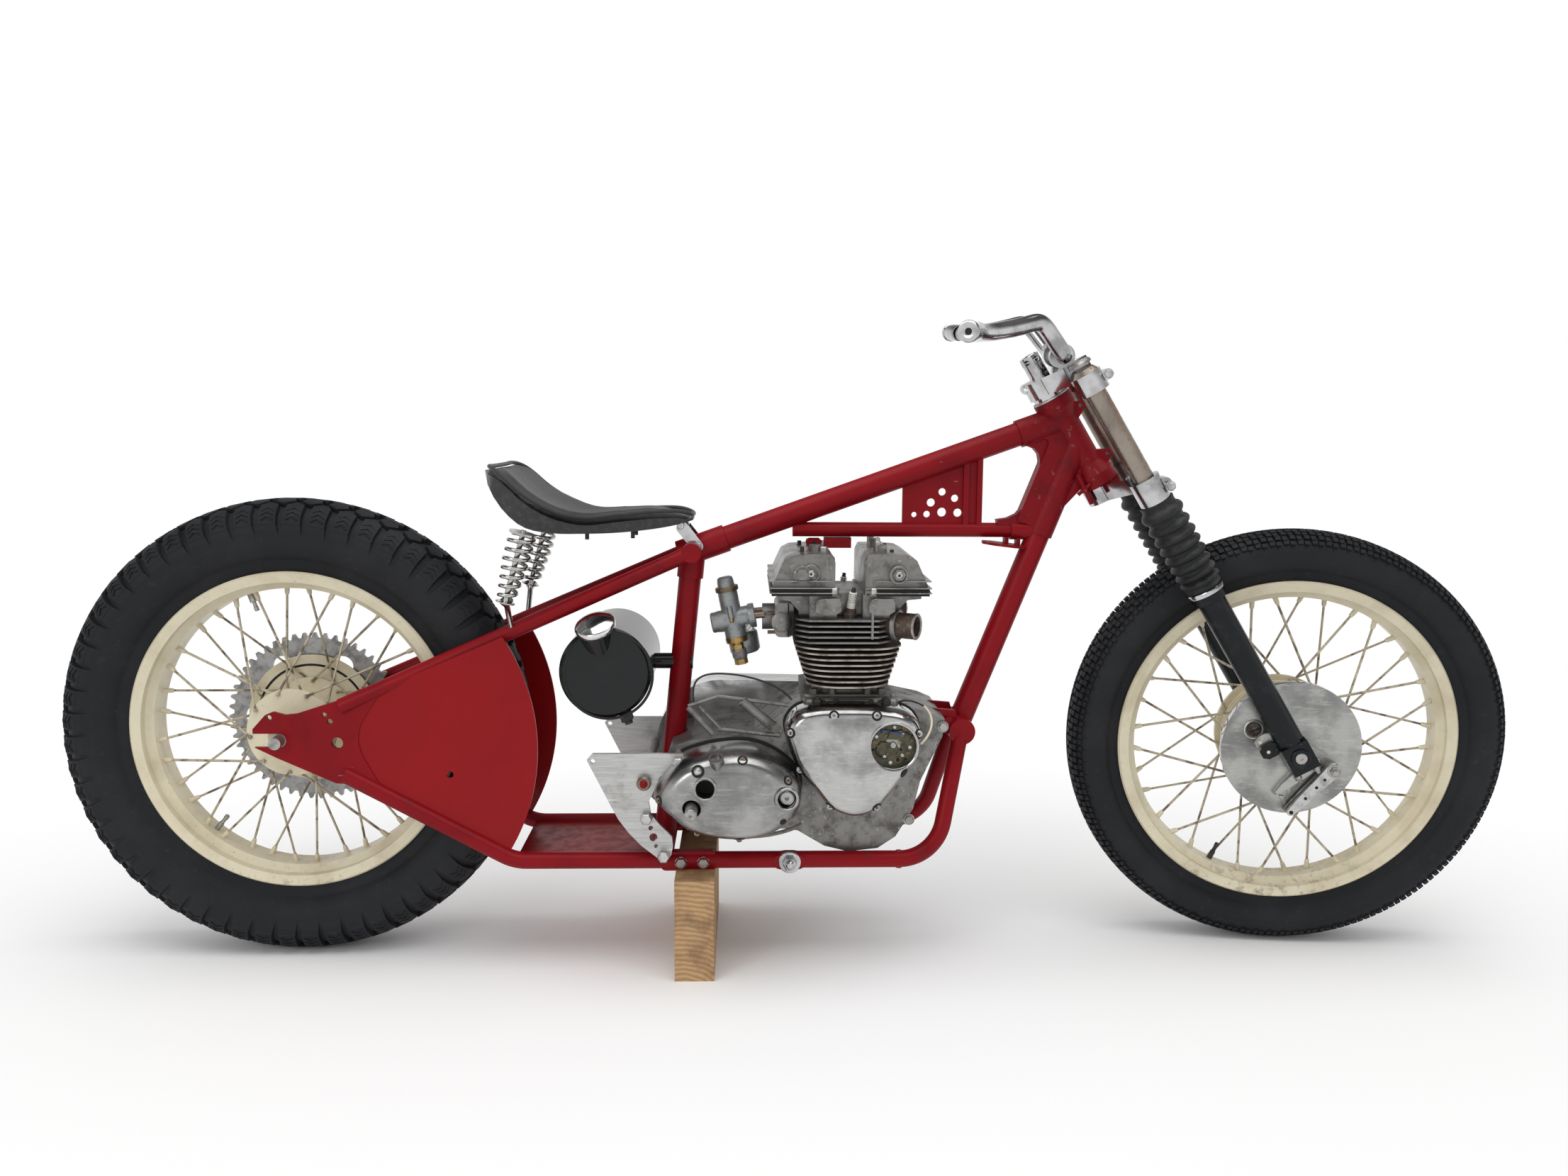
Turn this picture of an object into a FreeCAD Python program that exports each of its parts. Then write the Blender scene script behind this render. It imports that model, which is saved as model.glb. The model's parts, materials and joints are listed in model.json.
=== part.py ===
import FreeCAD, Part
import os
from math import acos, asin, cos, degrees, pi, radians, sin, sqrt, tan
from FreeCAD import Placement, Rotation, Vector

# Rigid chopper motorcycle with a parallel twin engine, stripped for a rebuild.
# +X is forward, +Y is the rider's left and Z is up. The floor is Z zero.
# Places along the bike are measured from the rear axle, then moved back by
# origin_x, so that the origin lies on the floor below the middle of the bike.
# Most places are worked out from their neighbour's: the seat tube stands a gap
# ahead of the rear tyre, the engine sits on the seat tube, the down tube stands
# ahead of the engine and the front axle ahead of the down tube.
# The front end is modelled straight, in its own frame: X ahead of the steering
# axis, Y to the left and Z up along the axis, from where it meets the floor.

doc = FreeCAD.newDocument("Chopper")
sheet = doc.addObject("Spreadsheet::Sheet", "Sizes")

# Each row is the alias, the value and what it is. Lengths are millimetres,
# angles are degrees, and a name that ends in share, angle or count has no unit.
SIZES = [
    ("front_reach", 508.2, "foot of the down tube to the front axle, along the floor"),
    ("rake_angle", 31.4, "steering axis back from the vertical"),
    ("steer_angle", -7.6, "how far the front end stands turned"),
    ("leg_lead", 50.0, "fork legs ahead of the steering axis"),
    ("leg_half", 82.0, "half the spacing of the fork legs"),
    ("crown_gap", 164.2, "front tyre to the foot of the head tube, along the axis"),
    ("running_gap", 0.5, "gap between faces that turn past each other"),
    ("over", 5.0, "overrun of a cutting tool"),
    ("rear_tyre_height", 107.0, "4.50 by 18 tyre above its rim"),
    ("rear_tyre_width", 116.0, "widest part of the tyre"),
    ("rear_rim_radius", 242.5, "edge of the 18 inch rim"),
    ("rear_rim_width", 80.0, "across the rim flanges"),
    ("front_tyre_height", 75.0, "3.25 by 19 tyre above its rim"),
    ("front_tyre_width", 88.0, "widest part of the tyre"),
    ("front_rim_radius", 255.0, "edge of the 19 inch rim"),
    ("front_rim_width", 62.0, "across the rim flanges"),
    ("rim_well_depth", 24.0, "rim flange down to the well"),
    ("rim_seat_depth", 13.0, "rim flange down to the bead seat"),
    ("rim_wall", 3.5, "rim metal"),
    ("rim_roll", 2.5, "rolled lip of a rim flange"),
    ("spoke_radius", 1.9, "wire spoke"),
    ("spoke_pair_count", 9.0, "crossed pairs of spokes on each flange"),
    ("spoke_angle", 31.0, "angle that a spoke leads or trails its hub hole"),
    ("rear_hub_radius", 66.0, "spoke flange of the rear drum"),
    ("rear_hub_half", 44.0, "spoke flanges out from the wheel centre"),
    ("front_hub_radius", 92.0, "spoke flange of the front drum"),
    ("front_hub_half", 34.0, "spoke flanges out from the wheel centre"),
    ("hub_flange", 6.0, "thickness of a spoke flange"),
    ("rear_waist_share", 0.62, "rear hub barrel against its flange"),
    ("front_waist_share", 0.90, "front drum against its flange"),
    ("rib_height", 2.5, "ribs round the front drum"),
    ("hub_nose", 22.0, "bearing boss radius of both hubs"),
    ("rear_axle_radius", 10.0, "rear wheel spindle"),
    ("rear_thread_radius", 9.0, "free ends of the rear spindle"),
    ("rear_axle_overhang", 20.0, "rear spindle past an axle plate"),
    ("front_axle_radius", 8.5, "front wheel spindle"),
    ("front_axle_overhang", 16.0, "front spindle past the fork leg's middle"),
    ("bearing_clearance", 0.05, "spindle to hub bore"),
    ("sprocket_radius", 134.0, "tip of the sprocket teeth"),
    ("sprocket_tooth_count", 51.0, "teeth on the rear sprocket"),
    ("tooth_depth", 8.0, "height of a sprocket tooth"),
    ("sprocket_thickness", 6.5, "sprocket plate"),
    ("sprocket_offset", 16.0, "sprocket's outer face out from the spoke flange"),
    ("main_tube", 18.0, "radius of the top and down tubes"),
    ("seat_tube_radius", 17.0, "radius of the seat tube"),
    ("rail_radius", 12.5, "radius of the lower rails"),
    ("stay_radius", 11.5, "radius of the upper stays"),
    ("tank_rail_radius", 11.0, "radius of the tank rail"),
    ("rail_half", 92.0, "half the spacing of rails and rear plates"),
    ("rail_height", 165.0, "centre of the lower rails above the floor"),
    ("rail_bend", 70.0, "bend radius of the lower rails"),
    ("plate_thickness", 6.0, "axle plates and engine plates"),
    ("panel_thickness", 3.0, "side panels and floor plate"),
    ("tyre_gap", 205.5, "rear tyre to the foot of the seat tube"),
    ("seat_tube_lean", 45.0, "top of the seat tube ahead of its foot"),
    ("cluster_drop", 4.0, "seat cluster below the top of the rocker boxes"),
    ("cradle_gap", 33.0, "crankcase to the foot of the down tube"),
    ("down_foot_rise", 183.0, "foot of the down tube above the lower rails"),
    ("cross_lug_radius", 20.0, "cross lug at the foot of the down tube"),
    ("cross_lug_half", 44.0, "half its length"),
    ("bracket_half", 30.0, "half the width over the front engine bracket"),
    ("cradle_lead", 44.0, "front bend of the lower rails behind the down tube's foot"),
    ("rear_bend_back", 217.0, "rear bend of the lower rails behind the seat tube"),
    ("stay_top_half", 42.0, "half the spacing of the stays at the seat cluster"),
    ("head_length", 150.0, "head tube"),
    ("head_waist", 21.0, "radius of the head tube"),
    ("head_collar", 30.0, "radius of the bearing cups"),
    ("collar_height", 18.0, "height of each bearing cup"),
    ("head_bore", 15.0, "bore of the head tube"),
    ("stem_radius", 12.5, "steering stem"),
    ("web_thickness", 26.0, "cast web of the head lug"),
    ("web_back", 23.0, "rear edge of that web behind the down tube"),
    ("web_bend", 34.0, "bend where that web meets the top tube"),
    ("top_joint_drop", 36.0, "top tube meets the steering axis, below the head's top"),
    ("down_joint_rise", 72.0, "down tube meets the steering axis, above the head's foot"),
    ("top_tube_lug", 72.0, "top tube socket out from the axis"),
    ("down_tube_lug", 150.0, "down tube socket out from the axis"),
    ("lug_wall", 3.0, "socket wall outside its tube"),
    ("boss_radius", 7.0, "drilled bosses on the front of the head lug"),
    ("boss_bore", 3.5, "bore of those bosses"),
    ("boss_half", 13.0, "half the length of a boss"),
    ("boss_lead", 30.0, "bosses ahead of the steering axis"),
    ("tank_rail_share", 0.159, "tank rail above the seat cluster, against the rise of the top tube"),
    ("tank_rail_start", 152.0, "rear end of the tank rail ahead of the seat cluster"),
    ("tank_sleeve_radius", 14.5, "sleeve where the tank rail meets the down tube"),
    ("tank_sleeve_length", 46.0, "length of that sleeve"),
    ("gusset_back", 212.0, "rear edge of the drilled gusset behind the tank rail's end"),
    ("gusset_length", 121.0, "length of the drilled gusset"),
    ("gusset_thickness", 5.0, "gusset plate"),
    ("gusset_rib", 8.0, "square rib along the gusset's front edge"),
    ("gusset_hole_share", 0.075, "radius of the gusset holes against its height"),
    ("tab_hole", 4.8, "radius of the holes in tabs"),
    ("plate_reach", 190.0, "length of an axle plate"),
    ("plate_arc", 60.0, "arc between the arms of an axle plate"),
    ("slot_radius", 10.2, "half the width of the axle slot"),
    ("adjuster_radius", 4.0, "chain adjuster screws"),
    ("panel_arc", 309.0, "radius of the side panel's front edge"),
    ("panel_reach", 375.0, "foremost point of the side panel ahead of the axle"),
    ("panel_drop", 11.5, "that point below the axle"),
    ("panel_hole", 5.0, "hole in a side panel"),
    ("floor_front", 10.0, "floor plate's front edge behind the seat tube"),
    ("floor_length", 205.0, "length of the floor plate"),
    ("rail_lug_length", 83.0, "flat bolted lug of a lower rail"),
    ("rail_lug_height", 29.0, "height of that lug"),
    ("rail_lug_half", 7.0, "half its thickness"),
    ("engine_plate_half", 115.0, "half the spacing of the rear engine plates"),
    ("engine_plate_length", 140.0, "length of an engine plate"),
    ("engine_plate_height", 162.0, "height of an engine plate"),
    ("engine_plate_back", 105.0, "rear corner of an engine plate behind the seat tube"),
    ("engine_plate_lift", 8.0, "foot of an engine plate above the rail's centre"),
    ("plate_bolt", 7.0, "radius of the cross bolts"),
    ("bolt_head", 9.5, "radius of a hexagon bolt head, across its corners"),
    ("bolt_head_height", 7.0, "height of a bolt head"),
    ("case_lap", 9.0, "rear of the crankcase behind the foot of the seat tube"),
    ("case_lift", 7.0, "bottom of the crankcase above the rail's centre"),
    ("case_length", 433.0, "length of the crankcase"),
    ("case_height", 225.0, "height of the crankcase"),
    ("case_half", 78.0, "half the width of the crankcase"),
    ("case_clearance", 3.0, "crankcase to the seat tube"),
    ("timing_length", 201.0, "length of the timing cover"),
    ("timing_height", 166.0, "height of the timing cover"),
    ("timing_depth", 68.0, "timing cover out from the crankcase"),
    ("timing_edge", 20.0, "rounded edge of the timing cover"),
    ("points_radius", 34.0, "contact breaker window of the timing cover"),
    ("points_depth", 16.0, "depth of that window"),
    ("gear_length", 218.0, "length of the gearbox cover"),
    ("gear_height", 135.0, "height of the gearbox cover"),
    ("gear_depth", 96.0, "gearbox cover out from the crankcase"),
    ("gear_edge", 26.0, "rounded edge of the gearbox cover"),
    ("cover_corner", 8.0, "rounded corners of the engine covers"),
    ("gear_recess", 13.5, "radius of the pockets in the gearbox cover"),
    ("recess_depth", 14.0, "depth of those pockets"),
    ("gear_shaft", 9.0, "radius of the gearbox shafts"),
    ("gear_shaft_out", 28.0, "pedal shaft out of the gearbox cover"),
    ("clutch_radius", 104.0, "clutch end of the primary cover"),
    ("crank_radius", 82.0, "crank end of the primary cover"),
    ("primary_depth", 70.0, "primary cover out from the crankcase"),
    ("primary_edge", 14.0, "rounded edge of the primary cover"),
    ("barrel_set", 9.0, "cylinders behind the crankshaft"),
    ("barrel_flange_x", 68.0, "half the barrel flange along the bike"),
    ("barrel_flange_y", 77.5, "half the barrel flange across the bike"),
    ("barrel_flange_height", 17.0, "barrel flange"),
    ("barrel_core_x", 52.0, "half the barrel inside its fins"),
    ("barrel_core_y", 62.0, "half the barrel inside its fins"),
    ("barrel_height", 99.0, "crankcase mouth to head joint"),
    ("barrel_fin_count", 8.0, "fins on the barrel"),
    ("fin_thickness", 2.6, "cooling fin"),
    ("fin_pitch", 8.1, "from fin to fin"),
    ("fin_low_x", 62.0, "half the lowest fin along the bike"),
    ("fin_high_x", 80.0, "half the highest fin along the bike"),
    ("fin_half_y", 110.0, "half a fin across the bike"),
    ("pushrod_radius", 11.0, "pushrod tube cups at the foot of the barrel"),
    ("flange_nut", 6.5, "radius of the nuts on the barrel flange"),
    ("head_height", 70.0, "head joint to the rocker boxes"),
    ("head_fin_count", 5.0, "fins on the head"),
    ("head_fin_x", 71.0, "half a head fin along the bike"),
    ("head_fin_set", 9.0, "head fins behind the middle of the cylinders"),
    ("neck_length", 216.0, "flared neck under the rocker boxes"),
    ("neck_height", 36.0, "height of that neck"),
    ("neck_half", 70.0, "half that neck across the bike"),
    ("head_fin_corner", 20.0, "cut corners of a head fin"),
    ("pillar_width", 40.0, "bolt pillars of the head along the bike"),
    ("pillar_depth", 25.0, "bolt pillars of the head across the bike"),
    ("pillar_spread", 39.0, "bolt pillars out from the middle of the head"),
    ("rocker_height", 60.0, "height of a rocker box"),
    ("rocker_length", 91.0, "length of a rocker box along the bike"),
    ("rocker_half", 98.0, "half a rocker box across the bike"),
    ("rocker_gap", 44.0, "between the two rocker boxes at the head"),
    ("rocker_fin", 4.0, "fins out from the foot of a rocker box"),
    ("rocker_boss", 13.0, "radius of the rocker spindle's boss"),
    ("rocker_cap", 9.0, "radius of the caps and nuts of a rocker box"),
    ("plug_half", 84.0, "spark plugs out from the middle"),
    ("plug_radius", 11.0, "spark plug hexagon"),
    ("plug_lean", 8.0, "top of a spark plug outside its foot"),
    ("plug_height", 46.0, "spark plug above the head"),
    ("stub_radius", 19.0, "exhaust stub"),
    ("stub_bore", 15.5, "bore of the exhaust stub"),
    ("stub_length", 38.0, "exhaust stub out of the head"),
    ("stub_half", 74.0, "exhaust port out from the middle"),
    ("stub_angle", 29.0, "exhaust port turned outwards"),
    ("port_rise", 24.0, "height of the ports above the head joint"),
    ("manifold_length", 28.0, "square block of the inlet manifold"),
    ("manifold_height", 52.0, "inlet manifold"),
    ("manifold_half", 40.0, "half the manifold across the bike"),
    ("spacer_length", 19.0, "round spacer behind the manifold"),
    ("flange_thickness", 9.0, "carburettor flange"),
    ("carb_bore", 15.0, "bore of the carburettor"),
    ("carb_body", 20.0, "radius of the carburettor barrel"),
    ("carb_length", 66.0, "bellmouth to flange"),
    ("carb_chamber_lead", 16.0, "mixing chamber ahead of the bellmouth"),
    ("carb_top", 84.0, "mixing chamber above the bore"),
    ("carb_cap", 17.0, "screwed cap of the mixing chamber"),
    ("bowl_radius", 22.0, "float bowl"),
    ("bowl_drop", 56.0, "float bowl below the bore"),
    ("oil_gap", 23.0, "oil tank to the seat tube"),
    ("oil_rise", 285.5, "centre of the oil tank above the lower rails"),
    ("oil_radius", 67.5, "oil tank"),
    ("oil_half", 97.0, "half the length of the oil tank"),
    ("oil_edge", 5.0, "rounded ends of the oil tank"),
    ("oil_neck_root", 15.0, "filler neck at the tank"),
    ("oil_neck_radius", 26.0, "filler neck under its cap"),
    ("oil_neck_in", 35.0, "root of the filler neck inside the tank's end"),
    ("oil_cap_back", 16.6, "end of the filler neck behind the tank's centre"),
    ("oil_cap_rise", 69.5, "end of the filler neck above the tank's centre"),
    ("oil_pad", 12.0, "pads that seat the tank on the seat tube"),
    ("oil_cap_radius", 30.0, "filler cap"),
    ("oil_cap_height", 12.0, "filler cap"),
    ("seat_length", 296.0, "seat from tail to nose"),
    ("seat_height", 103.0, "seat from its skirt to the tail"),
    ("seat_back", 294.0, "tail of the seat behind the seat cluster"),
    ("seat_lift", 30.0, "lowest part of the seat above the seat cluster"),
    ("seat_half", 124.0, "half the seat's width"),
    ("seat_skin", 9.0, "thickness of the seat's shell"),
    ("spring_lead", 56.0, "top of the seat springs ahead of the seat's tail"),
    ("spring_half", 104.0, "springs out from the middle"),
    ("spring_tilt", 26.0, "foot of the springs behind their top"),
    ("spring_length", 94.0, "height of the seat springs"),
    ("spring_coil", 17.0, "middle radius of the widest coil"),
    ("spring_small", 11.0, "middle radius of the lowest coil"),
    ("spring_wire", 3.0, "radius of the spring wire"),
    ("spring_turn_count", 7.0, "turns of each spring"),
    ("spring_rod", 4.0, "radius of the spring's bolt"),
    ("spring_washer", 4.0, "thickness of the spring's seats"),
    ("link_half", 26.0, "seat link plates out from the middle"),
    ("link_back", 14.0, "upper pin of the seat link behind the seat cluster"),
    ("link_rise", 36.0, "upper pin of the seat link above the seat cluster"),
    ("link_low_lead", 8.0, "lower pin of the seat link ahead of the seat cluster"),
    ("link_low_rise", 8.0, "lower pin of the seat link above the seat cluster"),
    ("link_radius", 9.0, "round ends of the seat link"),
    ("link_pin", 5.0, "radius of the seat link's pins"),
    ("block_width", 58.0, "timber under the lower rails, along the bike"),
    ("block_length", 300.0, "timber under the lower rails, across the bike"),
    ("block_lead", 52.0, "middle of the timber ahead of the seat tube"),
    ("stanchion_radius", 15.5, "fork stanchion"),
    ("stanchion_rise", 21.0, "top of the stanchions above the head tube"),
    ("slider_radius", 20.5, "fork slider"),
    ("slider_foot", 24.0, "slider below the spindle"),
    ("axle_clamp", 22.0, "half the height of a slider's square foot"),
    ("slider_ring", 22.0, "bright ring at the top of a slider"),
    ("ring_height", 7.0, "height of that ring"),
    ("gaiter_length", 148.0, "gaiter from the slider's ring to the bottom yoke"),
    ("gaiter_radius", 32.0, "gaiter bulges"),
    ("gaiter_valley", 24.5, "gaiter between its bulges"),
    ("gaiter_neck", 26.0, "plain top of the gaiter"),
    ("gaiter_fold_count", 8.0, "bulges of a gaiter"),
    ("neck_share", 0.12, "plain top of the gaiter against its length"),
    ("low_clamp_drop", 50.0, "foot of the bottom yoke's clamps below the head tube"),
    ("low_clamp_height", 38.0, "height of the bottom yoke's clamps"),
    ("yoke_clamp", 23.0, "radius of the yoke clamps"),
    ("yoke_plate", 24.0, "thickness of the bottom yoke's bridge"),
    ("yoke_stem", 30.0, "radius of the yokes round the stem"),
    ("yoke_arm", 22.0, "half the width of a yoke arm"),
    ("top_clamp_drop", 16.0, "foot of the top yoke's clamps below the head tube's top"),
    ("top_clamp_height", 30.0, "height of the top yoke's clamps"),
    ("cover_height", 16.0, "dust cover above the head tube"),
    ("top_bridge", 20.0, "thickness of the top yoke's bridge"),
    ("dust_cover", 26.0, "radius of the dust cover"),
    ("clamp_ear", 8.0, "radius of the yokes' pinch ears"),
    ("ear_lead", 24.0, "pinch ears out from the legs"),
    ("ear_hole", 3.0, "radius of the pinch ears' holes"),
    ("eye_back", 19.0, "rear eye of the top yoke behind the steering axis"),
    ("eye_rise", 31.0, "rear eye of the top yoke above the head tube"),
    ("cap_height", 7.0, "stanchion cap above the top yoke"),
    ("riser_half", 40.0, "bar clamps out from the middle"),
    ("riser_width", 22.0, "width of a bar clamp"),
    ("riser_radius", 18.0, "bar clamp round the bar"),
    ("bar_radius", 11.0, "handlebar tube"),
    ("bar_lead", 38.6, "middle of the bar ahead of the steering axis"),
    ("bar_lift", 50.0, "middle of the bar above the head tube"),
    ("bar_low_half", 78.0, "lower bend of the bar"),
    ("bar_flare", 20.0, "upper bend outside the lower one"),
    ("bar_lean", 6.6, "upper bend behind the lower one"),
    ("bar_rise", 60.0, "upper bend above the lower one"),
    ("bar_reach", 157.0, "end of the bar outside the upper bend"),
    ("bar_sweep", 116.0, "end of the bar behind the upper bend"),
    ("bar_tip_rise", 51.0, "end of the bar above the upper bend"),
    ("bar_bend", 24.0, "bend radius of the bar"),
    ("sleeve_radius", 13.5, "bare grip sleeve"),
    ("sleeve_length", 46.0, "length of the grip sleeve"),
    ("bar_hole", 4.5, "radius of the hole in a bar end"),
    ("damper_knob", 15.0, "radius of the steering damper's knob"),
    ("damper_height", 36.0, "height of the knob above the top yoke"),
    ("damper_hole", 4.0, "holes round the knob"),
    ("brake_radius", 104.0, "front brake plate"),
    ("brake_face", 57.0, "outer face of the brake plate"),
    ("brake_depth", 10.0, "thickness of the brake plate"),
    ("lever_lead", 36.0, "brake lever's spindle ahead of the axle"),
    ("lever_drop", 53.6, "brake lever's spindle below the axle"),
    ("lever_length", 85.0, "end of the brake lever behind its spindle"),
    ("lever_fall", 28.0, "end of the brake lever below its spindle"),
    ("lever_radius", 9.0, "brake lever round its spindle"),
    ("lever_tip", 6.0, "brake lever round its cable hole"),
    ("lever_thickness", 5.0, "brake lever"),
]

for row, (alias, value, note) in enumerate(SIZES, start=1):
    sheet.set("A%d" % row, alias)
    sheet.set("B%d" % row, str(value))
    sheet.set("C%d" % row, note)
    sheet.setAlias("B%d" % row, alias)
doc.recompute()


class SheetValues:
    """Reads a size from the spreadsheet by its alias."""

    def __getattr__(self, alias):
        return float(sheet.get(alias))


size = SheetValues()
pieces = []
SIDES = (-1, 1)
UP = Vector(0, 0, 1)
ACROSS = Vector(0, 1, 0)
FORWARD = Vector(1, 0, 0)


def keep(obj, label):
    """Names a finished piece, which is then checked and exported."""
    obj.Label = label
    pieces.append(obj)
    return obj


def feature(label, shape, placement=None):
    """A piece whose shape is worked out here from the sheet's sizes."""
    obj = doc.addObject("Part::Feature", "shape_of_" + label)
    obj.Shape = shape
    if placement:
        obj.Placement = placement
    return obj


def cylinder(label, radius, start, end):
    """A round bar whose radius follows its cell of the sheet."""
    obj = doc.addObject("Part::Cylinder", "bar_of_" + label)
    obj.setExpression("Radius", "Sizes." + radius)
    obj.Height = (end - start).Length
    obj.Placement = Placement(start, Rotation(UP, end - start))
    return obj


def cut(label, base, *tools):
    """The base object less one or more others."""
    obj = doc.addObject("Part::Cut", "cut_of_" + label)
    obj.Base = base
    obj.Tool = tools[0] if len(tools) == 1 else joined(label + "_tools", *tools)
    return obj


def joined(label, *parts):
    """Objects fused into one."""
    obj = doc.addObject("Part::MultiFuse", "fuse_of_" + label)
    obj.Shapes = list(parts)
    return obj


def sketch_on(body, role, edges):
    """A sketch of the given edges on one of the body's own planes."""
    sketch = body.newObject("Sketcher::SketchObject", "outline_of_" + body.Name)
    plane = [item for item in body.Origin.OriginFeatures if item.Role == role][0]
    sketch.AttachmentSupport = (plane, [""])
    sketch.MapMode = "FlatFace"
    for edge in edges:
        sketch.addGeometry(edge, False)
    return sketch


def plate(label, edges, thickness, across=0.0):
    """A flat plate in a plane along the bike, padded both ways to its thickness."""
    body = doc.addObject("PartDesign::Body", "body_of_" + label)
    pad = body.newObject("PartDesign::Pad", "pad_of_" + label)
    pad.Profile = sketch_on(body, "XZ_Plane", edges)
    pad.SideType = "Symmetric"
    pad.setExpression("Length", "Sizes." + thickness)
    body.Placement = Placement(Vector(-origin_x, across, 0), Rotation())
    return body


def turned(label, points, placement):
    """A body turned about its own Y axis, from points of radius and width."""
    body = doc.addObject("PartDesign::Body", "body_of_" + label)
    turn = body.newObject("PartDesign::Revolution", "turn_of_" + label)
    turn.Profile = sketch_on(body, "XY_Plane", ring_edges([Vector(x, y, 0) for x, y in points]))
    turn.ReferenceAxis = (turn.Profile[0], ["V_Axis"])
    turn.Angle = 360
    body.Placement = placement
    return body


def path_edges(points, radii, closed):
    """Straight runs joined by tangent arcs, with one radius for each corner."""
    count = len(points)
    stops = []
    for index, here in enumerate(points):
        radius = radii[index]
        if radius == 0 or (not closed and index in (0, count - 1)):
            stops.append((here, None, here))
            continue
        back = points[index - 1] - here
        ahead = points[(index + 1) % count] - here
        half = back.getAngle(ahead) / 2
        longest = CORNER_SHARE * min(back.Length, ahead.Length)
        setback = min(radius / tan(half), longest)
        radius = setback * tan(half)
        back, ahead = back.normalize(), ahead.normalize()
        inward = (back + ahead).normalize()
        centre = here + inward * (radius / sin(half))
        stops.append((here + back * setback, centre - inward * radius, here + ahead * setback))
    edges = []
    for index in range(count):
        start, middle, end = stops[index]
        if middle:
            edges.append(Part.Arc(start, middle, end))
        if index + 1 < count or closed:
            following = stops[(index + 1) % count][0]
            if not end.isEqual(following, SAME_PLACE):
                edges.append(Part.LineSegment(end, following))
    return edges


CORNER_SHARE = 0.48
SAME_PLACE = 1e-6


def ring_edges(points, radii=None):
    """The closed outline through the points."""
    return path_edges(points, radii or [0] * len(points), True)


def wire_of(edges):
    return Part.Wire([edge.toShape() for edge in edges])


def profile(shares, low, length, height, radius=0.0):
    """Closed outline in a plane along the bike, from shares of its length and height."""
    points = [Vector(low[0] + x * length, low[1] + z * height, 0) for x, z in shares]
    return ring_edges(points, [radius] * len(points))


def upright(shape, across):
    """Stands a shape drawn in X and Y up in the plane along the bike at one Y."""
    shape.rotate(Vector(), FORWARD, 90)
    shape.translate(Vector(-origin_x, across, 0))
    return shape


def prism(edges, near, far):
    """The outline, drawn in X and Z, filled from one Y to another."""
    return upright(Part.Face(wire_of(edges)), near).extrude(Vector(0, far - near, 0))


# How a rounded edge falls away: share of its depth left, and share of it taken in.
ROUND_SHARES = ((1.0, 0.0), (0.55, 0.11), (0.2, 0.40), (0.0, 1.0))


def domed(shares, low, length, height, corner, near, far, edge):
    """The outline filled from one Y to another, with its far edge rounded in steps."""
    outward = 1 if far > near else -1
    levels = [(near, 0.0)]
    levels += [(far - outward * edge * left, edge * taken) for left, taken in ROUND_SHARES]
    wires = []
    for across, inset in levels:
        edges = profile(shares, (low[0] + inset, low[1] + inset), length - 2 * inset,
                        height - 2 * inset, corner)
        wires.append(upright(wire_of(edges), across))
    return Part.makeLoft(wires, True, True)


def bent_bar(points, radius, bends):
    """A round bar along straight runs with bends."""
    radii = [0] + list(bends) + [0]
    spine = wire_of(path_edges(points, radii, False))
    ring = Part.Wire(Part.makeCircle(radius, points[0], points[1] - points[0]))
    return spine.makePipeShell([ring], True, True)


def bar(start, end, radius):
    return Part.makeCylinder(radius, (end - start).Length, start, end - start)


def cone(start, end, start_radius, end_radius):
    return Part.makeCone(start_radius, end_radius, (end - start).Length, start, end - start)


def hexagon(start, end, radius):
    """Six-sided bar between two points, as a spoke or a bolt head."""
    turn = Rotation(UP, end - start)
    corners = [start + turn.multVec(Vector(radius * cos(pi * k / 3), radius * sin(pi * k / 3), 0))
               for k in range(6)]
    return Part.Face(Part.makePolygon(corners + corners[:1])).extrude(end - start)


def strap(start, end, start_radius, end_radius, depth):
    """Flat link round two upright circles in a plane along the bike, with straight sides."""
    run = end - start
    tilt = degrees(asin((start_radius - end_radius) / run.Length))
    run = run.normalize()
    corners = []
    for sign in SIDES:
        way = Rotation(ACROSS, sign * (90 - tilt)).multVec(run)
        corners.append((start + way * start_radius, end + way * end_radius))
    ring = [corners[0][0], corners[0][1], corners[1][1], corners[1][0], corners[0][0]]
    middle = Part.Face(Part.makePolygon(ring)).extrude(depth)
    rounds = [Part.makeCylinder(start_radius, depth.Length, start, depth),
              Part.makeCylinder(end_radius, depth.Length, end, depth)]
    return middle.multiFuse(rounds).removeSplitter()


def polar(radius, angle, across):
    return Vector(radius * cos(radians(angle)), across, radius * sin(radians(angle)))


# Places that follow from the sizes

rear_radius = size.rear_rim_radius + size.rear_tyre_height
front_radius = size.front_rim_radius + size.front_tyre_height
rail_z = size.rail_height
seat_foot_x = rear_radius + size.tyre_gap
seat_node_x = seat_foot_x + size.seat_tube_lean
case_x = seat_foot_x - size.case_lap
case_z = rail_z + size.case_lift
deck_z = case_z + size.case_height
joint_z = deck_z + size.barrel_height
rocker_z = joint_z + size.head_height
seat_node_z = rocker_z + size.rocker_height - size.cluster_drop
down_foot_x = case_x + size.case_length + size.cradle_gap
down_foot_z = rail_z + size.down_foot_rise
wheelbase = down_foot_x + size.front_reach
origin_x = (wheelbase + front_radius - rear_radius) / 2


def at(x, y, z):
    """A place measured from below the rear axle."""
    return Vector(x - origin_x, y, z)


def tread_points(radius, width):
    """Radius and width of the corners of a tread made of three flats."""
    half = width / 2
    return [(radius - half + x * half, y * half) for x, y in TREAD_SHARES]


TREAD_SHARES = ((0.0, -1.0), (1.0, -0.45), (1.0, 0.45), (0.0, 1.0))


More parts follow.
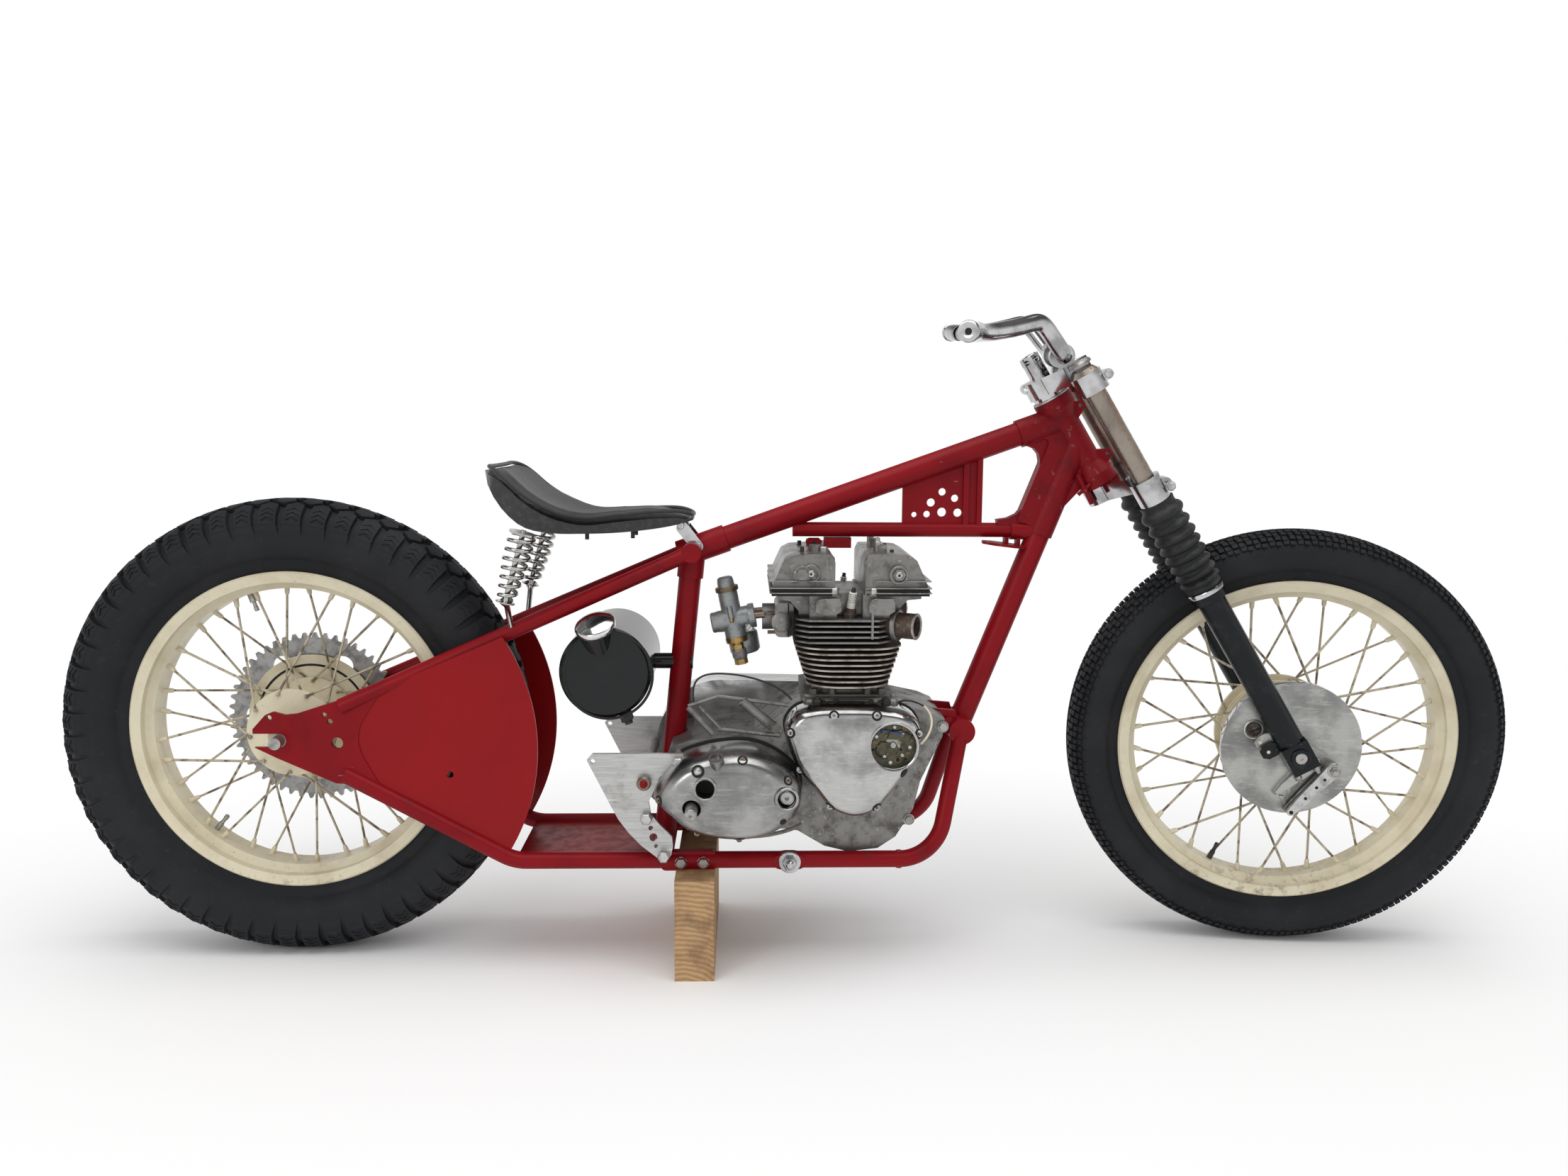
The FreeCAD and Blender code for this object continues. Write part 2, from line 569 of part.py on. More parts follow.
# The turned wheel leans a little, so its axle sits lower than its radius.
lean = asin(sin(radians(size.rake_angle)) * sin(radians(size.steer_angle)))
axle_height = max(x * cos(lean) + y * abs(sin(lean))
                  for x, y in tread_points(front_radius, size.front_tyre_width))
lead_rise = size.leg_lead * sin(radians(size.rake_angle)) * cos(radians(size.steer_angle))
axle_along = (axle_height - lead_rise) / cos(radians(size.rake_angle))
lead_reach = size.leg_lead * cos(radians(size.rake_angle)) * cos(radians(size.steer_angle))
foot_x = wheelbase + axle_along * sin(radians(size.rake_angle)) - lead_reach
straight_turn = Rotation(ACROSS, -size.rake_angle)
straight = Placement(at(foot_x, 0, 0), straight_turn)
front = Placement(at(foot_x, 0, 0), straight_turn.multiply(Rotation(UP, size.steer_angle)))
rear_axle = at(0, 0, rear_radius)
rear_wheel = Placement(rear_axle, Rotation())
front_wheel = front.multiply(Placement(Vector(size.leg_lead, 0, axle_along), Rotation()))
head_low = axle_along + front_radius + size.crown_gap
head_high = head_low + size.head_length


def head(along, ahead=0.0):
    """A place in the middle plane, along the steering axis and ahead of it."""
    return straight.multVec(Vector(ahead, 0, along))


seat_foot = at(seat_foot_x, 0, rail_z)
seat_node = at(seat_node_x, 0, seat_node_z)
down_foot = at(down_foot_x, 0, down_foot_z)
down_joint = head(head_low + size.down_joint_rise)
top_joint = head(head_high - size.top_joint_drop)


def on_seat_tube(z):
    """Where the seat tube's centre line is at one height, measured from the rear axle."""
    return seat_foot_x + (z - rail_z) * size.seat_tube_lean / (seat_node_z - rail_z)


# Wheels


def tyre_points(radius, width, rim_radius, rim_width):
    """Tyre section: straight sidewalls, a tread of three flats, and the beads in the rim."""
    seat = rim_radius - size.rim_seat_depth
    bead = rim_width / 2 - size.rim_wall
    return [(seat, -bead), (rim_radius + size.running_gap, -bead)] + tread_points(radius, width) + \
        [(rim_radius + size.running_gap, bead), (seat, bead)]


def rim_points(radius, width):
    """Rolled rim section with its lips, bead seats and well."""
    half = width / 2
    seat = radius - size.rim_seat_depth
    well = radius - size.rim_well_depth
    wall = size.rim_wall
    lip = size.rim_roll
    upper = [(radius - lip, half + lip), (radius, half), (radius, half - wall), (seat, half - wall),
             (seat, half / 2 + wall), (well, half / 2 - wall)]
    lower = [(x, -y) for x, y in reversed(upper)]
    under = [(seat - wall, -half), (seat - wall, -half / 2 - 2 * wall), (well - wall, -half / 2)]
    return upper + lower + under + [(x, -y) for x, y in reversed(under)]


def ribs(radius, low, high, height, pitch):
    """Points of square ribs round a drum, from one Y to another."""
    points = []
    across = low + pitch
    while across + pitch / 2 < high:
        points += [(radius, across), (radius + height, across),
                   (radius + height, across + pitch / 2), (radius, across + pitch / 2)]
        across += pitch
    return points


def hub_points(radius, half, bore, reach, waist, carrier):
    """Drum hub with two spoke flanges, a waist, bearing bosses and a sprocket carrier."""
    lip = size.hub_flange / 2
    nose = size.hub_nose
    right = [(bore, -reach), (nose, -reach), (nose, -half - lip), (radius, -half - lip),
             (radius, -half + lip), (waist, -half + lip)]
    step = [(waist, half - lip), (radius, half - lip), (radius, half + lip),
            (radius - 2 * lip, half + lip), (radius - 2 * lip, half + lip + carrier),
            (nose, half + lip + carrier), (nose, reach), (bore, reach)]
    if carrier == 0:
        step = [(x, -y) for x, y in reversed(right)]
        right += ribs(waist, -half + lip, half - lip, size.rib_height, 4 * size.rib_height)
    return right + step


def spokes(hub_radius, half, rim_radius, cutters):
    """Wire spokes of one wheel, crossed in pairs, six-sided to keep them light."""
    pairs = int(size.spoke_pair_count)
    step = 360.0 / pairs
    hub_ring = hub_radius - 2 * size.spoke_radius
    rim_ring = rim_radius - size.rim_well_depth
    wires = []
    for side in SIDES:
        for index in range(pairs):
            for lead in SIDES:
                start_angle = (index + side / 4.0 + lead / 8.0) * step
                end_angle = start_angle + lead * size.spoke_angle
                start = polar(hub_ring, start_angle, side * half + lead * size.hub_flange * 0.75)
                end = polar(rim_ring, end_angle, side * size.hub_flange)
                wires.append(hexagon(start, end, size.spoke_radius))
    made = Part.makeCompound(wires)
    for cutter in cutters:
        made = made.cut(cutter)
    return made


def build_wheel(name, place, half, reach, carrier):
    value = {key: getattr(size, name + "_" + key) for key in
             ("tyre_height", "tyre_width", "rim_radius", "rim_width", "hub_radius", "waist_share",
              "axle_radius")}
    rim_radius, hub_radius = value["rim_radius"], value["hub_radius"]
    tyre = turned(name + "_tyre", tyre_points(rim_radius + value["tyre_height"], value["tyre_width"],
                                              rim_radius, value["rim_width"]), place)
    rim = turned(name + "_rim", rim_points(rim_radius, value["rim_width"]), place)
    bore = value["axle_radius"] + size.bearing_clearance
    hub = turned(name + "_hub", hub_points(hub_radius, half, bore, reach,
                                           hub_radius * value["waist_share"], carrier), place)
    doc.recompute()
    cutters = []
    for body in (rim, hub):
        shape = body.Shape.copy()
        shape.Placement = Placement()
        cutters.append(shape)
    wires = spokes(hub_radius, half, rim_radius, cutters)
    rim_piece = keep(rim, name + "_rim")
    keep(cut(name + "_tyre", tyre, rim_piece), name + "_tyre")
    keep(hub, name + "_hub")
    keep(feature(name + "_spokes", wires, place), name + "_spokes")


def build_sprocket():
    """Flat toothed plate bolted to the left of the rear hub, with its bolts and windows."""
    teeth = int(size.sprocket_tooth_count)
    root = size.sprocket_radius - size.tooth_depth
    inner = size.rear_hub_radius - size.hub_flange
    across = size.rear_hub_half + size.hub_flange / 2 + size.sprocket_offset - size.sprocket_thickness
    tooth_shares = ((0.18, 0.0), (0.40, 1.0), (0.60, 1.0), (0.82, 0.0))
    corners = []
    for index in range(teeth):
        for turn_share, height_share in tooth_shares:
            radius = root + height_share * size.tooth_depth
            corners.append(polar(radius, (index + turn_share) * 360.0 / teeth, across))
    blank = Part.Face(Part.makePolygon(corners + corners[:1]))
    blank = blank.extrude(ACROSS * size.sprocket_thickness)
    over = ACROSS * size.sprocket_thickness
    holes = [bar(ACROSS * across - over, ACROSS * across + over * 2, inner)]
    windows = 6
    middle = (root + inner) / 2
    for index in range(windows):
        place = polar(middle, index * 360.0 / windows, across)
        holes.append(bar(place - over, place + over * 2, (root - inner) / 4))
    keep(feature("rear_sprocket", blank.cut(Part.makeCompound(holes)), rear_wheel), "rear_sprocket")


build_wheel("rear", rear_wheel, size.rear_hub_half, size.rail_half - 2 * size.plate_thickness,
            size.sprocket_offset)
build_wheel("front", front_wheel, size.front_hub_half,
            size.brake_face - size.brake_depth - size.running_gap, 0)
build_sprocket()

plate_face = ACROSS * (size.rail_half + size.plate_thickness / 2)
thread_end = plate_face + ACROSS * size.rear_axle_overhang
spindle = cylinder("rear_axle", "rear_axle_radius", rear_axle - plate_face, rear_axle + plate_face)
thread = cylinder("rear_thread", "rear_thread_radius", rear_axle - thread_end, rear_axle + thread_end)
keep(joined("rear_axle", spindle, thread), "rear_axle")

# Engine cases, which the frame is built round

case_shares = ((0.506, 1.0), (0.831, 1.0), (0.952, 0.951), (1.0, 0.911), (0.993, 0.791),
               (0.919, 0.484), (0.896, 0.293), (0.836, 0.102), (0.774, 0.022), (0.67, 0.0),
               (0.587, 0.04), (0.494, 0.147), (0.346, 0.187), (0.125, 0.236), (0.06, 0.329),
               (0.023, 0.524), (0.055, 0.724), (0.125, 0.769), (0.344, 0.8), (0.448, 0.947))
timing_shares = ((0.23, 1.0), (0.67, 1.0), (0.89, 0.95), (1.0, 0.79), (1.0, 0.66), (0.67, 0.03),
                 (0.545, 0.0), (0.43, 0.01), (0.32, 0.09), (0.095, 0.43), (0.0, 0.81), (0.08, 0.95))
gear_shares = ((0.0, 0.474), (0.046, 0.652), (0.206, 0.889), (0.454, 0.993), (0.683, 1.0),
               (1.0, 0.541), (0.977, 0.296), (0.839, 0.096), (0.688, 0.015), (0.587, 0.0),
               (0.349, 0.037), (0.248, 0.096), (0.119, 0.252))
clutch_share = (0.222, 0.569)
crank_share = (0.684, 0.649)
port_z = joint_z + size.port_rise
crank_x = case_x + crank_share[0] * size.case_length
crank_z = case_z + crank_share[1] * size.case_height
clutch_x = case_x + clutch_share[0] * size.case_length
clutch_z = case_z + clutch_share[1] * size.case_height
barrel_x = crank_x - size.barrel_set
case_face = size.case_half


def build_crankcase():
    """One casting for crankshaft and gearbox, hollowed where the seat tube stands."""
    edges = profile(case_shares, (case_x, case_z), size.case_length, size.case_height)
    clearance = bar(seat_foot, seat_node, size.seat_tube_radius + size.case_clearance)
    block = prism(edges, -case_face, case_face).cut(clearance)
    return keep(feature("crankcase", block), "crankcase")


crankcase = build_crankcase()


def recess(place, radius, face, depth):
    """A round pocket sunk into a cover's outer face on the right."""
    return bar(at(place[0], face - size.over, place[1]), at(place[0], face + depth, place[1]), radius)


def build_covers():
    """Rounded timing and gearbox covers on the right, and the primary cover on the left."""
    gear_low = (clutch_x - 0.44 * size.gear_length, clutch_z - 0.652 * size.gear_height)
    gear_face = -case_face - size.gear_depth
    gear = domed(gear_shares, gear_low, size.gear_length, size.gear_height, size.cover_corner,
                 -case_face, gear_face, size.gear_edge)
    recess_shares = ((0.357, 0.639), (0.892, 0.515), (0.269, 0.416))
    places = [(gear_low[0] + x * size.gear_length, gear_low[1] + z * size.gear_height)
              for x, z in recess_shares]
    for place in places:
        gear = gear.cut(recess(place, size.gear_recess, gear_face, size.recess_depth))
    ends = (size.recess_depth / 2, -size.gear_shaft_out)
    for place, end in zip(places[1:], ends):
        gear = gear.fuse(bar(at(place[0], gear_face + size.recess_depth, place[1]),
                             at(place[0], gear_face + end, place[1]), size.gear_shaft))
    gear_body = keep(feature("gearbox_cover", gear), "gearbox_cover")
    timing_low = (crank_x - 0.517 * size.timing_length, crank_z - 0.464 * size.timing_height)
    timing_face = -case_face - size.timing_depth
    timing = domed(timing_shares, timing_low, size.timing_length, size.timing_height,
                   size.cover_corner, -case_face, timing_face, size.timing_edge)
    points_at = (timing_low[0] + 0.781 * size.timing_length, timing_low[1] + 0.669 * size.timing_height)
    timing = timing.cut(recess(points_at, size.points_radius, timing_face, size.points_depth))
    cam_start = at(points_at[0], timing_face + size.points_depth, points_at[1])
    timing = timing.fuse(bar(cam_start, cam_start - ACROSS * size.points_depth / 2, size.gear_shaft))
    keep(cut("timing_cover", feature("timing_cover", timing), gear_body), "timing_cover")
    clutch = at(clutch_x, case_face, clutch_z)
    crank = at(crank_x, case_face, crank_z)
    primary = strap(clutch, crank, size.clutch_radius, size.crank_radius,
                    ACROSS * (size.primary_depth - size.primary_edge))
    raised = strap(clutch, crank, size.clutch_radius - size.primary_edge,
                   size.crank_radius - size.primary_edge, ACROSS * size.primary_depth)
    return gear_body, keep(feature("primary_cover", primary.fuse(raised)), "primary_cover")


gearbox_cover, primary_cover = build_covers()

# Frame


def build_head_lug():
    """Head tube with its bearing cups, sockets for two tubes, a cast web and drilled bosses."""
    low, high, cup = head_low, head_high, size.collar_height
    section = [(size.head_bore, low), (size.head_collar, low), (size.head_collar, low + cup),
               (size.head_waist, low + 2 * cup), (size.head_waist, high - 2 * cup),
               (size.head_collar, high - cup), (size.head_collar, high), (size.head_bore, high)]
    ring = Part.Face(Part.makePolygon([Vector(x, 0, z) for x, z in section + section[:1]]))
    tube = ring.revolve(Vector(), UP, 360)
    tube.Placement = straight
    top_way = (seat_node - top_joint).normalize()
    down_way = (down_foot - down_joint).normalize()
    outer = size.main_tube + size.lug_wall
    sockets = [bar(top_joint, top_joint + top_way * size.top_tube_lug, outer),
               bar(down_joint, down_joint + down_way * size.down_tube_lug, outer)]
    # The web's rear edge runs behind the down tube, and rounds into the top tube.
    back = Rotation(ACROSS, 90).multVec(down_way) * (size.main_tube + size.web_back)
    under = Rotation(ACROSS, -90).multVec(top_way) * size.main_tube
    edge_foot = down_joint + down_way * size.down_tube_lug * 0.95
    run = (down_joint + back - top_joint - under)
    share = (run.x * top_way.z - run.z * top_way.x) / (down_way.z * top_way.x - down_way.x * top_way.z)
    corner = down_joint + back + down_way * share
    web_points = [edge_foot, edge_foot + back, corner, corner + top_way * size.web_bend,
                  top_joint + top_way * size.top_tube_lug * 0.9, head(high - 2 * cup), head(low + cup)]
    web_face = Part.Face(wire_of(ring_edges(web_points, [0, 0, size.web_bend, 0, 0, 0, 0])))
    web = web_face.extrude(ACROSS * size.web_thickness)
    web.translate(ACROSS * -size.web_thickness / 2)
    lug = tube.multiFuse(sockets + [web])
    half = ACROSS * size.boss_half
    bores = [bar(head(low - size.over), head(high + size.over), size.head_bore)]
    for along in (low + 0.23 * size.head_length, high - 0.21 * size.head_length):
        boss = head(along, size.boss_lead)
        lug = lug.fuse(strap(head(along) - half, boss - half, size.head_waist, size.boss_radius, half * 2))
        bores.append(bar(boss - half * 2, boss + half * 2, size.boss_bore))
    return keep(feature("head_lug", lug.cut(Part.makeCompound(bores))), "head_lug")


head_lug = build_head_lug()


def build_main_tubes():
    """Top tube, down tube with its cross lug and engine bracket, and seat tube with its cluster."""
    top_way = (top_joint - seat_node).normalize()
    seat_way = (seat_foot - seat_node).normalize()
    sleeve = size.main_tube + size.lug_wall
    cross_half = ACROSS * (size.stay_top_half + size.stay_radius)
    cluster = [bar(seat_node - top_way * sleeve, seat_node + top_way * 2.6 * sleeve, sleeve),
               bar(seat_node, seat_node + seat_way * 2 * sleeve, size.seat_tube_radius + size.lug_wall),
               bar(seat_node - cross_half, seat_node + cross_half, size.stay_radius + size.lug_wall)]
    seat_lug = feature("seat_lug", cluster[0].multiFuse(cluster[1:]).removeSplitter())
    top_raw = cylinder("top_tube", "main_tube", seat_node, top_joint - top_way * size.top_tube_lug)
    top_tube = keep(cut("top_tube", top_raw, head_lug, seat_lug), "top_tube")
    down_way = (down_joint - down_foot).normalize()
    down_raw = cylinder("down_tube", "main_tube", down_foot,
                        down_joint - down_way * size.down_tube_lug)
    cross = cylinder("cross_lug", "cross_lug_radius", down_foot - ACROSS * size.cross_lug_half,
                     down_foot + ACROSS * size.cross_lug_half)
    bracket_shares = ((-1.64, 1.06), (-0.28, 0.94), (0.0, 0.0), (-0.70, -0.21), (-1.13, 0.23))
    low = (down_foot_x, down_foot_z)
    bracket = profile(bracket_shares, low, size.cradle_gap, size.cradle_gap)
    plates = [prism(bracket, side * (size.bracket_half - size.plate_thickness),
                    side * size.bracket_half) for side in SIDES]
    bolt_at = (down_foot_x - 0.6 * size.cradle_gap, down_foot_z + 0.45 * size.cradle_gap)
    reach = size.bracket_half + size.bolt_head_height
    plates.append(bar(at(bolt_at[0], -reach, bolt_at[1]), at(bolt_at[0], reach, bolt_at[1]),
                      size.plate_bolt))
    brackets = feature("engine_brackets", plates[0].multiFuse(plates[1:]))
    down_tube = keep(cut("down_tube", joined("down_tube", down_raw, cross, brackets), head_lug,
                         crankcase), "down_tube")
    seat_raw = cylinder("seat_tube", "seat_tube_radius", seat_foot, seat_node)
    foot_half = size.rail_half - size.rail_radius
    foot = cylinder("seat_foot", "seat_tube_radius", seat_foot - ACROSS * foot_half,
                    seat_foot + ACROSS * foot_half)
    seat_tube = keep(joined("seat_tube", seat_raw, foot, seat_lug), "seat_tube")
    return top_tube, down_tube, seat_tube


top_tube, down_tube, seat_tube = build_main_tubes()


def build_tank_rail():
    """Thin rail under the top tube, with its sleeve, and the drilled gusset that stands on it."""
    rail_top = seat_node_z + size.tank_rail_share * (top_joint.z - seat_node_z)
    down_share = (rail_top - down_foot.z) / (down_joint.z - down_foot.z)
    end = down_foot + (down_joint - down_foot) * down_share
    start = at(seat_node_x + size.tank_rail_start, 0, rail_top)
    rail = cylinder("tank_rail", "tank_rail_radius", start, end)
    sleeve = cylinder("tank_sleeve", "tank_sleeve_radius", end - FORWARD * size.tank_sleeve_length, end)
    rear = end.x + origin_x - size.gusset_back
    fore = rear + size.gusset_length
    top_way = top_joint - seat_node

    def tube_z(x):
        return seat_node_z + (x - seat_node_x) * top_way.z / top_way.x

    corners = [Vector(rear, rail_top, 0), Vector(fore, rail_top, 0),
               Vector(fore, tube_z(fore), 0), Vector(rear, tube_z(rear), 0)]
    hole_shares = ((0.50, 0.62, 1.0), (0.36, 0.44, 1.2), (0.66, 0.45, 0.9), (0.15, 0.20, 0.9),
                   (0.50, 0.21, 1.2), (0.70, 0.18, 1.0), (0.31, 0.19, 1.0))
    edges = ring_edges(corners)
    for x_share, z_share, radius_share in hole_shares:
        x = rear + x_share * size.gusset_length
        base = rail_top + size.tank_rail_radius
        height = tube_z(x) - size.main_tube - base
        hole = size.gusset_hole_share * radius_share * height
        edges.append(Part.Circle(Vector(x, base + z_share * height, 0), UP, hole))
    blank = plate("gusset_plate", edges, "gusset_thickness")
    ribs_made = []
    for index in range(2):
        back = fore - index * 2.6 * size.gusset_rib
        points = [Vector(back - size.gusset_rib, rail_top, 0), Vector(back, rail_top, 0),
                  Vector(back, tube_z(back), 0), Vector(back - size.gusset_rib, tube_z(back), 0)]
        ribs_made.append(prism(ring_edges(points), -size.gusset_rib, size.gusset_rib))
    doc.recompute()
    rib = feature("gusset_ribs", ribs_made[0].fuse(ribs_made[1]))
    return keep(cut("tank_rail", joined("tank_rail", rail, sleeve, blank, rib), top_tube, down_tube,
                    head_lug), "tank_rail")


tank_rail = build_tank_rail()

# Ends of the rails and stays in the axle plates, as shares of a plate's reach.
rail_end = (0.484 * size.plate_reach, rear_radius - 0.271 * size.plate_reach)
stay_end = (0.474 * size.plate_reach, rear_radius + 0.266 * size.plate_reach)
rear_bend_x = seat_foot_x - size.rear_bend_back


def build_lower_rails():
    """One rail a side: down from the cross lug, back under the engine, up to the axle."""
    both = []
    for side in SIDES:
        route = [down_foot + ACROSS * side * size.cross_lug_half * 0.7,
                 at(down_foot_x - size.cradle_lead, side * size.rail_half, rail_z),
                 at(rear_bend_x, side * size.rail_half, rail_z),
                 at(rail_end[0], side * size.rail_half, rail_end[1])]
        rail = bent_bar(route, size.rail_radius, [size.rail_bend, size.rail_bend])
        # The flat lug bolts to the timber, with its two bolts' heads outside.
        inner = size.rail_half - size.rail_lug_half
        outer = size.rail_half + size.rail_lug_half
        low = (seat_foot_x, rail_z - size.rail_lug_height / 2)
        edges = profile(((0, 0), (1, 0), (1, 1), (0, 1)), low, size.rail_lug_length,
                        size.rail_lug_height, size.cover_corner)
        parts = [prism(edges, side * inner, side * outer)]
        for share in (0.37, 0.77):
            x = seat_foot_x + share * size.rail_lug_length
            start = at(x, side * outer, rail_z)
            parts.append(hexagon(start, start + ACROSS * side * size.bolt_head_height, size.bolt_head))
        both.append(rail.multiFuse(parts))
    rails = feature("lower_rails", Part.makeCompound(both))
    return keep(cut("lower_rails", rails, down_tube, seat_tube), "lower_rails")


lower_rails = build_lower_rails()


def build_stays():
    """Straight upper stays from the seat cluster to the axle plates."""
    both = []
    for side in SIDES:
        start = at(stay_end[0], side * size.rail_half, stay_end[1])
        both.append(bar(start, seat_node + ACROSS * side * size.stay_top_half, size.stay_radius))
    stays = feature("upper_stays", Part.makeCompound(both))
    return keep(cut("upper_stays", stays, top_tube, seat_tube), "upper_stays")


upper_stays = build_stays()


def build_axle_plates():
    """Slotted plates that carry the rear spindle."""
    reach = size.plate_reach
    plate_shares = ((-0.20, 0.09), (-0.10, 0.20), (-0.04, 0.225), (0.05, 0.20), (0.14, 0.21),
                    (0.45, 0.31), (0.80, 0.40), (0.55, 0.02), (0.76, -0.36), (0.42, -0.34),
                    (-0.02, -0.14), (-0.20, -0.05))
    hole_shares = ((-0.07, 0.18, 0.020), (0.35, 0.20, 0.020), (0.39, 0.15, 0.022),
                   (0.44, -0.02, 0.045))
    points = [Vector(x * reach, rear_radius + z * reach, 0) for x, z in plate_shares]
    radii = [size.plate_thickness if -0.05 < x < 0.15 else 0 for x, z in plate_shares]
    radii[7] = size.plate_arc
    plates = []
    blank = prism(ring_edges(points, radii), -size.rail_half - size.plate_thickness,
                  size.rail_half + size.plate_thickness)
    for side in SIDES:
        edges = ring_edges(points, radii)
        for x, z, radius in hole_shares:
            edges.append(Part.Circle(Vector(x * reach, rear_radius + z * reach, 0), UP, radius * reach))
        plates.append(plate("axle_plate", edges, "plate_thickness", side * size.rail_half))
    slot = prism(ring_edges([
        Vector(-reach, rear_radius - size.slot_radius, 0), Vector(0, rear_radius - size.slot_radius, 0),
        Vector(0, rear_radius + size.slot_radius, 0), Vector(-reach, rear_radius + size.slot_radius, 0)]),
        -2 * size.rail_half, 2 * size.rail_half)
    eye = bar(rear_axle - ACROSS * 2 * size.rail_half, rear_axle + ACROSS * 2 * size.rail_half,
              size.slot_radius)
    slots = feature("axle_slots", slot.fuse(eye))
    pair = joined("axle_plates", *plates)
    return keep(cut("axle_plates", pair, slots, lower_rails, upper_stays), "axle_plates"), \
        feature("plate_blanks", blank)


axle_plates, plate_blanks = build_axle_plates()


def meet(start, end, centre, radius):
    """Where the line from start through end leaves a circle."""
    way = (end - start).normalize()
    run = start - centre
    along = -run.dot(way)
    return start + way * (along + sqrt(along * along - run.dot(run) + radius * radius))


def build_side_panels():
    """Flat panels between the stays, with a round front edge, and the floor behind the seat tube."""
    bulge = Vector(size.panel_reach, rear_radius - size.panel_drop, 0)
    centre = bulge - Vector(size.panel_arc, 0, 0)
    rear_high = Vector(stay_end[0], stay_end[1], 0)
    rear_low = Vector(rail_end[0], rail_end[1], 0)
    high = meet(rear_high, Vector(seat_node_x, seat_node_z, 0), centre, size.panel_arc)
    low = meet(rear_low, Vector(rear_bend_x, rail_z, 0), centre, size.panel_arc)
    hole = bulge + Vector(-0.344, -0.109, 0) * size.panel_reach
    panels = []
    for side in SIDES:
        edges = [Part.Arc(high, bulge, low), Part.LineSegment(low, rear_low),
                 Part.LineSegment(rear_low, rear_high), Part.LineSegment(rear_high, high),
                 Part.Circle(hole, UP, size.panel_hole)]
        panels.append(plate("side_panel", edges, "panel_thickness", side * size.rail_half))
    floor = doc.addObject("Part::Box", "box_of_floor")
    floor.setExpression("Length", "Sizes.floor_length")
    floor.setExpression("Width", "2 * Sizes.rail_half")
    floor.setExpression("Height", "Sizes.panel_thickness")
    rear = seat_foot_x - size.floor_front - size.floor_length
    floor.Placement = Placement(at(rear, -size.rail_half, rail_z), Rotation())
    made = joined("side_panels", floor, *panels)
    return keep(cut("side_panels", made, plate_blanks, lower_rails, upper_stays, seat_tube),
                "side_panels")


side_panels = build_side_panels()

# Top end


def slab(half_x, half_y, low, high, corner, back=0.0, rounded=True):
    """Block round the cylinders with rounded or cut upright edges."""
    middle = barrel_x - back
    points = [(-half_x, -half_y), (half_x, -half_y), (half_x, half_y), (-half_x, half_y)]
    radii = [corner] * 4
    if not rounded:
        points = [(-half_x, -half_y + corner), (-half_x + corner, -half_y), (half_x - corner, -half_y),
                  (half_x, -half_y + corner)]
        points += [(x, -y) for x, y in reversed(points)]
        radii = [0] * 8
    edges = ring_edges([Vector(middle + x, y, 0) for x, y in points], radii)
    face = Part.Face(wire_of(edges))
    face.translate(Vector(-origin_x, 0, low))
    return face.extrude(UP * (high - low))


def build_barrel():
    """Finned barrel on its flange, with the flange nuts and the pushrod tube cups."""
    corner = size.barrel_core_x / 2
    flange_top = deck_z + size.barrel_flange_height
    parts = [slab(size.barrel_flange_x, size.barrel_flange_y, deck_z, flange_top, corner / 2),
             slab(size.barrel_core_x, size.barrel_core_y, deck_z, joint_z, corner)]
    count = int(size.barrel_fin_count)
    for index in range(count):
        share = index / (count - 1.0)
        half_x = size.fin_low_x + share * (size.fin_high_x - size.fin_low_x)
        low = joint_z - size.fin_pitch * (count - index) - size.fin_thickness / 2
        parts.append(slab(half_x, size.fin_half_y, low, low + size.fin_thickness, size.fin_low_x * 0.8))
    for x_share in (-0.74, -0.34, 0.43, 0.74):
        for side in SIDES:
            foot = at(barrel_x + x_share * size.barrel_flange_x,
                      side * (size.barrel_flange_y - 1.2 * size.flange_nut), flange_top)
            parts.append(hexagon(foot, foot + UP * 1.2 * size.flange_nut, size.flange_nut))
    for side in SIDES:
        cup = at(barrel_x + side * size.barrel_core_x, 0, deck_z)
        parts.append(bar(cup, cup + UP * 2 * size.pushrod_radius, size.pushrod_radius))
    return keep(feature("barrel", parts[0].multiFuse(parts[1:]).removeSplitter()), "barrel")


barrel = build_barrel()


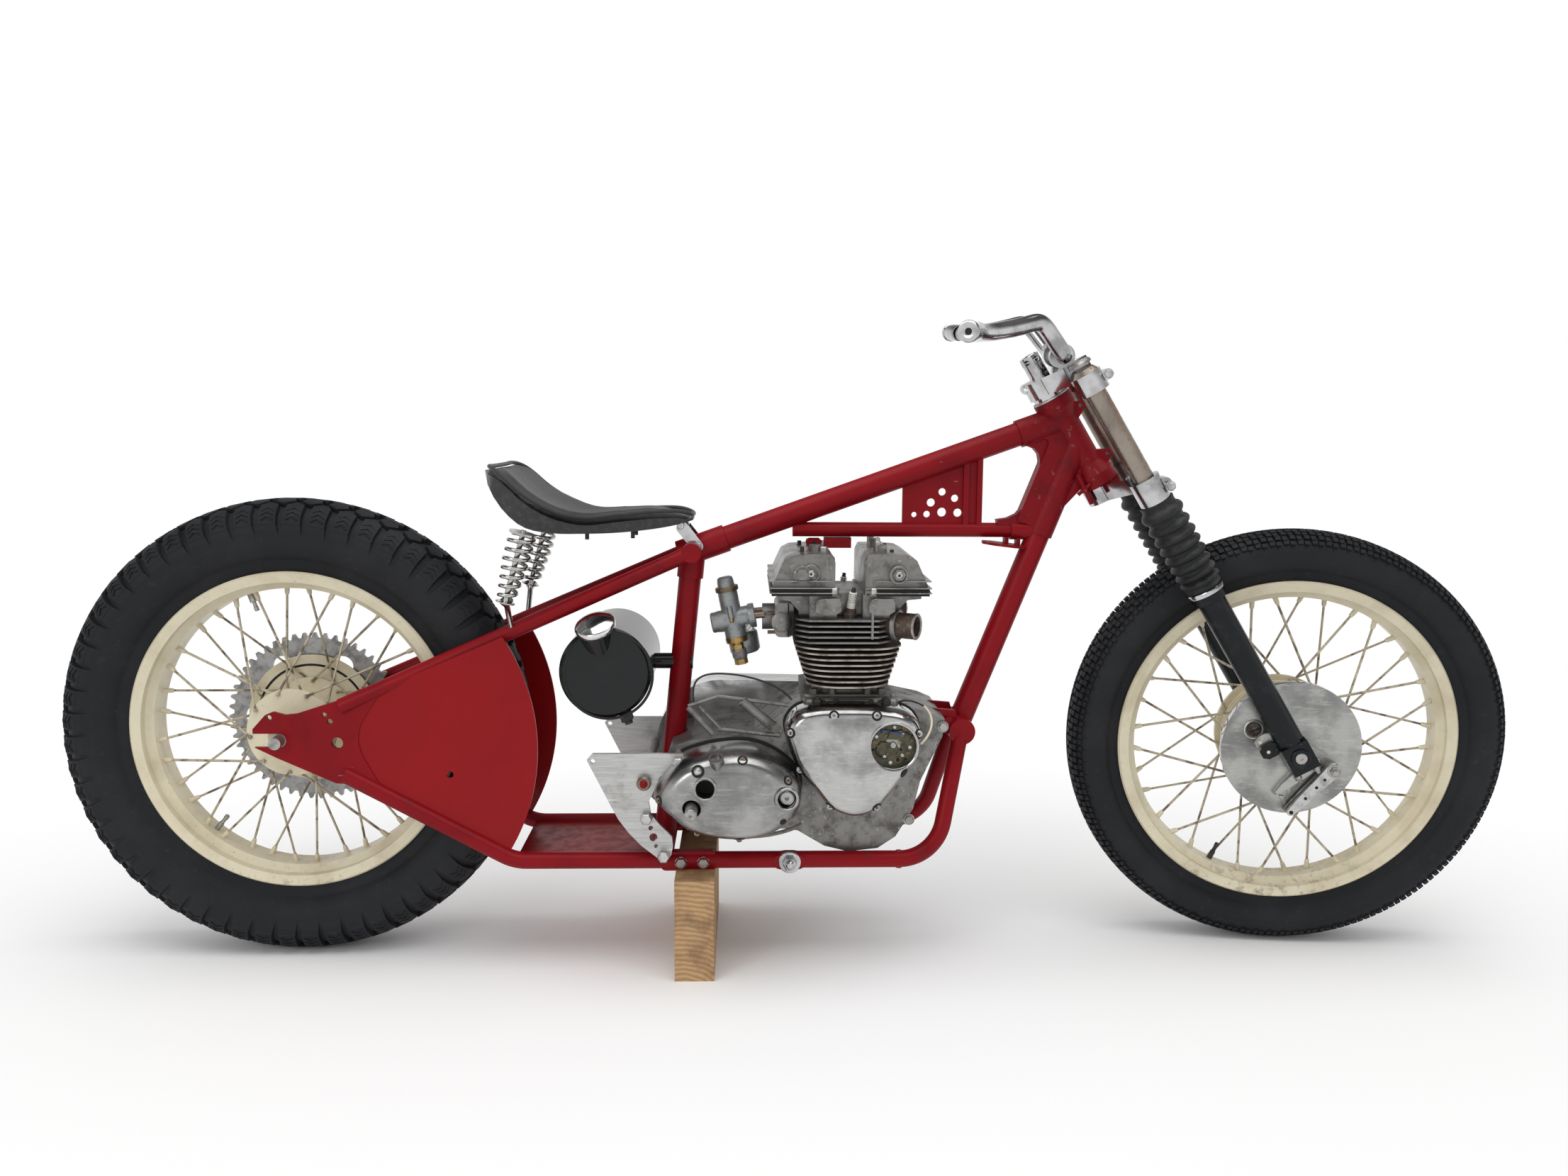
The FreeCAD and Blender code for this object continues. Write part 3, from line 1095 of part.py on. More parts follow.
def build_head():
    """Finned head with a flared neck, four bolt pillars and a plug in each side."""
    parts = [slab(size.barrel_core_x, size.barrel_core_y, joint_z, rocker_z - size.neck_height / 2,
                  size.cover_corner)]
    for index in range(int(size.head_fin_count)):
        low = joint_z + index * size.fin_pitch
        parts.append(slab(size.head_fin_x, size.fin_half_y, low, low + size.fin_thickness,
                          size.head_fin_corner, size.head_fin_set, False))
    fins_top = joint_z + (size.head_fin_count - 1) * size.fin_pitch + size.fin_thickness
    neck_shares = ((0.16, 0.0), (0.16, 0.225), (0.10, 0.64), (0.013, 0.74), (0.0, 1.0), (1.0, 1.0),
                   (1.0, 0.745), (0.907, 0.70), (0.856, 0.386), (0.796, 0.23), (0.796, 0.0))
    low = (barrel_x - size.neck_length / 2, rocker_z - size.neck_height)
    parts.append(prism(profile(neck_shares, low, size.neck_length, size.neck_height),
                       -size.neck_half, size.neck_half))
    plugs = []
    for side in SIDES:
        for lead in SIDES:
            middle = barrel_x + lead * size.pillar_spread
            points = [Vector(middle + x * size.pillar_width / 2, z, 0)
                      for x, z in ((-1, fins_top), (1, fins_top), (1, rocker_z), (-1, rocker_z))]
            parts.append(prism(ring_edges(points), side * size.neck_half,
                               side * (size.neck_half + size.pillar_depth)))
        foot = at(barrel_x, side * size.plug_half, fins_top)
        top = at(barrel_x, side * (size.plug_half + size.plug_lean), fins_top + size.plug_height)
        shoulder = foot + (top - foot) * 0.27
        neck = foot + (top - foot) * 0.8
        plugs.append(hexagon(foot, shoulder, size.plug_radius).multiFuse(
            [cone(shoulder, neck, size.plug_radius * 0.6, size.plug_radius * 0.4),
             bar(neck, top, size.plug_radius * 0.3)]))
    made = parts[0].multiFuse(parts[1:])
    stubs = []
    for side in SIDES:
        way = Rotation(UP, side * size.stub_angle).multVec(FORWARD)
        port = at(barrel_x + size.barrel_core_x, side * size.stub_half, port_z)
        end = port + way * (size.fin_high_x - size.barrel_core_x + size.stub_length) * 0.8
        start = port - way * 1.5 * size.stub_radius
        stubs.append(bar(start, end, size.stub_radius).cut(bar(start, end, size.stub_bore)))
        made = made.cut(bar(start, end, size.stub_radius))
    keep(feature("exhaust_stubs", Part.makeCompound(stubs)), "exhaust_stubs")
    keep(cut("spark_plugs", feature("spark_plugs", Part.makeCompound(plugs)),
             feature("head_for_plugs", made)), "spark_plugs")
    return keep(feature("cylinder_head", made), "cylinder_head")


cylinder_head = build_head()


def build_rocker_boxes():
    """Rocker box over each row of valves, with its foot fins, spindle bosses, caps and nuts."""
    box_shares = ((0.0, 0.0), (0.0, 0.80), (0.05, 1.0), (0.35, 1.0), (0.68, 0.97), (0.82, 0.86),
                  (1.0, 0.25), (1.0, 0.0))
    corners = [0, 0, size.cover_corner / 2, 0, size.cover_corner, size.cover_corner, 0, 0]
    boxes = []
    for side in SIDES:
        inner = barrel_x + side * size.rocker_gap / 2

        def place(out_share, rise_share):
            return Vector(inner + side * out_share * size.rocker_length,
                          rocker_z + rise_share * size.rocker_height, 0)

        body = prism(ring_edges([place(x, z) for x, z in box_shares], corners),
                     -size.rocker_half, size.rocker_half)
        parts = []
        fin = size.fin_thickness
        for low in (size.rocker_fin, size.rocker_fin + 2 * fin):
            points = [place(0.0, 0.0), place(1.04, 0.0)]
            points = [Vector(p.x, rocker_z + rise, 0) for rise, pair in
                      ((low, points), (low + fin, points[::-1])) for p in pair]
            parts.append(prism(ring_edges(points), -size.rocker_half - size.rocker_fin,
                               size.rocker_half + size.rocker_fin))
        for end in SIDES:
            spindle = place(0.53, 0.52)
            face = at(spindle.x, end * size.rocker_half, spindle.y)
            boss = face + ACROSS * end * size.rocker_fin
            parts.append(bar(face, boss, size.rocker_boss))
            parts.append(hexagon(boss, boss + ACROSS * end * size.rocker_cap, size.rocker_cap))
            cap = place(0.30, 1.0)
            foot = at(cap.x, end * size.rocker_half / 2, cap.y - size.rocker_fin)
            parts.append(hexagon(foot, foot + UP * 1.5 * size.rocker_cap, size.rocker_cap))
        boxes.append(body.multiFuse(parts))
    keep(feature("rocker_boxes", Part.makeCompound(boxes)), "rocker_boxes")


build_rocker_boxes()


def build_carburettor():
    """Inlet manifold and slide carburettor: bored barrel, mixing chamber, cap and float bowl."""
    head_x = barrel_x - size.head_fin_set - size.head_fin_x
    rear_x = head_x - size.manifold_length
    low = (rear_x, port_z - size.manifold_height / 2)
    block = prism(profile(((0, 0), (1, 0), (1, 1), (0, 1)), low, size.manifold_length,
                          size.manifold_height, size.cover_corner), -size.manifold_half,
                  size.manifold_half)
    front_face = at(rear_x - size.spacer_length, 0, port_z)
    spacer = bar(front_face, at(rear_x, 0, port_z), size.carb_body)
    keep(feature("inlet_manifold", block.fuse(spacer)), "inlet_manifold")
    mouth = front_face - FORWARD * size.carb_length
    chamber = mouth + FORWARD * size.carb_chamber_lead
    flange = front_face - FORWARD * size.flange_thickness
    chamber_top = chamber + UP * (size.carb_top - size.flange_thickness)
    parts = [bar(mouth, front_face, size.carb_body), bar(chamber, chamber_top, size.carb_body),
             bar(chamber_top, chamber + UP * size.carb_top, size.carb_cap),
             bar(chamber - UP * size.bowl_drop, chamber, size.bowl_radius),
             bar(flange, front_face, size.manifold_half * 0.8)]
    made = parts[0].multiFuse(parts[1:]).removeSplitter()
    made = made.cut(bar(mouth - FORWARD * size.over, chamber, size.carb_bore))
    keep(feature("carburettor", made), "carburettor")


build_carburettor()


def build_engine_plates():
    """Rear engine plates with their holes, bolt heads, a spacer rod and stubs to the case."""
    base = (seat_foot_x - size.engine_plate_back, rail_z + size.engine_plate_lift)
    plate_shares = ((0.0, 0.94), (0.06, 1.0), (1.0, 1.0), (1.02, 0.90), (0.83, 0.81), (0.70, 0.67),
                    (0.64, 0.55), (0.66, 0.44), (0.75, 0.34), (0.83, 0.27), (0.88, 0.22),
                    (0.89, 0.13), (0.87, 0.05), (0.81, 0.0), (0.75, 0.01), (0.56, 0.14),
                    (0.43, 0.26), (0.32, 0.39), (0.23, 0.54))
    hole_shares = ((0.061, 0.93, 0.5), (0.659, 0.308, 0.5), (0.686, 0.221, 0.86), (0.713, 0.139, 0.43))
    bolt_shares = ((0.95, 0.928), (0.595, 0.74), (0.617, 0.41), (0.795, 0.056))
    length, height = size.engine_plate_length, size.engine_plate_height
    made = []
    for side in SIDES:
        edges = profile(plate_shares, base, length, height)
        for x, z, share in hole_shares:
            edges.append(Part.Circle(Vector(base[0] + x * length, base[1] + z * height, 0), UP,
                                     share * size.plate_bolt))
        made.append(plate("engine_plate", edges, "plate_thickness", side * size.engine_plate_half))
    reach = size.engine_plate_half + size.plate_thickness / 2
    bolts = []
    for index, (x, z) in enumerate(bolt_shares):
        place = (base[0] + x * length, base[1] + z * height)
        if index < 2:
            bolts.append(bar(at(place[0], -reach, place[1]), at(place[0], reach, place[1]),
                             size.plate_bolt))
        for side in SIDES[:1] if index == 1 else SIDES:
            face = at(place[0], side * reach, place[1])
            bolts.append(hexagon(face, face + ACROSS * side * size.bolt_head_height, size.bolt_head))
    rods = feature("plate_bolts", Part.makeCompound(bolts))
    together = joined("engine_plates", rods, *made)
    return keep(cut("engine_plates", together, crankcase, seat_tube, gearbox_cover, primary_cover),
                "engine_plates")


build_engine_plates()

# Tank and seat


def build_oil_tank():
    """Round oil tank across the frame, with a leaning flared filler neck and its cap."""
    oil_z = rail_z + size.oil_rise
    oil_x = on_seat_tube(oil_z) - size.seat_tube_radius - size.oil_gap - size.oil_radius
    middle = at(oil_x, 0, oil_z)
    half = ACROSS * size.oil_half
    drum = bar(middle - half, middle + half, size.oil_radius)
    drum = drum.makeChamfer(size.oil_edge, [edge for edge in drum.Edges if edge.Closed])
    root = middle - half + ACROSS * size.oil_neck_in
    neck_end = middle - half + Vector(-size.oil_cap_back, 0, size.oil_cap_rise)
    way = (neck_end - root).normalize()
    pad = bar(middle, at(seat_node_x, 0, oil_z), size.oil_pad)
    tank = drum.multiFuse([cone(root, neck_end, size.oil_neck_root, size.oil_neck_radius), pad])
    keep(cut("oil_tank", feature("oil_tank", tank), seat_tube, upper_stays), "oil_tank")
    cap = bar(neck_end, neck_end + way * size.oil_cap_height, size.oil_cap_radius)
    keep(feature("oil_cap", cap), "oil_cap")


build_oil_tank()

seat_rear_x = seat_node_x - size.seat_back
seat_low_z = seat_node_z + size.seat_lift


def build_seat():
    """Sprung solo seat: a dished shell through sections across it, from tail to nose."""
    # Place along the seat, top and skirt as shares of its height, and half width as a share.
    stations = ((-0.02, 0.98, 0.86, 0.42), (0.03, 0.99, 0.66, 0.82), (0.10, 0.88, 0.38, 0.95),
                (0.20, 0.62, 0.14, 1.0), (0.33, 0.40, 0.05, 0.97), (0.47, 0.28, 0.02, 0.76),
                (0.62, 0.30, 0.01, 0.52), (0.80, 0.34, 0.05, 0.37), (0.94, 0.34, 0.12, 0.30),
                (1.0, 0.28, 0.17, 0.20))
    wires = []
    for along, top, skirt, wide in stations:
        x = seat_rear_x + along * size.seat_length
        crest = seat_low_z + top * size.seat_height
        hem = seat_low_z + skirt * size.seat_height
        half = wide * size.seat_half
        dish = size.seat_skin * wide
        floor = max(hem, crest - dish - 1.6 * size.seat_skin)
        side = [(0.5, crest - 0.6 * dish), (0.84, crest), (0.98, 0.7 * crest + 0.3 * hem), (1.0, hem),
                (0.88, hem), (0.6, 0.5 * (hem + floor))]
        points = [at(x, 0, crest - dish)] + [at(x, y * half, z) for y, z in side]
        points += [at(x, 0, floor)] + [at(x, -y * half, z) for y, z in reversed(side)]
        wires.append(Part.makePolygon(points + points[:1]))
    return keep(feature("seat", Part.makeLoft(wires, True, True)), "seat")


seat = build_seat()


def coil(foot, way, length):
    """Open conical coil round a bolt, narrow at its foot."""
    turn = Rotation(UP, way)
    per_turn = 8
    count = int(size.spring_turn_count * per_turn)
    points = []
    for index in range(count + 1):
        share = index / float(count)
        radius = size.spring_small + (size.spring_coil - size.spring_small) * min(1.0, 1.6 * share)
        angle = 2 * pi * index / per_turn
        points.append(foot + turn.multVec(Vector(radius * cos(angle), radius * sin(angle),
                                                 length * share)))
    frame_turn = Rotation(UP, points[1] - points[0])
    corners = [points[0] + frame_turn.multVec(Vector(size.spring_wire * cos(pi * k / 3),
                                                     size.spring_wire * sin(pi * k / 3), 0))
               for k in range(6)]
    mitred = 1
    return Part.makePolygon(points).makePipeShell([Part.makePolygon(corners + corners[:1])], True,
                                                  True, mitred)


def build_springs():
    """Two conical coil springs on bolts that stand on the upper stays."""
    made = []
    for side in SIDES:
        top_z = seat_low_z + 0.02 * size.seat_height
        top = at(seat_rear_x + size.spring_lead, side * size.spring_half, top_z)
        foot = top + Vector(-size.spring_tilt, 0, -size.spring_length)
        way = (top - foot).normalize()
        stay_start = at(stay_end[0], side * size.rail_half, stay_end[1])
        stay_way = seat_node + ACROSS * side * size.stay_top_half - stay_start
        stay_place = stay_start + stay_way * ((foot.x - stay_start.x) / stay_way.x)
        washer = way * size.spring_washer
        wide = size.spring_coil + size.spring_wire
        narrow = size.spring_small + size.spring_wire
        rod = bar(foot - washer, top + way * 2 * size.seat_skin, size.spring_rod)
        parts = [cone(stay_place, foot - washer, size.spring_rod, narrow),
                 bar(foot - washer, foot, narrow), bar(top, top + washer, wide),
                 coil(foot, way, (top - foot).Length)]
        made.append(rod.multiFuse(parts))
    springs = feature("seat_springs", Part.makeCompound(made))
    keep(cut("seat_springs", springs, upper_stays, side_panels, seat), "seat_springs")


build_springs()


def build_seat_link():
    """Two flat links and their bolts that hinge the seat's nose on the seat cluster."""
    low = seat_node + Vector(size.link_low_lead, 0, size.link_low_rise)
    top = seat_node + Vector(-size.link_back, 0, size.link_rise)
    reach = ACROSS * (size.link_half + 2 * size.panel_thickness)
    parts = []
    for side in SIDES:
        inner = ACROSS * side * size.link_half
        parts.append(strap(low + inner, top + inner, size.link_radius, size.link_radius,
                           ACROSS * side * size.panel_thickness))
    parts += [bar(low - reach, low + reach, size.link_pin), bar(top - reach, top + reach, size.link_pin)]
    ear = ACROSS * size.link_half
    parts.append(strap(top - ear / 2, top - ear / 2 + UP * size.link_radius, size.link_radius,
                       size.link_radius, ear))
    link = feature("seat_link", parts[0].multiFuse(parts[1:]))
    keep(cut("seat_link", link, seat, seat_tube, top_tube), "seat_link")


build_seat_link()

timber = doc.addObject("Part::Box", "timber")
timber.setExpression("Length", "Sizes.block_width")
timber.setExpression("Width", "Sizes.block_length")
timber.setExpression("Height", "Sizes.rail_height - Sizes.rail_radius")
timber.Placement = Placement(at(seat_foot_x + size.block_lead - size.block_width / 2,
                                -size.block_length / 2, 0), Rotation())
keep(cut("wood_block", timber, lower_rails, seat_tube), "wood_block")

# Front end

axle_point = Vector(size.leg_lead, 0, axle_along)
low_clamp = head_low - size.low_clamp_drop
gaiter_low = low_clamp - size.gaiter_length
top_clamp = head_high - size.top_clamp_drop
top_clamp_high = top_clamp + size.top_clamp_height
bridge_low = head_high + size.cover_height
bridge_high = bridge_low + size.top_bridge


def leg(side, low, high, radius):
    """A round bar along one fork leg, in the frame of the front end."""
    start = Vector(size.leg_lead, side * size.leg_half, low)
    return bar(start, start + UP * (high - low), radius)


def build_fork():
    stanchions = []
    for side in SIDES:
        tube = leg(side, gaiter_low, head_high + size.stanchion_rise, size.stanchion_radius)
        foot = Vector(size.leg_lead, side * size.leg_half, top_clamp_high)
        cap = cone(foot, foot + UP * size.cap_height, size.yoke_clamp - size.lug_wall,
                   size.stanchion_radius)
        stanchions.append(tube.fuse(cap))
    keep(feature("stanchions", Part.makeCompound(stanchions), front), "stanchions")
    reach = ACROSS * (size.leg_half + size.front_axle_overhang)
    hole = bar(axle_point - reach, axle_point + reach, size.front_axle_radius)
    sliders = []
    for side in SIDES:
        tube = leg(side, axle_along - size.slider_foot, gaiter_low, size.slider_radius)
        ring = leg(side, gaiter_low - size.ring_height, gaiter_low, size.slider_ring)
        half = size.slider_radius
        block = Part.makeBox(2 * half, 2 * half, size.slider_foot + size.axle_clamp,
                             Vector(size.leg_lead - half, side * size.leg_half - half,
                                    axle_along - size.slider_foot))
        sliders.append(tube.multiFuse([ring, block]).cut(hole))
    keep(feature("sliders", Part.makeCompound(sliders), front), "sliders")
    keep(feature("front_axle", hole, front), "front_axle")
    gaiters = []
    for side in SIDES:
        folds = int(size.gaiter_fold_count)
        neck = size.gaiter_length * size.neck_share
        pitch = (size.gaiter_length - 2 * neck) / folds
        points = [(size.stanchion_radius, gaiter_low), (size.gaiter_valley, gaiter_low)]
        for index in range(folds):
            base = gaiter_low + neck + index * pitch
            points += [(size.gaiter_valley, base), (size.gaiter_radius, base + 0.35 * pitch),
                       (size.gaiter_radius, base + 0.65 * pitch)]
        points += [(size.gaiter_neck, low_clamp - neck), (size.gaiter_neck, low_clamp),
                   (size.stanchion_radius, low_clamp)]
        ring = Part.Face(Part.makePolygon([Vector(x, 0, z) for x, z in points + points[:1]]))
        bellows = ring.revolve(Vector(), UP, 360)
        bellows.translate(Vector(size.leg_lead, side * size.leg_half, 0))
        gaiters.append(bellows)
    keep(feature("gaiters", Part.makeCompound(gaiters), front), "gaiters")


build_fork()


def yoke(low, high, plate_low, plate_high):
    """Two leg clamps with pinch ears and a bridge to the stem, bored for the legs."""
    parts = [leg(side, low, high, size.yoke_clamp) for side in SIDES]
    parts.append(bar(Vector(0, 0, plate_low), Vector(0, 0, plate_high), size.yoke_stem))
    arm = size.yoke_arm
    points = [Vector(-arm, 0, 0), Vector(size.leg_lead - arm, -size.leg_half, 0),
              Vector(size.leg_lead + arm, -size.leg_half, 0), Vector(2 * arm, 0, 0),
              Vector(size.leg_lead + arm, size.leg_half, 0), Vector(size.leg_lead - arm, size.leg_half, 0)]
    face = Part.Face(wire_of(ring_edges(points)))
    face.translate(Vector(0, 0, plate_low))
    parts.append(face.extrude(UP * (plate_high - plate_low)))
    middle = (low + high) / 2
    bores = [leg(side, gaiter_low, top_clamp_high, size.stanchion_radius) for side in SIDES]
    for side in SIDES:
        ear = Vector(size.leg_lead + size.ear_lead, side * size.leg_half, middle)
        half = ACROSS * size.clamp_ear * 1.4
        parts.append(strap(ear - FORWARD * size.clamp_ear - half, ear - half, size.clamp_ear,
                           size.clamp_ear, half * 2))
        bores.append(bar(ear - half * 1.5, ear + half * 1.5, size.ear_hole))
        bores.append(leg(side, high, plate_high + size.over, size.yoke_clamp + size.running_gap))
    return parts[0].multiFuse(parts[1:]).cut(Part.makeCompound(bores))


def build_yokes():
    """Bottom yoke with the stem, and the top yoke with its dust cover and damper knob."""
    crown = head_low - size.running_gap
    bottom = yoke(low_clamp, low_clamp + size.low_clamp_height, crown - size.yoke_plate, crown)
    stem = bar(Vector(0, 0, crown - size.yoke_plate), Vector(0, 0, bridge_low), size.stem_radius)
    keep(feature("bottom_yoke", bottom.fuse(stem), front), "bottom_yoke")
    top = yoke(top_clamp, top_clamp_high, top_clamp_high - size.over, bridge_high)
    cover = bar(Vector(0, 0, head_high + size.running_gap), Vector(0, 0, bridge_low), size.dust_cover)
    eye = Vector(-size.eye_back - size.clamp_ear, 0, head_high + size.eye_rise)
    half = ACROSS * size.clamp_ear
    lug = strap(eye + FORWARD * size.eye_back - half, eye - half, size.clamp_ear, size.clamp_ear, half * 2)
    knob_top = bridge_high + size.damper_height
    knob = bar(Vector(0, 0, bridge_high), Vector(0, 0, knob_top), size.damper_knob)
    top = top.multiFuse([cover, lug, knob]).cut(stem)
    holes = [bar(eye - half * 2, eye + half * 2, size.ear_hole)]
    middle = Vector(0, 0, knob_top - size.damper_knob / 2)
    for turn in range(3):
        way = Rotation(UP, 60 * turn).multVec(FORWARD) * 2 * size.damper_knob
        holes.append(bar(middle - way, middle + way, size.damper_hole))
    top = top.cut(Part.makeCompound(holes))
    keep(feature("top_yoke", top, front), "top_yoke")
    return top


top_yoke_shape = build_yokes()


def build_handlebar():
    """Bar with a low centre, a rise and a sweep back, and the clamps that hold it."""
    height = head_high + size.bar_lift
    flare = size.bar_low_half + size.bar_flare
    lead = size.bar_lead - size.bar_lean
    half_route = [Vector(size.bar_lead, size.bar_low_half, height),
                  Vector(lead, flare, height + size.bar_rise),
                  Vector(lead - size.bar_sweep, flare + size.bar_reach,
                         height + size.bar_rise + size.bar_tip_rise)]
    route = [Vector(p.x, -p.y, p.z) for p in reversed(half_route)] + half_route
    tube = bent_bar(route, size.bar_radius, [size.bar_bend] * 4)
    for end, before in ((route[0], route[1]), (route[-1], route[-2])):
        way = (before - end).normalize()
        tube = tube.fuse(bar(end, end + way * size.sleeve_length, size.sleeve_radius))
    keep(feature("handlebar", tube.removeSplitter(), front), "handlebar")
    clamps = []
    for side in SIDES:
        centre = Vector(size.bar_lead, side * size.riser_half, height)
        half = ACROSS * size.riser_width / 2
        ring = bar(centre - half, centre + half, size.riser_radius)
        foot = bar(Vector(size.bar_lead, side * size.riser_half, bridge_high), centre,
                   size.riser_radius * 0.6)
        cap_foot = centre + UP * size.riser_radius * 0.8
        cap = hexagon(cap_foot, cap_foot + UP * size.bolt_head_height, size.bolt_head)
        clamps.append(ring.multiFuse([foot, cap]).cut(tube))
    clamps = Part.makeCompound(clamps).cut(top_yoke_shape)
    keep(feature("bar_clamps", clamps, front), "bar_clamps")


build_handlebar()


def build_brake_plate():
    """Front brake plate on the right of the wheel, with its rib and lever."""
    face = axle_point - ACROSS * size.brake_face
    disc = bar(face, face + ACROSS * size.brake_depth, size.brake_radius)
    pivot = face + Vector(size.lever_lead, 0, -size.lever_drop)
    out = ACROSS * -size.running_gap * 6
    parts = [strap(face, pivot, size.axle_clamp, size.lever_radius * 1.4, out),
             bar(pivot, pivot + out * 3, size.lever_radius)]
    lever_start = pivot + out * 1.5
    lever_end = lever_start + Vector(-size.lever_length, 0, -size.lever_fall)
    thick = ACROSS * -size.lever_thickness
    lever = strap(lever_start, lever_end, size.lever_radius, size.lever_tip, thick)
    lever = lever.cut(bar(lever_end - thick, lever_end + thick * 2, size.ear_hole))
    reach = ACROSS * (size.leg_half + size.front_axle_overhang)
    made = disc.multiFuse(parts + [lever])
    made = made.cut(bar(axle_point - reach, axle_point + reach, size.front_axle_radius))
    for side in SIDES:
        made = made.cut(leg(side, axle_along - size.slider_foot, gaiter_low, size.slider_radius))
    keep(feature("brake_plate", made, front), "brake_plate")


build_brake_plate()

doc.recompute()
os.makedirs("parts", exist_ok=True)
for obj in doc.Objects:
    if "Invalid" in obj.State or "Error" in obj.State:
        raise RuntimeError("failed to recompute: " + obj.Name)
for obj in pieces:
    if obj.Shape.isNull() or not obj.Shape.isValid() or not obj.Shape.Solids:
        raise RuntimeError("bad shape: " + obj.Label)
    obj.Shape.exportStep(os.path.join("parts", obj.Label + ".step"))
print("%d pieces" % len(pieces))
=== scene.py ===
"""Looks of a stripped chopper motorcycle, laid over its packed construction model.

Blender add-on layout, run as a script. The panel in the 3D view's sidebar lists the
pieces, and its settings hold the sizes and colours that a user would change.
"""

import json
import sys
from math import copysign, cos, hypot, pi, radians, sin, tan

import bmesh
import bpy
from bpy.props import FloatProperty, FloatVectorProperty, IntProperty, PointerProperty
from mathutils import Matrix, Vector
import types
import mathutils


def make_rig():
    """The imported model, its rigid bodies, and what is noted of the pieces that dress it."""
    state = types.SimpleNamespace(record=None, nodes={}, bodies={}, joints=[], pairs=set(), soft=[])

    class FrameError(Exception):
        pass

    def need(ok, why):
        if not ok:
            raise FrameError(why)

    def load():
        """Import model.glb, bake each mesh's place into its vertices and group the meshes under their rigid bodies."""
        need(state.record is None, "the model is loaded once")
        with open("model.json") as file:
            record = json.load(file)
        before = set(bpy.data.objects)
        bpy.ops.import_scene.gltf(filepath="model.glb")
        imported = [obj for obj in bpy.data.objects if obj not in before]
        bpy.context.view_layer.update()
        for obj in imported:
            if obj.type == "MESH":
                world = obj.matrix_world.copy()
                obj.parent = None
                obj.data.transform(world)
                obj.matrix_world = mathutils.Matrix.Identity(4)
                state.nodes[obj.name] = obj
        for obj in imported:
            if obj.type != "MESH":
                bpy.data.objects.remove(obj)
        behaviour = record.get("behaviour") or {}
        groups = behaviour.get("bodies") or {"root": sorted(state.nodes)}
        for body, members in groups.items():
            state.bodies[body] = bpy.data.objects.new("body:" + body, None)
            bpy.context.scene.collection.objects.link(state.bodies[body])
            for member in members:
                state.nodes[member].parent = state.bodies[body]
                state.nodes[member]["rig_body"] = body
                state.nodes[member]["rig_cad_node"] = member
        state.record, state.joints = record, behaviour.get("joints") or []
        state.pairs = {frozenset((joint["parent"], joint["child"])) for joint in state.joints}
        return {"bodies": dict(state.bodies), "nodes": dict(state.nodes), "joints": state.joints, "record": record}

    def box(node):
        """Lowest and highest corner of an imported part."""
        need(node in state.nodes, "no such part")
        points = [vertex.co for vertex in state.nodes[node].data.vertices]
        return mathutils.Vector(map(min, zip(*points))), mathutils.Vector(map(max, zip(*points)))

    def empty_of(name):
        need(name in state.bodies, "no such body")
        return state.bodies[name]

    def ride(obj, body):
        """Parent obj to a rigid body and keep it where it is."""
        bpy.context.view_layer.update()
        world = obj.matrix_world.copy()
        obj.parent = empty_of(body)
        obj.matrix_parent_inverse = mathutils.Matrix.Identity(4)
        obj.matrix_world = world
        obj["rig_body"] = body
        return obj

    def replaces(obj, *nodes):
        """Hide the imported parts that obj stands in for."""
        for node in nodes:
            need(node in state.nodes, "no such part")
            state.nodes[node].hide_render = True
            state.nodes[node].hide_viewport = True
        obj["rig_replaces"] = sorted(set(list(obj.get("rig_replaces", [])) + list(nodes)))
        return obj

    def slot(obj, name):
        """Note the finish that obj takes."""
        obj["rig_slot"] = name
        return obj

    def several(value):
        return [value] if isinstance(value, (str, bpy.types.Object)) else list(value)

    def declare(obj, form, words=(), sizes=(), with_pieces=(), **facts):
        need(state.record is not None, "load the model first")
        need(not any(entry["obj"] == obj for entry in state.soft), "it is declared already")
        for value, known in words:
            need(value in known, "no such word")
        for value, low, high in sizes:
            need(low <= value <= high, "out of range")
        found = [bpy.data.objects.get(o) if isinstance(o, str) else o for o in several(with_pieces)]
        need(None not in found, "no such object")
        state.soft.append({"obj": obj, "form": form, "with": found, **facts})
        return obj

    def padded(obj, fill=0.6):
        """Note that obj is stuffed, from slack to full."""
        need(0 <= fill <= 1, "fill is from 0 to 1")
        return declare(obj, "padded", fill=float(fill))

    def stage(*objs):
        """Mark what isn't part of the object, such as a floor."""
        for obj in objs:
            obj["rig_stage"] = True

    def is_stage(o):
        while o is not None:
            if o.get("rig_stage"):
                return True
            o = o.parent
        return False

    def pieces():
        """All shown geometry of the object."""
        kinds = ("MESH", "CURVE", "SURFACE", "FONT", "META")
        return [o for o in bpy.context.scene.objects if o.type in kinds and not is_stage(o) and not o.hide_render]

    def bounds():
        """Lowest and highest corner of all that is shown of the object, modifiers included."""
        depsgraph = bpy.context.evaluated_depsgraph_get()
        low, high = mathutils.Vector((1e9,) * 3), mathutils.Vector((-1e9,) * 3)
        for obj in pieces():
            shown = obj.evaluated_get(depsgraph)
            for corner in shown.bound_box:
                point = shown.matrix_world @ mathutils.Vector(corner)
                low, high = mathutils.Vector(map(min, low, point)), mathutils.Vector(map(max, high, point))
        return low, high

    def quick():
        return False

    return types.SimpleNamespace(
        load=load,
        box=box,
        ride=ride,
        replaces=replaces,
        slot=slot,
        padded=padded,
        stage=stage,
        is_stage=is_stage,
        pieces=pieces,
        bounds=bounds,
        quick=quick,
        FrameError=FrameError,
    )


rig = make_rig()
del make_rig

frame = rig.load()
CAD_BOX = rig.bounds()

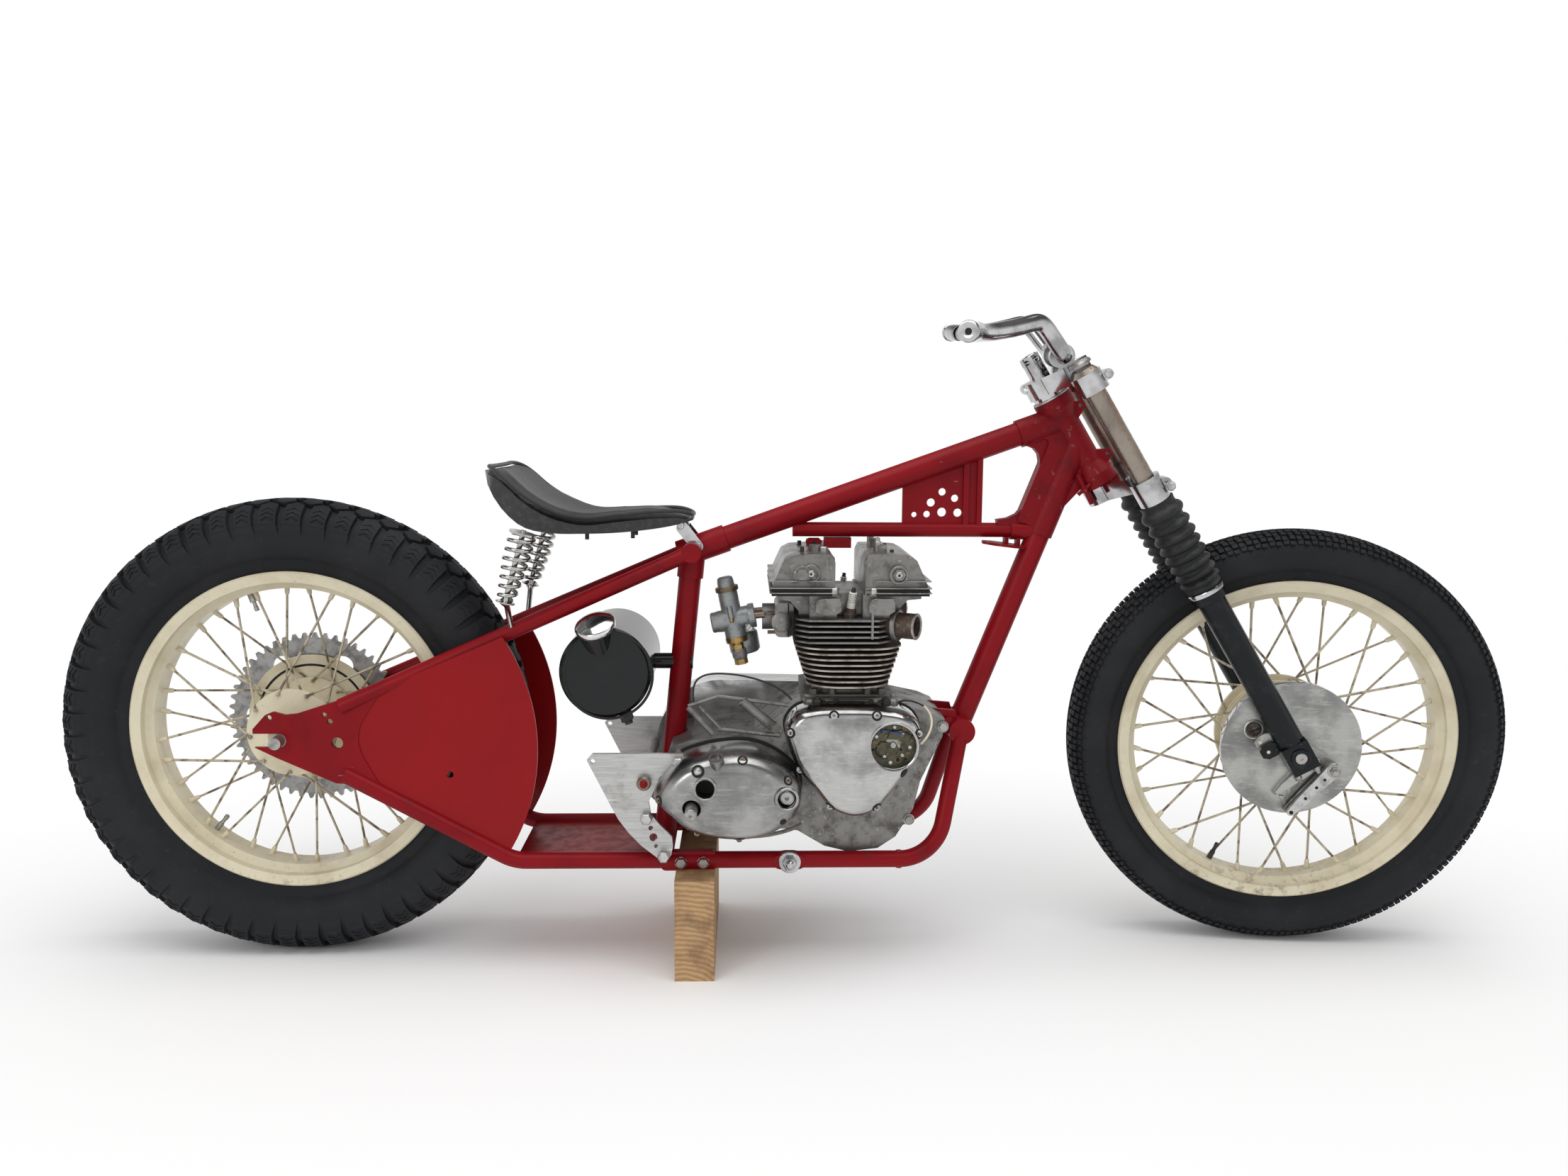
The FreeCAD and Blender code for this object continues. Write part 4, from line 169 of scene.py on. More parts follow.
bl_info = {
    "name": "Chopper looks",
    "version": (1, 0, 0),
    "blender": (4, 5, 0),
    "location": "View3D > Sidebar > Chopper",
    "description": "Detail pieces and materials for the chopper motorcycle",
    "category": "Object",
}

NODES = frame["nodes"]
JOINTS = {joint["name"]: joint for joint in frame["record"]["behaviour"]["joints"]}
MM = 0.001

# Origin of the frame ahead of the rear spindle, in mm, as the model's source places it.
ORIGIN_X = 750.35
FULL = 2 * pi


def at(x, y, z):
    """A place measured in mm ahead of the rear spindle, to the left, and above the floor."""
    return Vector(((x - ORIGIN_X) * MM, y * MM, z * MM))


# Height of the steering joint up its axis, place of the legs beside that axis, and heights of the yokes, in mm.
STEERING_MM, LEG_AHEAD, LEG_HALF, YOKES = 925, 50, 82, (813, 1000)

# The front end's own directions: up the steering axis, to its left and ahead of it.
FORK_UP = Vector(JOINTS["steering"]["axis"])
FORK_LEFT = Vector(JOINTS["front_wheel_spin"]["axis"])
FORK_AHEAD = FORK_LEFT.cross(FORK_UP)
FORK_FOOT = Vector(JOINTS["steering"]["pos_m"]) - FORK_UP * STEERING_MM * MM


def on_fork(ahead, left, along):
    """A place on the front end, in mm from the foot of its steering axis."""
    return FORK_FOOT + (FORK_AHEAD * ahead + FORK_LEFT * left + FORK_UP * along) * MM


def basis(x, y, z, origin):
    """A matrix that puts a shape's own axes along three directions at a place."""
    return Matrix.Translation(origin) @ Matrix((x, y, z)).transposed().to_4x4()


FORK = basis(FORK_AHEAD, FORK_LEFT, FORK_UP, FORK_FOOT)
FORK_SIDE = basis(FORK_AHEAD, FORK_UP, -FORK_LEFT, FORK_FOOT)
FRONT_WHEEL = basis(FORK_AHEAD, FORK_LEFT, FORK_UP, Vector(JOINTS["front_wheel_spin"]["pos_m"]))
REAR_WHEEL = Matrix.Translation(Vector(JOINTS["rear_wheel_spin"]["pos_m"]))


def facing(direction, origin):
    """A matrix that stands a shape's own Z along a direction at a place."""
    return Matrix.Translation(origin) @ direction.to_track_quat("Z", "Y").to_matrix().to_4x4()


# Materials

FINISHES = {}


class Nodes:
    """A node tree in the making, with short calls for the nodes that it uses."""

    def __init__(self, tree):
        self.tree = tree

    def add(self, kind, *values, **inputs):
        """A new node, fed with values in the order of its sockets or by their names."""
        node = self.tree.nodes.new("ShaderNode" + kind)
        for socket, value in zip(node.inputs, values):
            self.feed(socket, value)
        for socket, value in inputs.items():
            self.feed(node.inputs[socket.replace("_", " ")], value)
        return node

    def feed(self, socket, value):
        if isinstance(value, bpy.types.NodeSocket):
            self.tree.links.new(value, socket)
        else:
            socket.default_value = (*value, 1) if socket.type == "RGBA" else value

    def steps(self, value, low, high, start=0.0, end=1.0):
        """The value eased from start to end between low and high."""
        node = self.add("MapRange", Value=value, From_Min=low, From_Max=high, To_Min=start, To_Max=end)
        node.interpolation_type = "SMOOTHSTEP"
        return node.outputs[0]

    def calc(self, operation, one, two=0.0):
        node = self.add("Math", one, two)
        node.operation = operation
        return node.outputs[0]

    def times(self, one, two):
        return self.calc("MULTIPLY", one, two)

    def axis(self, letter, source=None):
        return self.add("SeparateXYZ", source or self.place).outputs["XYZ".index(letter)]

    def blend(self, share, one, two):
        """A number between two, by a share."""
        node = self.tree.nodes.new("ShaderNodeMix")
        self.feed(node.inputs[0], share)
        self.feed(node.inputs[2], one)
        self.feed(node.inputs[3], two)
        return node.outputs[0]


class Finish(Nodes):
    """A material in the making, kept under its name in FINISHES."""

    def __init__(self, name, colour, metal=0.0, rough=0.5, coat=0.0, coat_rough=0.05, specular=0.5):
        self.material = FINISHES[name] = bpy.data.materials.new(name)
        self.material.use_nodes = True
        super().__init__(self.material.node_tree)
        self.shader = self.tree.nodes["Principled BSDF"]
        for socket, value in (("Base Color", (*colour, 1)), ("Metallic", metal), ("Roughness", rough),
                ("Coat Weight", coat), ("Coat Roughness", coat_rough), ("Specular IOR Level", specular)):
            self.shader.inputs[socket].default_value = value
        self.colour = colour
        self.rough = rough
        self.height = None
        coordinates = self.add("TexCoord")
        self.place, self.normal = coordinates.outputs["Object"], coordinates.outputs["Normal"]

    def moved(self, stretch=(1, 1, 1), turn=(0, 0, 0), shift=(0, 0, 0)):
        return self.add("Mapping", Vector=self.place, Scale=stretch, Rotation=turn, Location=shift).outputs[0]

    def grain(self, scale, detail=5, rough=0.55, **where):
        """Noise from 0 to 1 at a scale in cycles per metre."""
        node = self.add("TexNoise", Vector=self.moved(**where), Scale=scale, Detail=detail, Roughness=rough)
        return node.outputs[0]

    def cells(self, scale, edge=False, **where):
        """Distance to the nearest cell's middle or edge."""
        node = self.add("TexVoronoi", Vector=self.moved(**where), Scale=scale)
        node.feature = "DISTANCE_TO_EDGE" if edge else "F1"
        return node.outputs["Distance"]

    def mix(self, share, one, two):
        node = self.tree.nodes.new("ShaderNodeMix")
        node.data_type = "RGBA"
        self.feed(node.inputs[0], share)
        self.feed(node.inputs[6], one)
        self.feed(node.inputs[7], two)
        return node.outputs[2]

    def cover(self, share, colour, rough=None, metal=None):
        """Lays another colour over what is there, where share says."""
        self.colour = self.mix(share, self.colour, colour)
        self.feed(self.shader.inputs["Base Color"], self.colour)
        if rough is not None:
            self.rough = self.blend(share, self.rough, rough)
            self.feed(self.shader.inputs["Roughness"], self.rough)
        if metal is not None:
            socket = self.shader.inputs["Metallic"]
            now = socket.links[0].from_socket if socket.links else socket.default_value
            self.feed(socket, self.blend(share, now, metal))
        return self

    def worn(self, grain, low, high, most, colour, rough=None, metal=None):
        """Covers patches of noise with another colour, up to a share."""
        return self.cover(self.steps(self.grain(*grain), low, high, 0, most), colour, rough, metal)

    def bump(self, grain, distance):
        """Relief from noise, a distance in mm high."""
        return self.relief(self.grain(*grain), distance)

    def relief(self, height, distance):
        """Bump of a height from 0 to 1 that stands a distance in mm high."""
        node = self.add("Bump", Height=height, Distance=distance * MM)
        if self.height is not None:
            self.feed(node.inputs["Normal"], self.height)
        self.height = node.outputs[0]
        self.feed(self.shader.inputs["Normal"], self.height)
        return self


def shade(colour, share):
    """A colour made darker or lighter."""
    return tuple([min(1, c * share) for c in colour])


def frame_red(look):
    """Brushed-on red paint with dust, grime low down and a few bare scratches."""
    paint = Finish("frame_red", look.frame_colour, rough=0.42, coat=0.05, coat_rough=0.22, specular=0.14)
    paint.worn((9, 6), 0.45, 0.8, 1, shade(look.frame_colour, 0.62))
    grime = paint.times(paint.steps(paint.grain(38, 8, 0.65), 0.56, 0.72), paint.steps(paint.axis("Z"), 0.42,
        0.1, 0.12, 0.75))
    paint.cover(grime, (0.06, 0.022, 0.018), 0.7)
    bare = paint.steps(paint.grain(70, 3, stretch=(0.25, 1, 1), turn=(0, 0.6, 0)), 0.735, 0.76)
    paint.cover(paint.times(bare, 0.6), (0.33, 0.2, 0.17), 0.5)
    paint.bump((520, 2), 0.05)
    paint.bump((46, 5), 0.25)


def panel_red(look):
    """Smooth brighter red of the side panels, with fine dust."""
    paint = Finish("panel_red", look.panel_colour, rough=0.34, coat=0.08, coat_rough=0.14, specular=0.16)
    paint.worn((5, 4), 0.35, 0.8, 0.45, (0.165, 0.003, 0.005))
    paint.cover(paint.steps(paint.cells(120), 0.045, 0.03, 0, 0.45), (0.5, 0.25, 0.2), 0.6)
    edge = paint.times(paint.steps(paint.axis("Z"), 0.19, 0.14), paint.steps(paint.grain(60, 8), 0.42, 0.6, 0,
        0.8))
    paint.cover(edge, (0.11, 0.045, 0.032), 0.8)
    paint.bump((320, 2), 0.03)


def cast_red(look):
    """Thick red paint over a rough casting."""
    paint = Finish("cast_red", shade(look.frame_colour, 0.86), rough=0.48, coat=0.04, coat_rough=0.3,
        specular=0.16)
    paint.worn((22, 6), 0.5, 0.75, 0.7, (0.085, 0.004, 0.007), 0.55)
    paint.worn((90, 6), 0.62, 0.7, 0.5, (0.3, 0.1, 0.1), 0.6)
    paint.bump((260, 4, 0.6), 0.35)
    paint.bump((70, 4), 0.5)


def cream(name, look, wear):
    """Cream paint, yellowed, with brown dirt and rust where it has worn."""
    paint = Finish(name, look.wheel_colour, rough=0.4, coat=0.15, coat_rough=0.3)
    paint.worn((14, 5), 0.4, 0.75, 0.6, (0.5, 0.42, 0.27))
    low = paint.steps(paint.axis("Z"), 0.16, 0.05, 0.08, 1.0)
    dirt = paint.times(low, paint.steps(paint.grain(75, 9, 0.7), 0.5, 0.64))
    paint.cover(paint.times(dirt, 0.75), (0.13, 0.085, 0.05), 0.75)
    chips = paint.steps(paint.cells(85), 0.1 * wear, 0.03)
    paint.cover(paint.times(chips, paint.steps(paint.grain(12), 0.45, 0.6)), (0.1, 0.055, 0.035), 0.8)
    paint.bump((210, 4), 0.12)


def spoke_paint(look):
    """Old cream paint on thin wire, rusting through in short lengths."""
    paint = Finish("spoke_cream", (0.47, 0.41, 0.29), rough=0.45)
    paint.worn((60, 6), 0.48, 0.62, 1, (0.16, 0.12, 0.085), 0.6)
    paint.worn((34, 4), 0.58, 0.66, 0.7, (0.6, 0.55, 0.42), 0.4)
    paint.bump((400, 3), 0.08)


def tyre_rubber(look):
    """Black rubber with a brown bloom on its tread and fine moulding grain."""
    rubber = Finish("tyre_rubber", look.rubber_colour, rough=0.6, specular=0.22)
    rubber.worn((11, 6), 0.4, 0.75, 0.8, (0.022, 0.023, 0.026), 0.68)
    rubber.worn((70, 8, 0.7), 0.55, 0.75, 0.5, (0.052, 0.044, 0.038), 0.85)
    rubber.bump((900, 3), 0.05)
    rubber.bump((120, 5), 0.15)


def cast_alloy(name, colour, stain, rough, dirty, fins=None, metal=0.75):
    """Cast aluminium: fine sand grain, grey mottling and brown oil in its low spots. Where fins are given, painted
    shade darkens the gaps between them.
    """
    alloy = Finish(name, colour, metal=metal, rough=rough)
    alloy.worn((24, 7, 0.65), 0.42, 0.68, 0.8, shade(colour, 0.55), rough + 0.12)
    alloy.worn((48, 9, 0.7), 0.62 - 0.2 * dirty, 0.72, dirty, stain, 0.62, metal * 0.5)
    alloy.worn((150, 4), 0.62, 0.7, 0.4, (0.6, 0.59, 0.57), 0.3)
    if fins:
        # Painted shade: near black in the gaps between the head's fins, inside their edges and between two heights.
        inside = alloy.times(alloy.steps(out_from_middle(alloy, *fins), 0.97, 0.86),
            alloy.times(alloy.steps(alloy.axis("Z"), 0.536, 0.532), alloy.steps(alloy.axis("Z"), 0.494, 0.498)))
        alloy.cover(alloy.times(inside, 0.94), (0.018, 0.015, 0.013), 0.7, 0.2)
    alloy.bump((620, 3), 0.12)
    alloy.bump((130, 5), 0.22)


def polished_alloy(name, colour, rough, turn=(0, 0, 0)):
    """Polished aluminium with hairline scratches, smudges and small pits."""
    alloy = Finish(name, colour, metal=1.0, rough=rough)
    alloy.worn((13, 6, 0.6), 0.38, 0.66, 0.85, shade(colour, 0.46), rough + 0.1)
    alloy.worn((95, 9, 0.75), 0.56, 0.7, 0.4, (0.3, 0.29, 0.27), rough + 0.22)
    alloy.cover(alloy.steps(alloy.cells(160), 0.055, 0.03, 0, 0.7), (0.1, 0.095, 0.085), 0.6)
    lines = alloy.grain(240, 6, 0.7, stretch=(0.08, 1, 1), turn=turn)
    alloy.cover(alloy.steps(lines, 0.52, 0.62, 0, 0.3), shade(colour, 1.35), rough * 0.8)
    alloy.relief(lines, 0.03).bump((60, 3), 0.05)


def out_from_middle(finish, middle, half, across):
    """How far out a place lies between the middle of the fins, 0, and their edges, 1."""
    along = finish.calc("ABSOLUTE", finish.calc("SUBTRACT", finish.axis("X"), at(middle, 0, 0).x))
    aside = finish.calc("ABSOLUTE", finish.axis("Y"))
    return finish.calc("MAXIMUM", finish.calc("DIVIDE", along, half * MM), finish.calc("DIVIDE", aside,
        across * MM))


def fin_iron(look):
    """Iron cylinder fins: brown rust between them, bright worn rims."""
    iron = Finish("fin_iron", (0.085, 0.054, 0.036), metal=0.25, rough=0.72)
    iron.worn((65, 8, 0.7), 0.45, 0.66, 1, (0.045, 0.03, 0.022), 0.8)
    iron.worn((30, 5), 0.62, 0.75, 0.35, (0.18, 0.095, 0.05), 0.85)
    far = out_from_middle(iron, 835, 64, 93)
    flat = iron.calc("ABSOLUTE", iron.axis("Z", iron.normal))
    rim = iron.times(iron.steps(far, 0.86, 0.95), iron.steps(flat, 0.7, 0.3))
    worn = iron.times(rim, iron.steps(iron.grain(55, 5), 0.3, 0.56, 0.25, 0.95))
    iron.cover(worn, (0.42, 0.395, 0.36), 0.36, 0.9)
    foot = iron.times(iron.steps(iron.axis("Z"), 0.424, 0.421), iron.steps(iron.grain(40, 6), 0.3, 0.6, 0.6,
        0.95))
    iron.cover(foot, (0.19, 0.18, 0.165), 0.45, 0.7)
    iron.bump((330, 5, 0.7), 0.2)


def chrome(name, colour, rough, rust):
    """Chrome plate with a cloudy haze and pinholes of rust."""
    plate = Finish(name, colour, metal=1.0, rough=rough)
    plate.worn((28, 6), 0.4, 0.68, 0.75, (0.2, 0.2, 0.205), rough + 0.08)
    plate.worn((130, 8, 0.75), 0.66, 0.74, rust, (0.16, 0.1, 0.06), 0.6, 0.3)
    plate.bump((90, 3), 0.03)


def bare_steel(look):
    """Fork tubes: grey-brown steel under old grease, with orange rust on the front."""
    steel = Finish("bare_steel", (0.31, 0.27, 0.23), metal=0.9, rough=0.27)
    steel.cover(steel.steps(steel.grain(26, 6, 0.6, stretch=(1, 1, 0.3)), 0.4, 0.7, 0, 0.8),
        (0.15, 0.125, 0.105), 0.4)
    front = steel.add("VectorMath", steel.normal, FORK_AHEAD)
    front.operation = "DOT_PRODUCT"
    ahead = steel.steps(front.outputs["Value"], 0.1, 0.75, 0.12, 1.0)
    spots = steel.times(ahead, steel.steps(steel.grain(150, 8, 0.75), 0.5, 0.62))
    steel.cover(spots, (0.3, 0.115, 0.03), 0.8, 0.1)
    steel.relief(spots, 0.15).bump((300, 3), 0.05)


def plated_steel(name, colour, rust):
    """Zinc-plated fasteners and brackets, dulled, with brown rust at random."""
    zinc = Finish(name, colour, metal=0.9, rough=0.36)
    zinc.worn((85, 6), 0.42, 0.7, 0.8, shade(colour, 0.5), 0.5)
    zinc.worn((140, 8, 0.7), 0.58, 0.68, rust, (0.16, 0.075, 0.035), 0.8, 0.1)
    zinc.bump((480, 4), 0.08)


def gloss_black(look):
    """Deep gloss black enamel under lacquer, with faint dust."""
    paint = Finish("gloss_black", (0.007, 0.0085, 0.009), rough=0.22, coat=0.22, coat_rough=0.05, specular=0.2)
    paint.cover(paint.steps(paint.cells(140), 0.04, 0.02, 0, 0.4), (0.25, 0.25, 0.25), 0.7)
    paint.worn((20, 6), 0.55, 0.8, 0.25, (0.03, 0.03, 0.032), 0.35)
    paint.bump((150, 2), 0.02)


def leg_black(look):
    """Semi-gloss black of the fork legs, greyed and chipped near the spindle."""
    paint = Finish("leg_black", (0.0055, 0.008, 0.01), rough=0.24, coat=0.12, coat_rough=0.06, specular=0.16)
    paint.worn((35, 7, 0.65), 0.5, 0.72, 0.4, (0.035, 0.042, 0.048), 0.45)
    chips = paint.times(paint.steps(paint.axis("Z"), 0.4, 0.3, 0, 0.5), paint.steps(paint.grain(120, 6), 0.63,
        0.68))
    paint.cover(chips, (0.2, 0.18, 0.16), 0.5, 0.5)
    paint.bump((200, 3), 0.05)


def bellows_rubber(look):
    """Dusty black rubber of the fork gaiters."""
    rubber = Finish("bellows_rubber", (0.01, 0.011, 0.012), rough=0.5, specular=0.3)
    dust = rubber.times(rubber.steps(rubber.axis("Z", rubber.normal), -0.2, 0.9, 0.15, 1.0),
        rubber.steps(rubber.grain(48, 7, 0.65), 0.38, 0.7))
    rubber.cover(rubber.times(dust, 0.75), (0.085, 0.082, 0.078), 0.8)
    rubber.worn((90, 8), 0.66, 0.76, 0.5, (0.12, 0.085, 0.06), 0.9)
    rubber.bump((420, 4), 0.06)


def leather(look):
    """Black leather: fine pebble grain, long creases and a dry sheen."""
    hide = Finish("seat_leather", look.seat_colour, rough=0.48, specular=0.5)
    hide.shader.inputs["Sheen Weight"].default_value = 0.12
    pebble = hide.cells(620, edge=True)
    crease = hide.grain(42, 8, 0.7, stretch=(0.5, 1, 1))
    hide.cover(hide.steps(crease, 0.48, 0.7, 0, 0.8), (0.04, 0.04, 0.042), 0.6)
    hide.worn((12, 4), 0.5, 0.8, 0.5, (0.06, 0.06, 0.062), 0.5)
    hide.relief(hide.steps(pebble, 0.0, 0.25), 0.14)
    hide.relief(crease, 0.35)


def carburettor_zinc(look):
    """Dull die-cast zinc with brass fittings below the float bowl."""
    body = Finish("carburettor_zinc", (0.3, 0.315, 0.32), metal=0.7, rough=0.45)
    body.worn((70, 7, 0.7), 0.45, 0.68, 0.85, (0.135, 0.14, 0.14), 0.6)
    brass = body.steps(body.axis("Z"), 0.4545, 0.4535)
    body.cover(brass, (0.46, 0.3, 0.1), 0.3, 1.0)
    body.worn((110, 8, 0.7), 0.58, 0.7, 0.7, (0.1, 0.065, 0.035), 0.7, 0.2)
    body.bump((420, 4), 0.1)


def brushed_plate(look):
    """Sawn aluminium plate, brushed across, with scratches and oil spots."""
    plate = Finish("brushed_plate", (0.54, 0.54, 0.53), metal=0.9, rough=0.38)
    brush = plate.grain(420, 5, 0.7, stretch=(0.05, 1, 1), turn=(0, 0.5, 0))
    plate.cover(plate.steps(brush, 0.4, 0.65, 0, 0.6), (0.36, 0.36, 0.355), 0.46)
    plate.worn((30, 7), 0.55, 0.75, 0.6, (0.27, 0.255, 0.235), 0.5)
    scratch = plate.grain(60, 3, 0.4, stretch=(0.1, 1, 1), turn=(0, -0.9, 0))
    plate.cover(plate.steps(scratch, 0.68, 0.7, 0, 0.6), (0.75, 0.75, 0.74), 0.25)
    plate.relief(brush, 0.05)


def timber(look):
    """Rough sawn softwood: growth rings on its ends, saw marks and dirt."""
    wood = Finish("timber", (0.4, 0.24, 0.12), rough=0.78, specular=0.2)
    rings = wood.add("TexWave", Vector=wood.moved((1, 0.08, 1), (0.1, 0, 0.06), (0.16, 0, 0.05)), Scale=42,
        Distortion=3.5, Detail=4)
    rings.wave_type, rings.rings_direction = "RINGS", "Y"
    wood.cover(rings.outputs["Fac"], (0.56, 0.37, 0.2))
    wood.worn((24, 7, 0.65), 0.45, 0.72, 0.7, (0.2, 0.11, 0.06), 0.85)
    wood.worn((8, 3), 0.55, 0.7, 0.6, (0.055, 0.038, 0.028), 0.6)
    wood.relief(wood.grain(700, 4, 0.7, stretch=(1, 0.06, 1)), 0.35)
    wood.relief(rings.outputs["Fac"], 0.3)


def rusty_iron(look):
    """Burnt brown exhaust stubs."""
    iron = Finish("rusty_iron", (0.055, 0.037, 0.03), metal=0.4, rough=0.62)
    iron.worn((85, 8, 0.7), 0.42, 0.64, 1, (0.105, 0.068, 0.046), 0.75, 0.2)
    iron.worn((60, 6), 0.58, 0.7, 0.75, (0.22, 0.205, 0.185), 0.4, 0.9)
    iron.bump((380, 5), 0.15)


def plug_finish(look):
    """Spark plug: white glazed insulator above a plated hexagon that has rusted."""
    plug = Finish("plug_finish", (0.34, 0.32, 0.29), metal=0.85, rough=0.35)
    plug.worn((190, 6), 0.45, 0.6, 1, (0.17, 0.085, 0.04), 0.75, 0.2)
    glaze = plug.times(plug.steps(plug.axis("Z"), 0.5445, 0.5455), plug.steps(plug.axis("Z"), 0.5715, 0.5705))
    plug.cover(glaze, (0.8, 0.79, 0.75), 0.12, 0.0)
    plug.bump((300, 3), 0.05)


def solid_finish(name, colour, worn, metal, rough, scale=120):
    """A small part's finish: one colour, a worn second colour in patches, and fine grain."""
    part = Finish(name, colour, metal=metal, rough=rough)
    part.worn((scale, 7, 0.65), 0.45, 0.68, 0.8, worn, min(1, rough + 0.15))
    part.bump((scale * 4, 3), 0.06)


# Shared ways of making a piece


def placed(name, data):
    """A new object that holds some data, in the scene."""
    item = bpy.data.objects.new(name, data)
    bpy.context.scene.collection.objects.link(item)
    return item


def made(name, shape, finish, place=Matrix(), body="frame", slot=None, smooth=True, angle=35):
    """A finished piece riding on a body, from a mesh in place or from a list of shapes and their place."""
    mesh = joined(name, shape, place) if isinstance(shape, list) else shape
    piece = placed(name, mesh)
    mesh.materials.clear()
    mesh.materials.append(FINISHES[finish])
    if smooth:
        mesh.shade_smooth()
        mesh.set_sharp_from_angle(angle=radians(angle))
    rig.ride(piece, body)
    if slot:
        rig.slot(piece, slot)
    return piece


def joined(name, parts, matrix=Matrix()):
    """Shapes and meshes in one mesh, each shape with its own faces pointing outwards."""
    whole = bmesh.new()
    for part in parts:
        scrap = part
        if isinstance(part, bmesh.types.BMesh):
            bmesh.ops.recalc_face_normals(part, faces=part.faces)
            scrap = bpy.data.meshes.new("scrap")
            part.to_mesh(scrap)
        whole.from_mesh(scrap)
        bpy.data.meshes.remove(scrap)
    whole.transform(matrix)
    mesh = bpy.data.meshes.new(name)
    whole.to_mesh(mesh)
    whole.free()
    return mesh


def walls(builder, rings):
    """Faces from each ring of corners to the next, and one over each end."""
    for low, high in zip(rings, rings[1:]):
        for k in range(len(low)):
            n = (k + 1) % len(low)
            builder.faces.new((low[k], low[n], high[n], high[k]))
    builder.faces.new(rings[0][::-1])
    builder.faces.new(rings[-1])


def disc(radius, low, high, steps=48, matrix=Matrix()):
    """A plain round bar or disc between two heights."""
    return lathe([(0, low), (radius, low), (radius, high), (0, high)], steps, matrix)


def oblong(left, low, right, high):
    """Corners of a rectangle."""
    return [(left, low), (right, low), (right, high), (left, high)]


def hexagon(radius, low, high, chamfer=0.0, matrix=Matrix()):
    """A six-sided head, with a radius to its corners."""
    return prism(circle(radius, 6), low, high, chamfer, matrix)


def shift(x, y, z):
    """A matrix that moves a shape by some mm."""
    return Matrix.Translation(Vector((x, y, z)) * MM)


def lathe(points, steps=48, matrix=Matrix(), closed=False):
    """A shape turned about its own Z from (radius, height) points in mm."""
    builder = bmesh.new()
    rings = []
    for radius, height in points:
        if radius < 1e-06:
            rings.append([builder.verts.new((0, 0, height * MM))])
        else:
            rings.append([builder.verts.new((radius * MM * cos(FULL * k / steps),
                radius * MM * sin(FULL * k / steps), height * MM)) for k in range(steps)])
    pairs = list(zip(rings, rings[1:])) + ([(rings[-1], rings[0])] if closed else [])
    for low, high in pairs:
        for k in range(steps):
            n = (k + 1) % steps
            corners = list(dict.fromkeys((low[k % len(low)], low[n % len(low)], high[n % len(high)],
                high[k % len(high)])))
            if len(corners) > 2:
                builder.faces.new(corners)
    builder.transform(matrix)
    return builder


def prism(outline, low, high, chamfer=0.0, matrix=Matrix()):
    """A plate or head from (x, y) corners in mm between two heights, with its top edge chamfered."""
    builder = bmesh.new()
    cx = sum([x for x, y in outline]) / len(outline)
    cy = sum([y for x, y in outline]) / len(outline)
    levels = [(low, 0.0), (high - chamfer, 0.0)] + ([(high, chamfer)] if chamfer else [])
    rings = []
    for height, inset in levels:
        ring = []
        for x, y in outline:
            reach = hypot(x - cx, y - cy)
            share = max(0.0, 1 - inset / reach) if reach else 1
            ring.append(builder.verts.new(((cx + (x - cx) * share) * MM, (cy + (y - cy) * share) * MM,
                height * MM)))
        rings.append(ring)
    walls(builder, rings)
    builder.transform(matrix)
    return builder


def circle(radius, count):
    """Corners of a regular outline."""
    return [(radius * cos(FULL * k / count), radius * sin(FULL * k / count)) for k in range(count)]


def hex_head(across=7.0, height=5.0, washer=8.5, washer_height=1.4):
    """A hexagon head on its washer, with its top corners rounded off."""
    head = hexagon(across, washer_height, washer_height + height, 1.0)
    ring = disc(washer, 0, washer_height, 20)
    return [ring, head]


def bent(points, radius, matrix=Matrix(), cyclic=False, order=4, sides=10):
    """A round bar along a smooth curve through the neighbourhood of some points, as a mesh."""
    data = bpy.data.curves.new("bent", "CURVE")
    data.dimensions = "3D"
    data.bevel_depth = radius * MM
    data.bevel_resolution = max(0, sides // 2 - 2)
    data.use_fill_caps = True
    spline = data.splines.new("NURBS")
    spline.points.add(len(points) - 1)
    for point, place in zip(spline.points, points):
        point.co = (*place, 1)
    spline.order_u = min(order, len(points))
    spline.use_endpoint_u = not cyclic
    spline.use_cyclic_u = cyclic
    spline.resolution_u = 6
    rod = placed("bent", data)
    mesh = bpy.data.meshes.new_from_object(rod.evaluated_get(bpy.context.evaluated_depsgraph_get()))
    bpy.data.objects.remove(rod)
    bpy.data.curves.remove(data)
    mesh.transform(matrix)
    return mesh


# What repeats is placed by one node tree


def repeat_tree():
    """Geometry Nodes that stand a copy of a shape on each point, turned by the point's own attributes."""
    tree = bpy.data.node_groups.new("stand_copies", "GeometryNodeTree")
    for name, kind in (("Geometry", "Geometry"), ("Shape", "Object"), ("Finish", "Material")):
        tree.interface.new_socket(name=name, in_out="INPUT", socket_type="NodeSocket" + kind)
    tree.interface.new_socket(name="Geometry", in_out="OUTPUT", socket_type="NodeSocketGeometry")
    start, end, shape, aim, side, turn, stand, whole, paint = (tree.nodes.new(kind)
        for kind in ("NodeGroupInput", "NodeGroupOutput", "GeometryNodeObjectInfo",
        "GeometryNodeInputNamedAttribute", "GeometryNodeInputNamedAttribute", "FunctionNodeAxesToRotation",
        "GeometryNodeInstanceOnPoints", "GeometryNodeRealizeInstances", "GeometryNodeSetMaterial"))
    for node, name in ((aim, "aim"), (side, "side")):
        node.data_type = "FLOAT_VECTOR"
        node.inputs["Name"].default_value = name
    turn.primary_axis, turn.secondary_axis = "Z", "X"
    for one, output, two, socket in ((start, "Shape", shape, "Object"), (aim, "Attribute", turn,
            "Primary Axis"), (side, "Attribute", turn, "Secondary Axis"), (start, "Geometry", stand, "Points"),
            (shape, "Geometry", stand, "Instance"), (turn, "Rotation", stand, "Rotation"),
            (stand, "Instances", whole, "Geometry"), (whole, "Geometry", paint, "Geometry"),
            (start, "Finish", paint, "Material"), (paint, "Geometry", end, "Geometry")):
        tree.links.new(one.outputs[output], two.inputs[socket])
    return tree


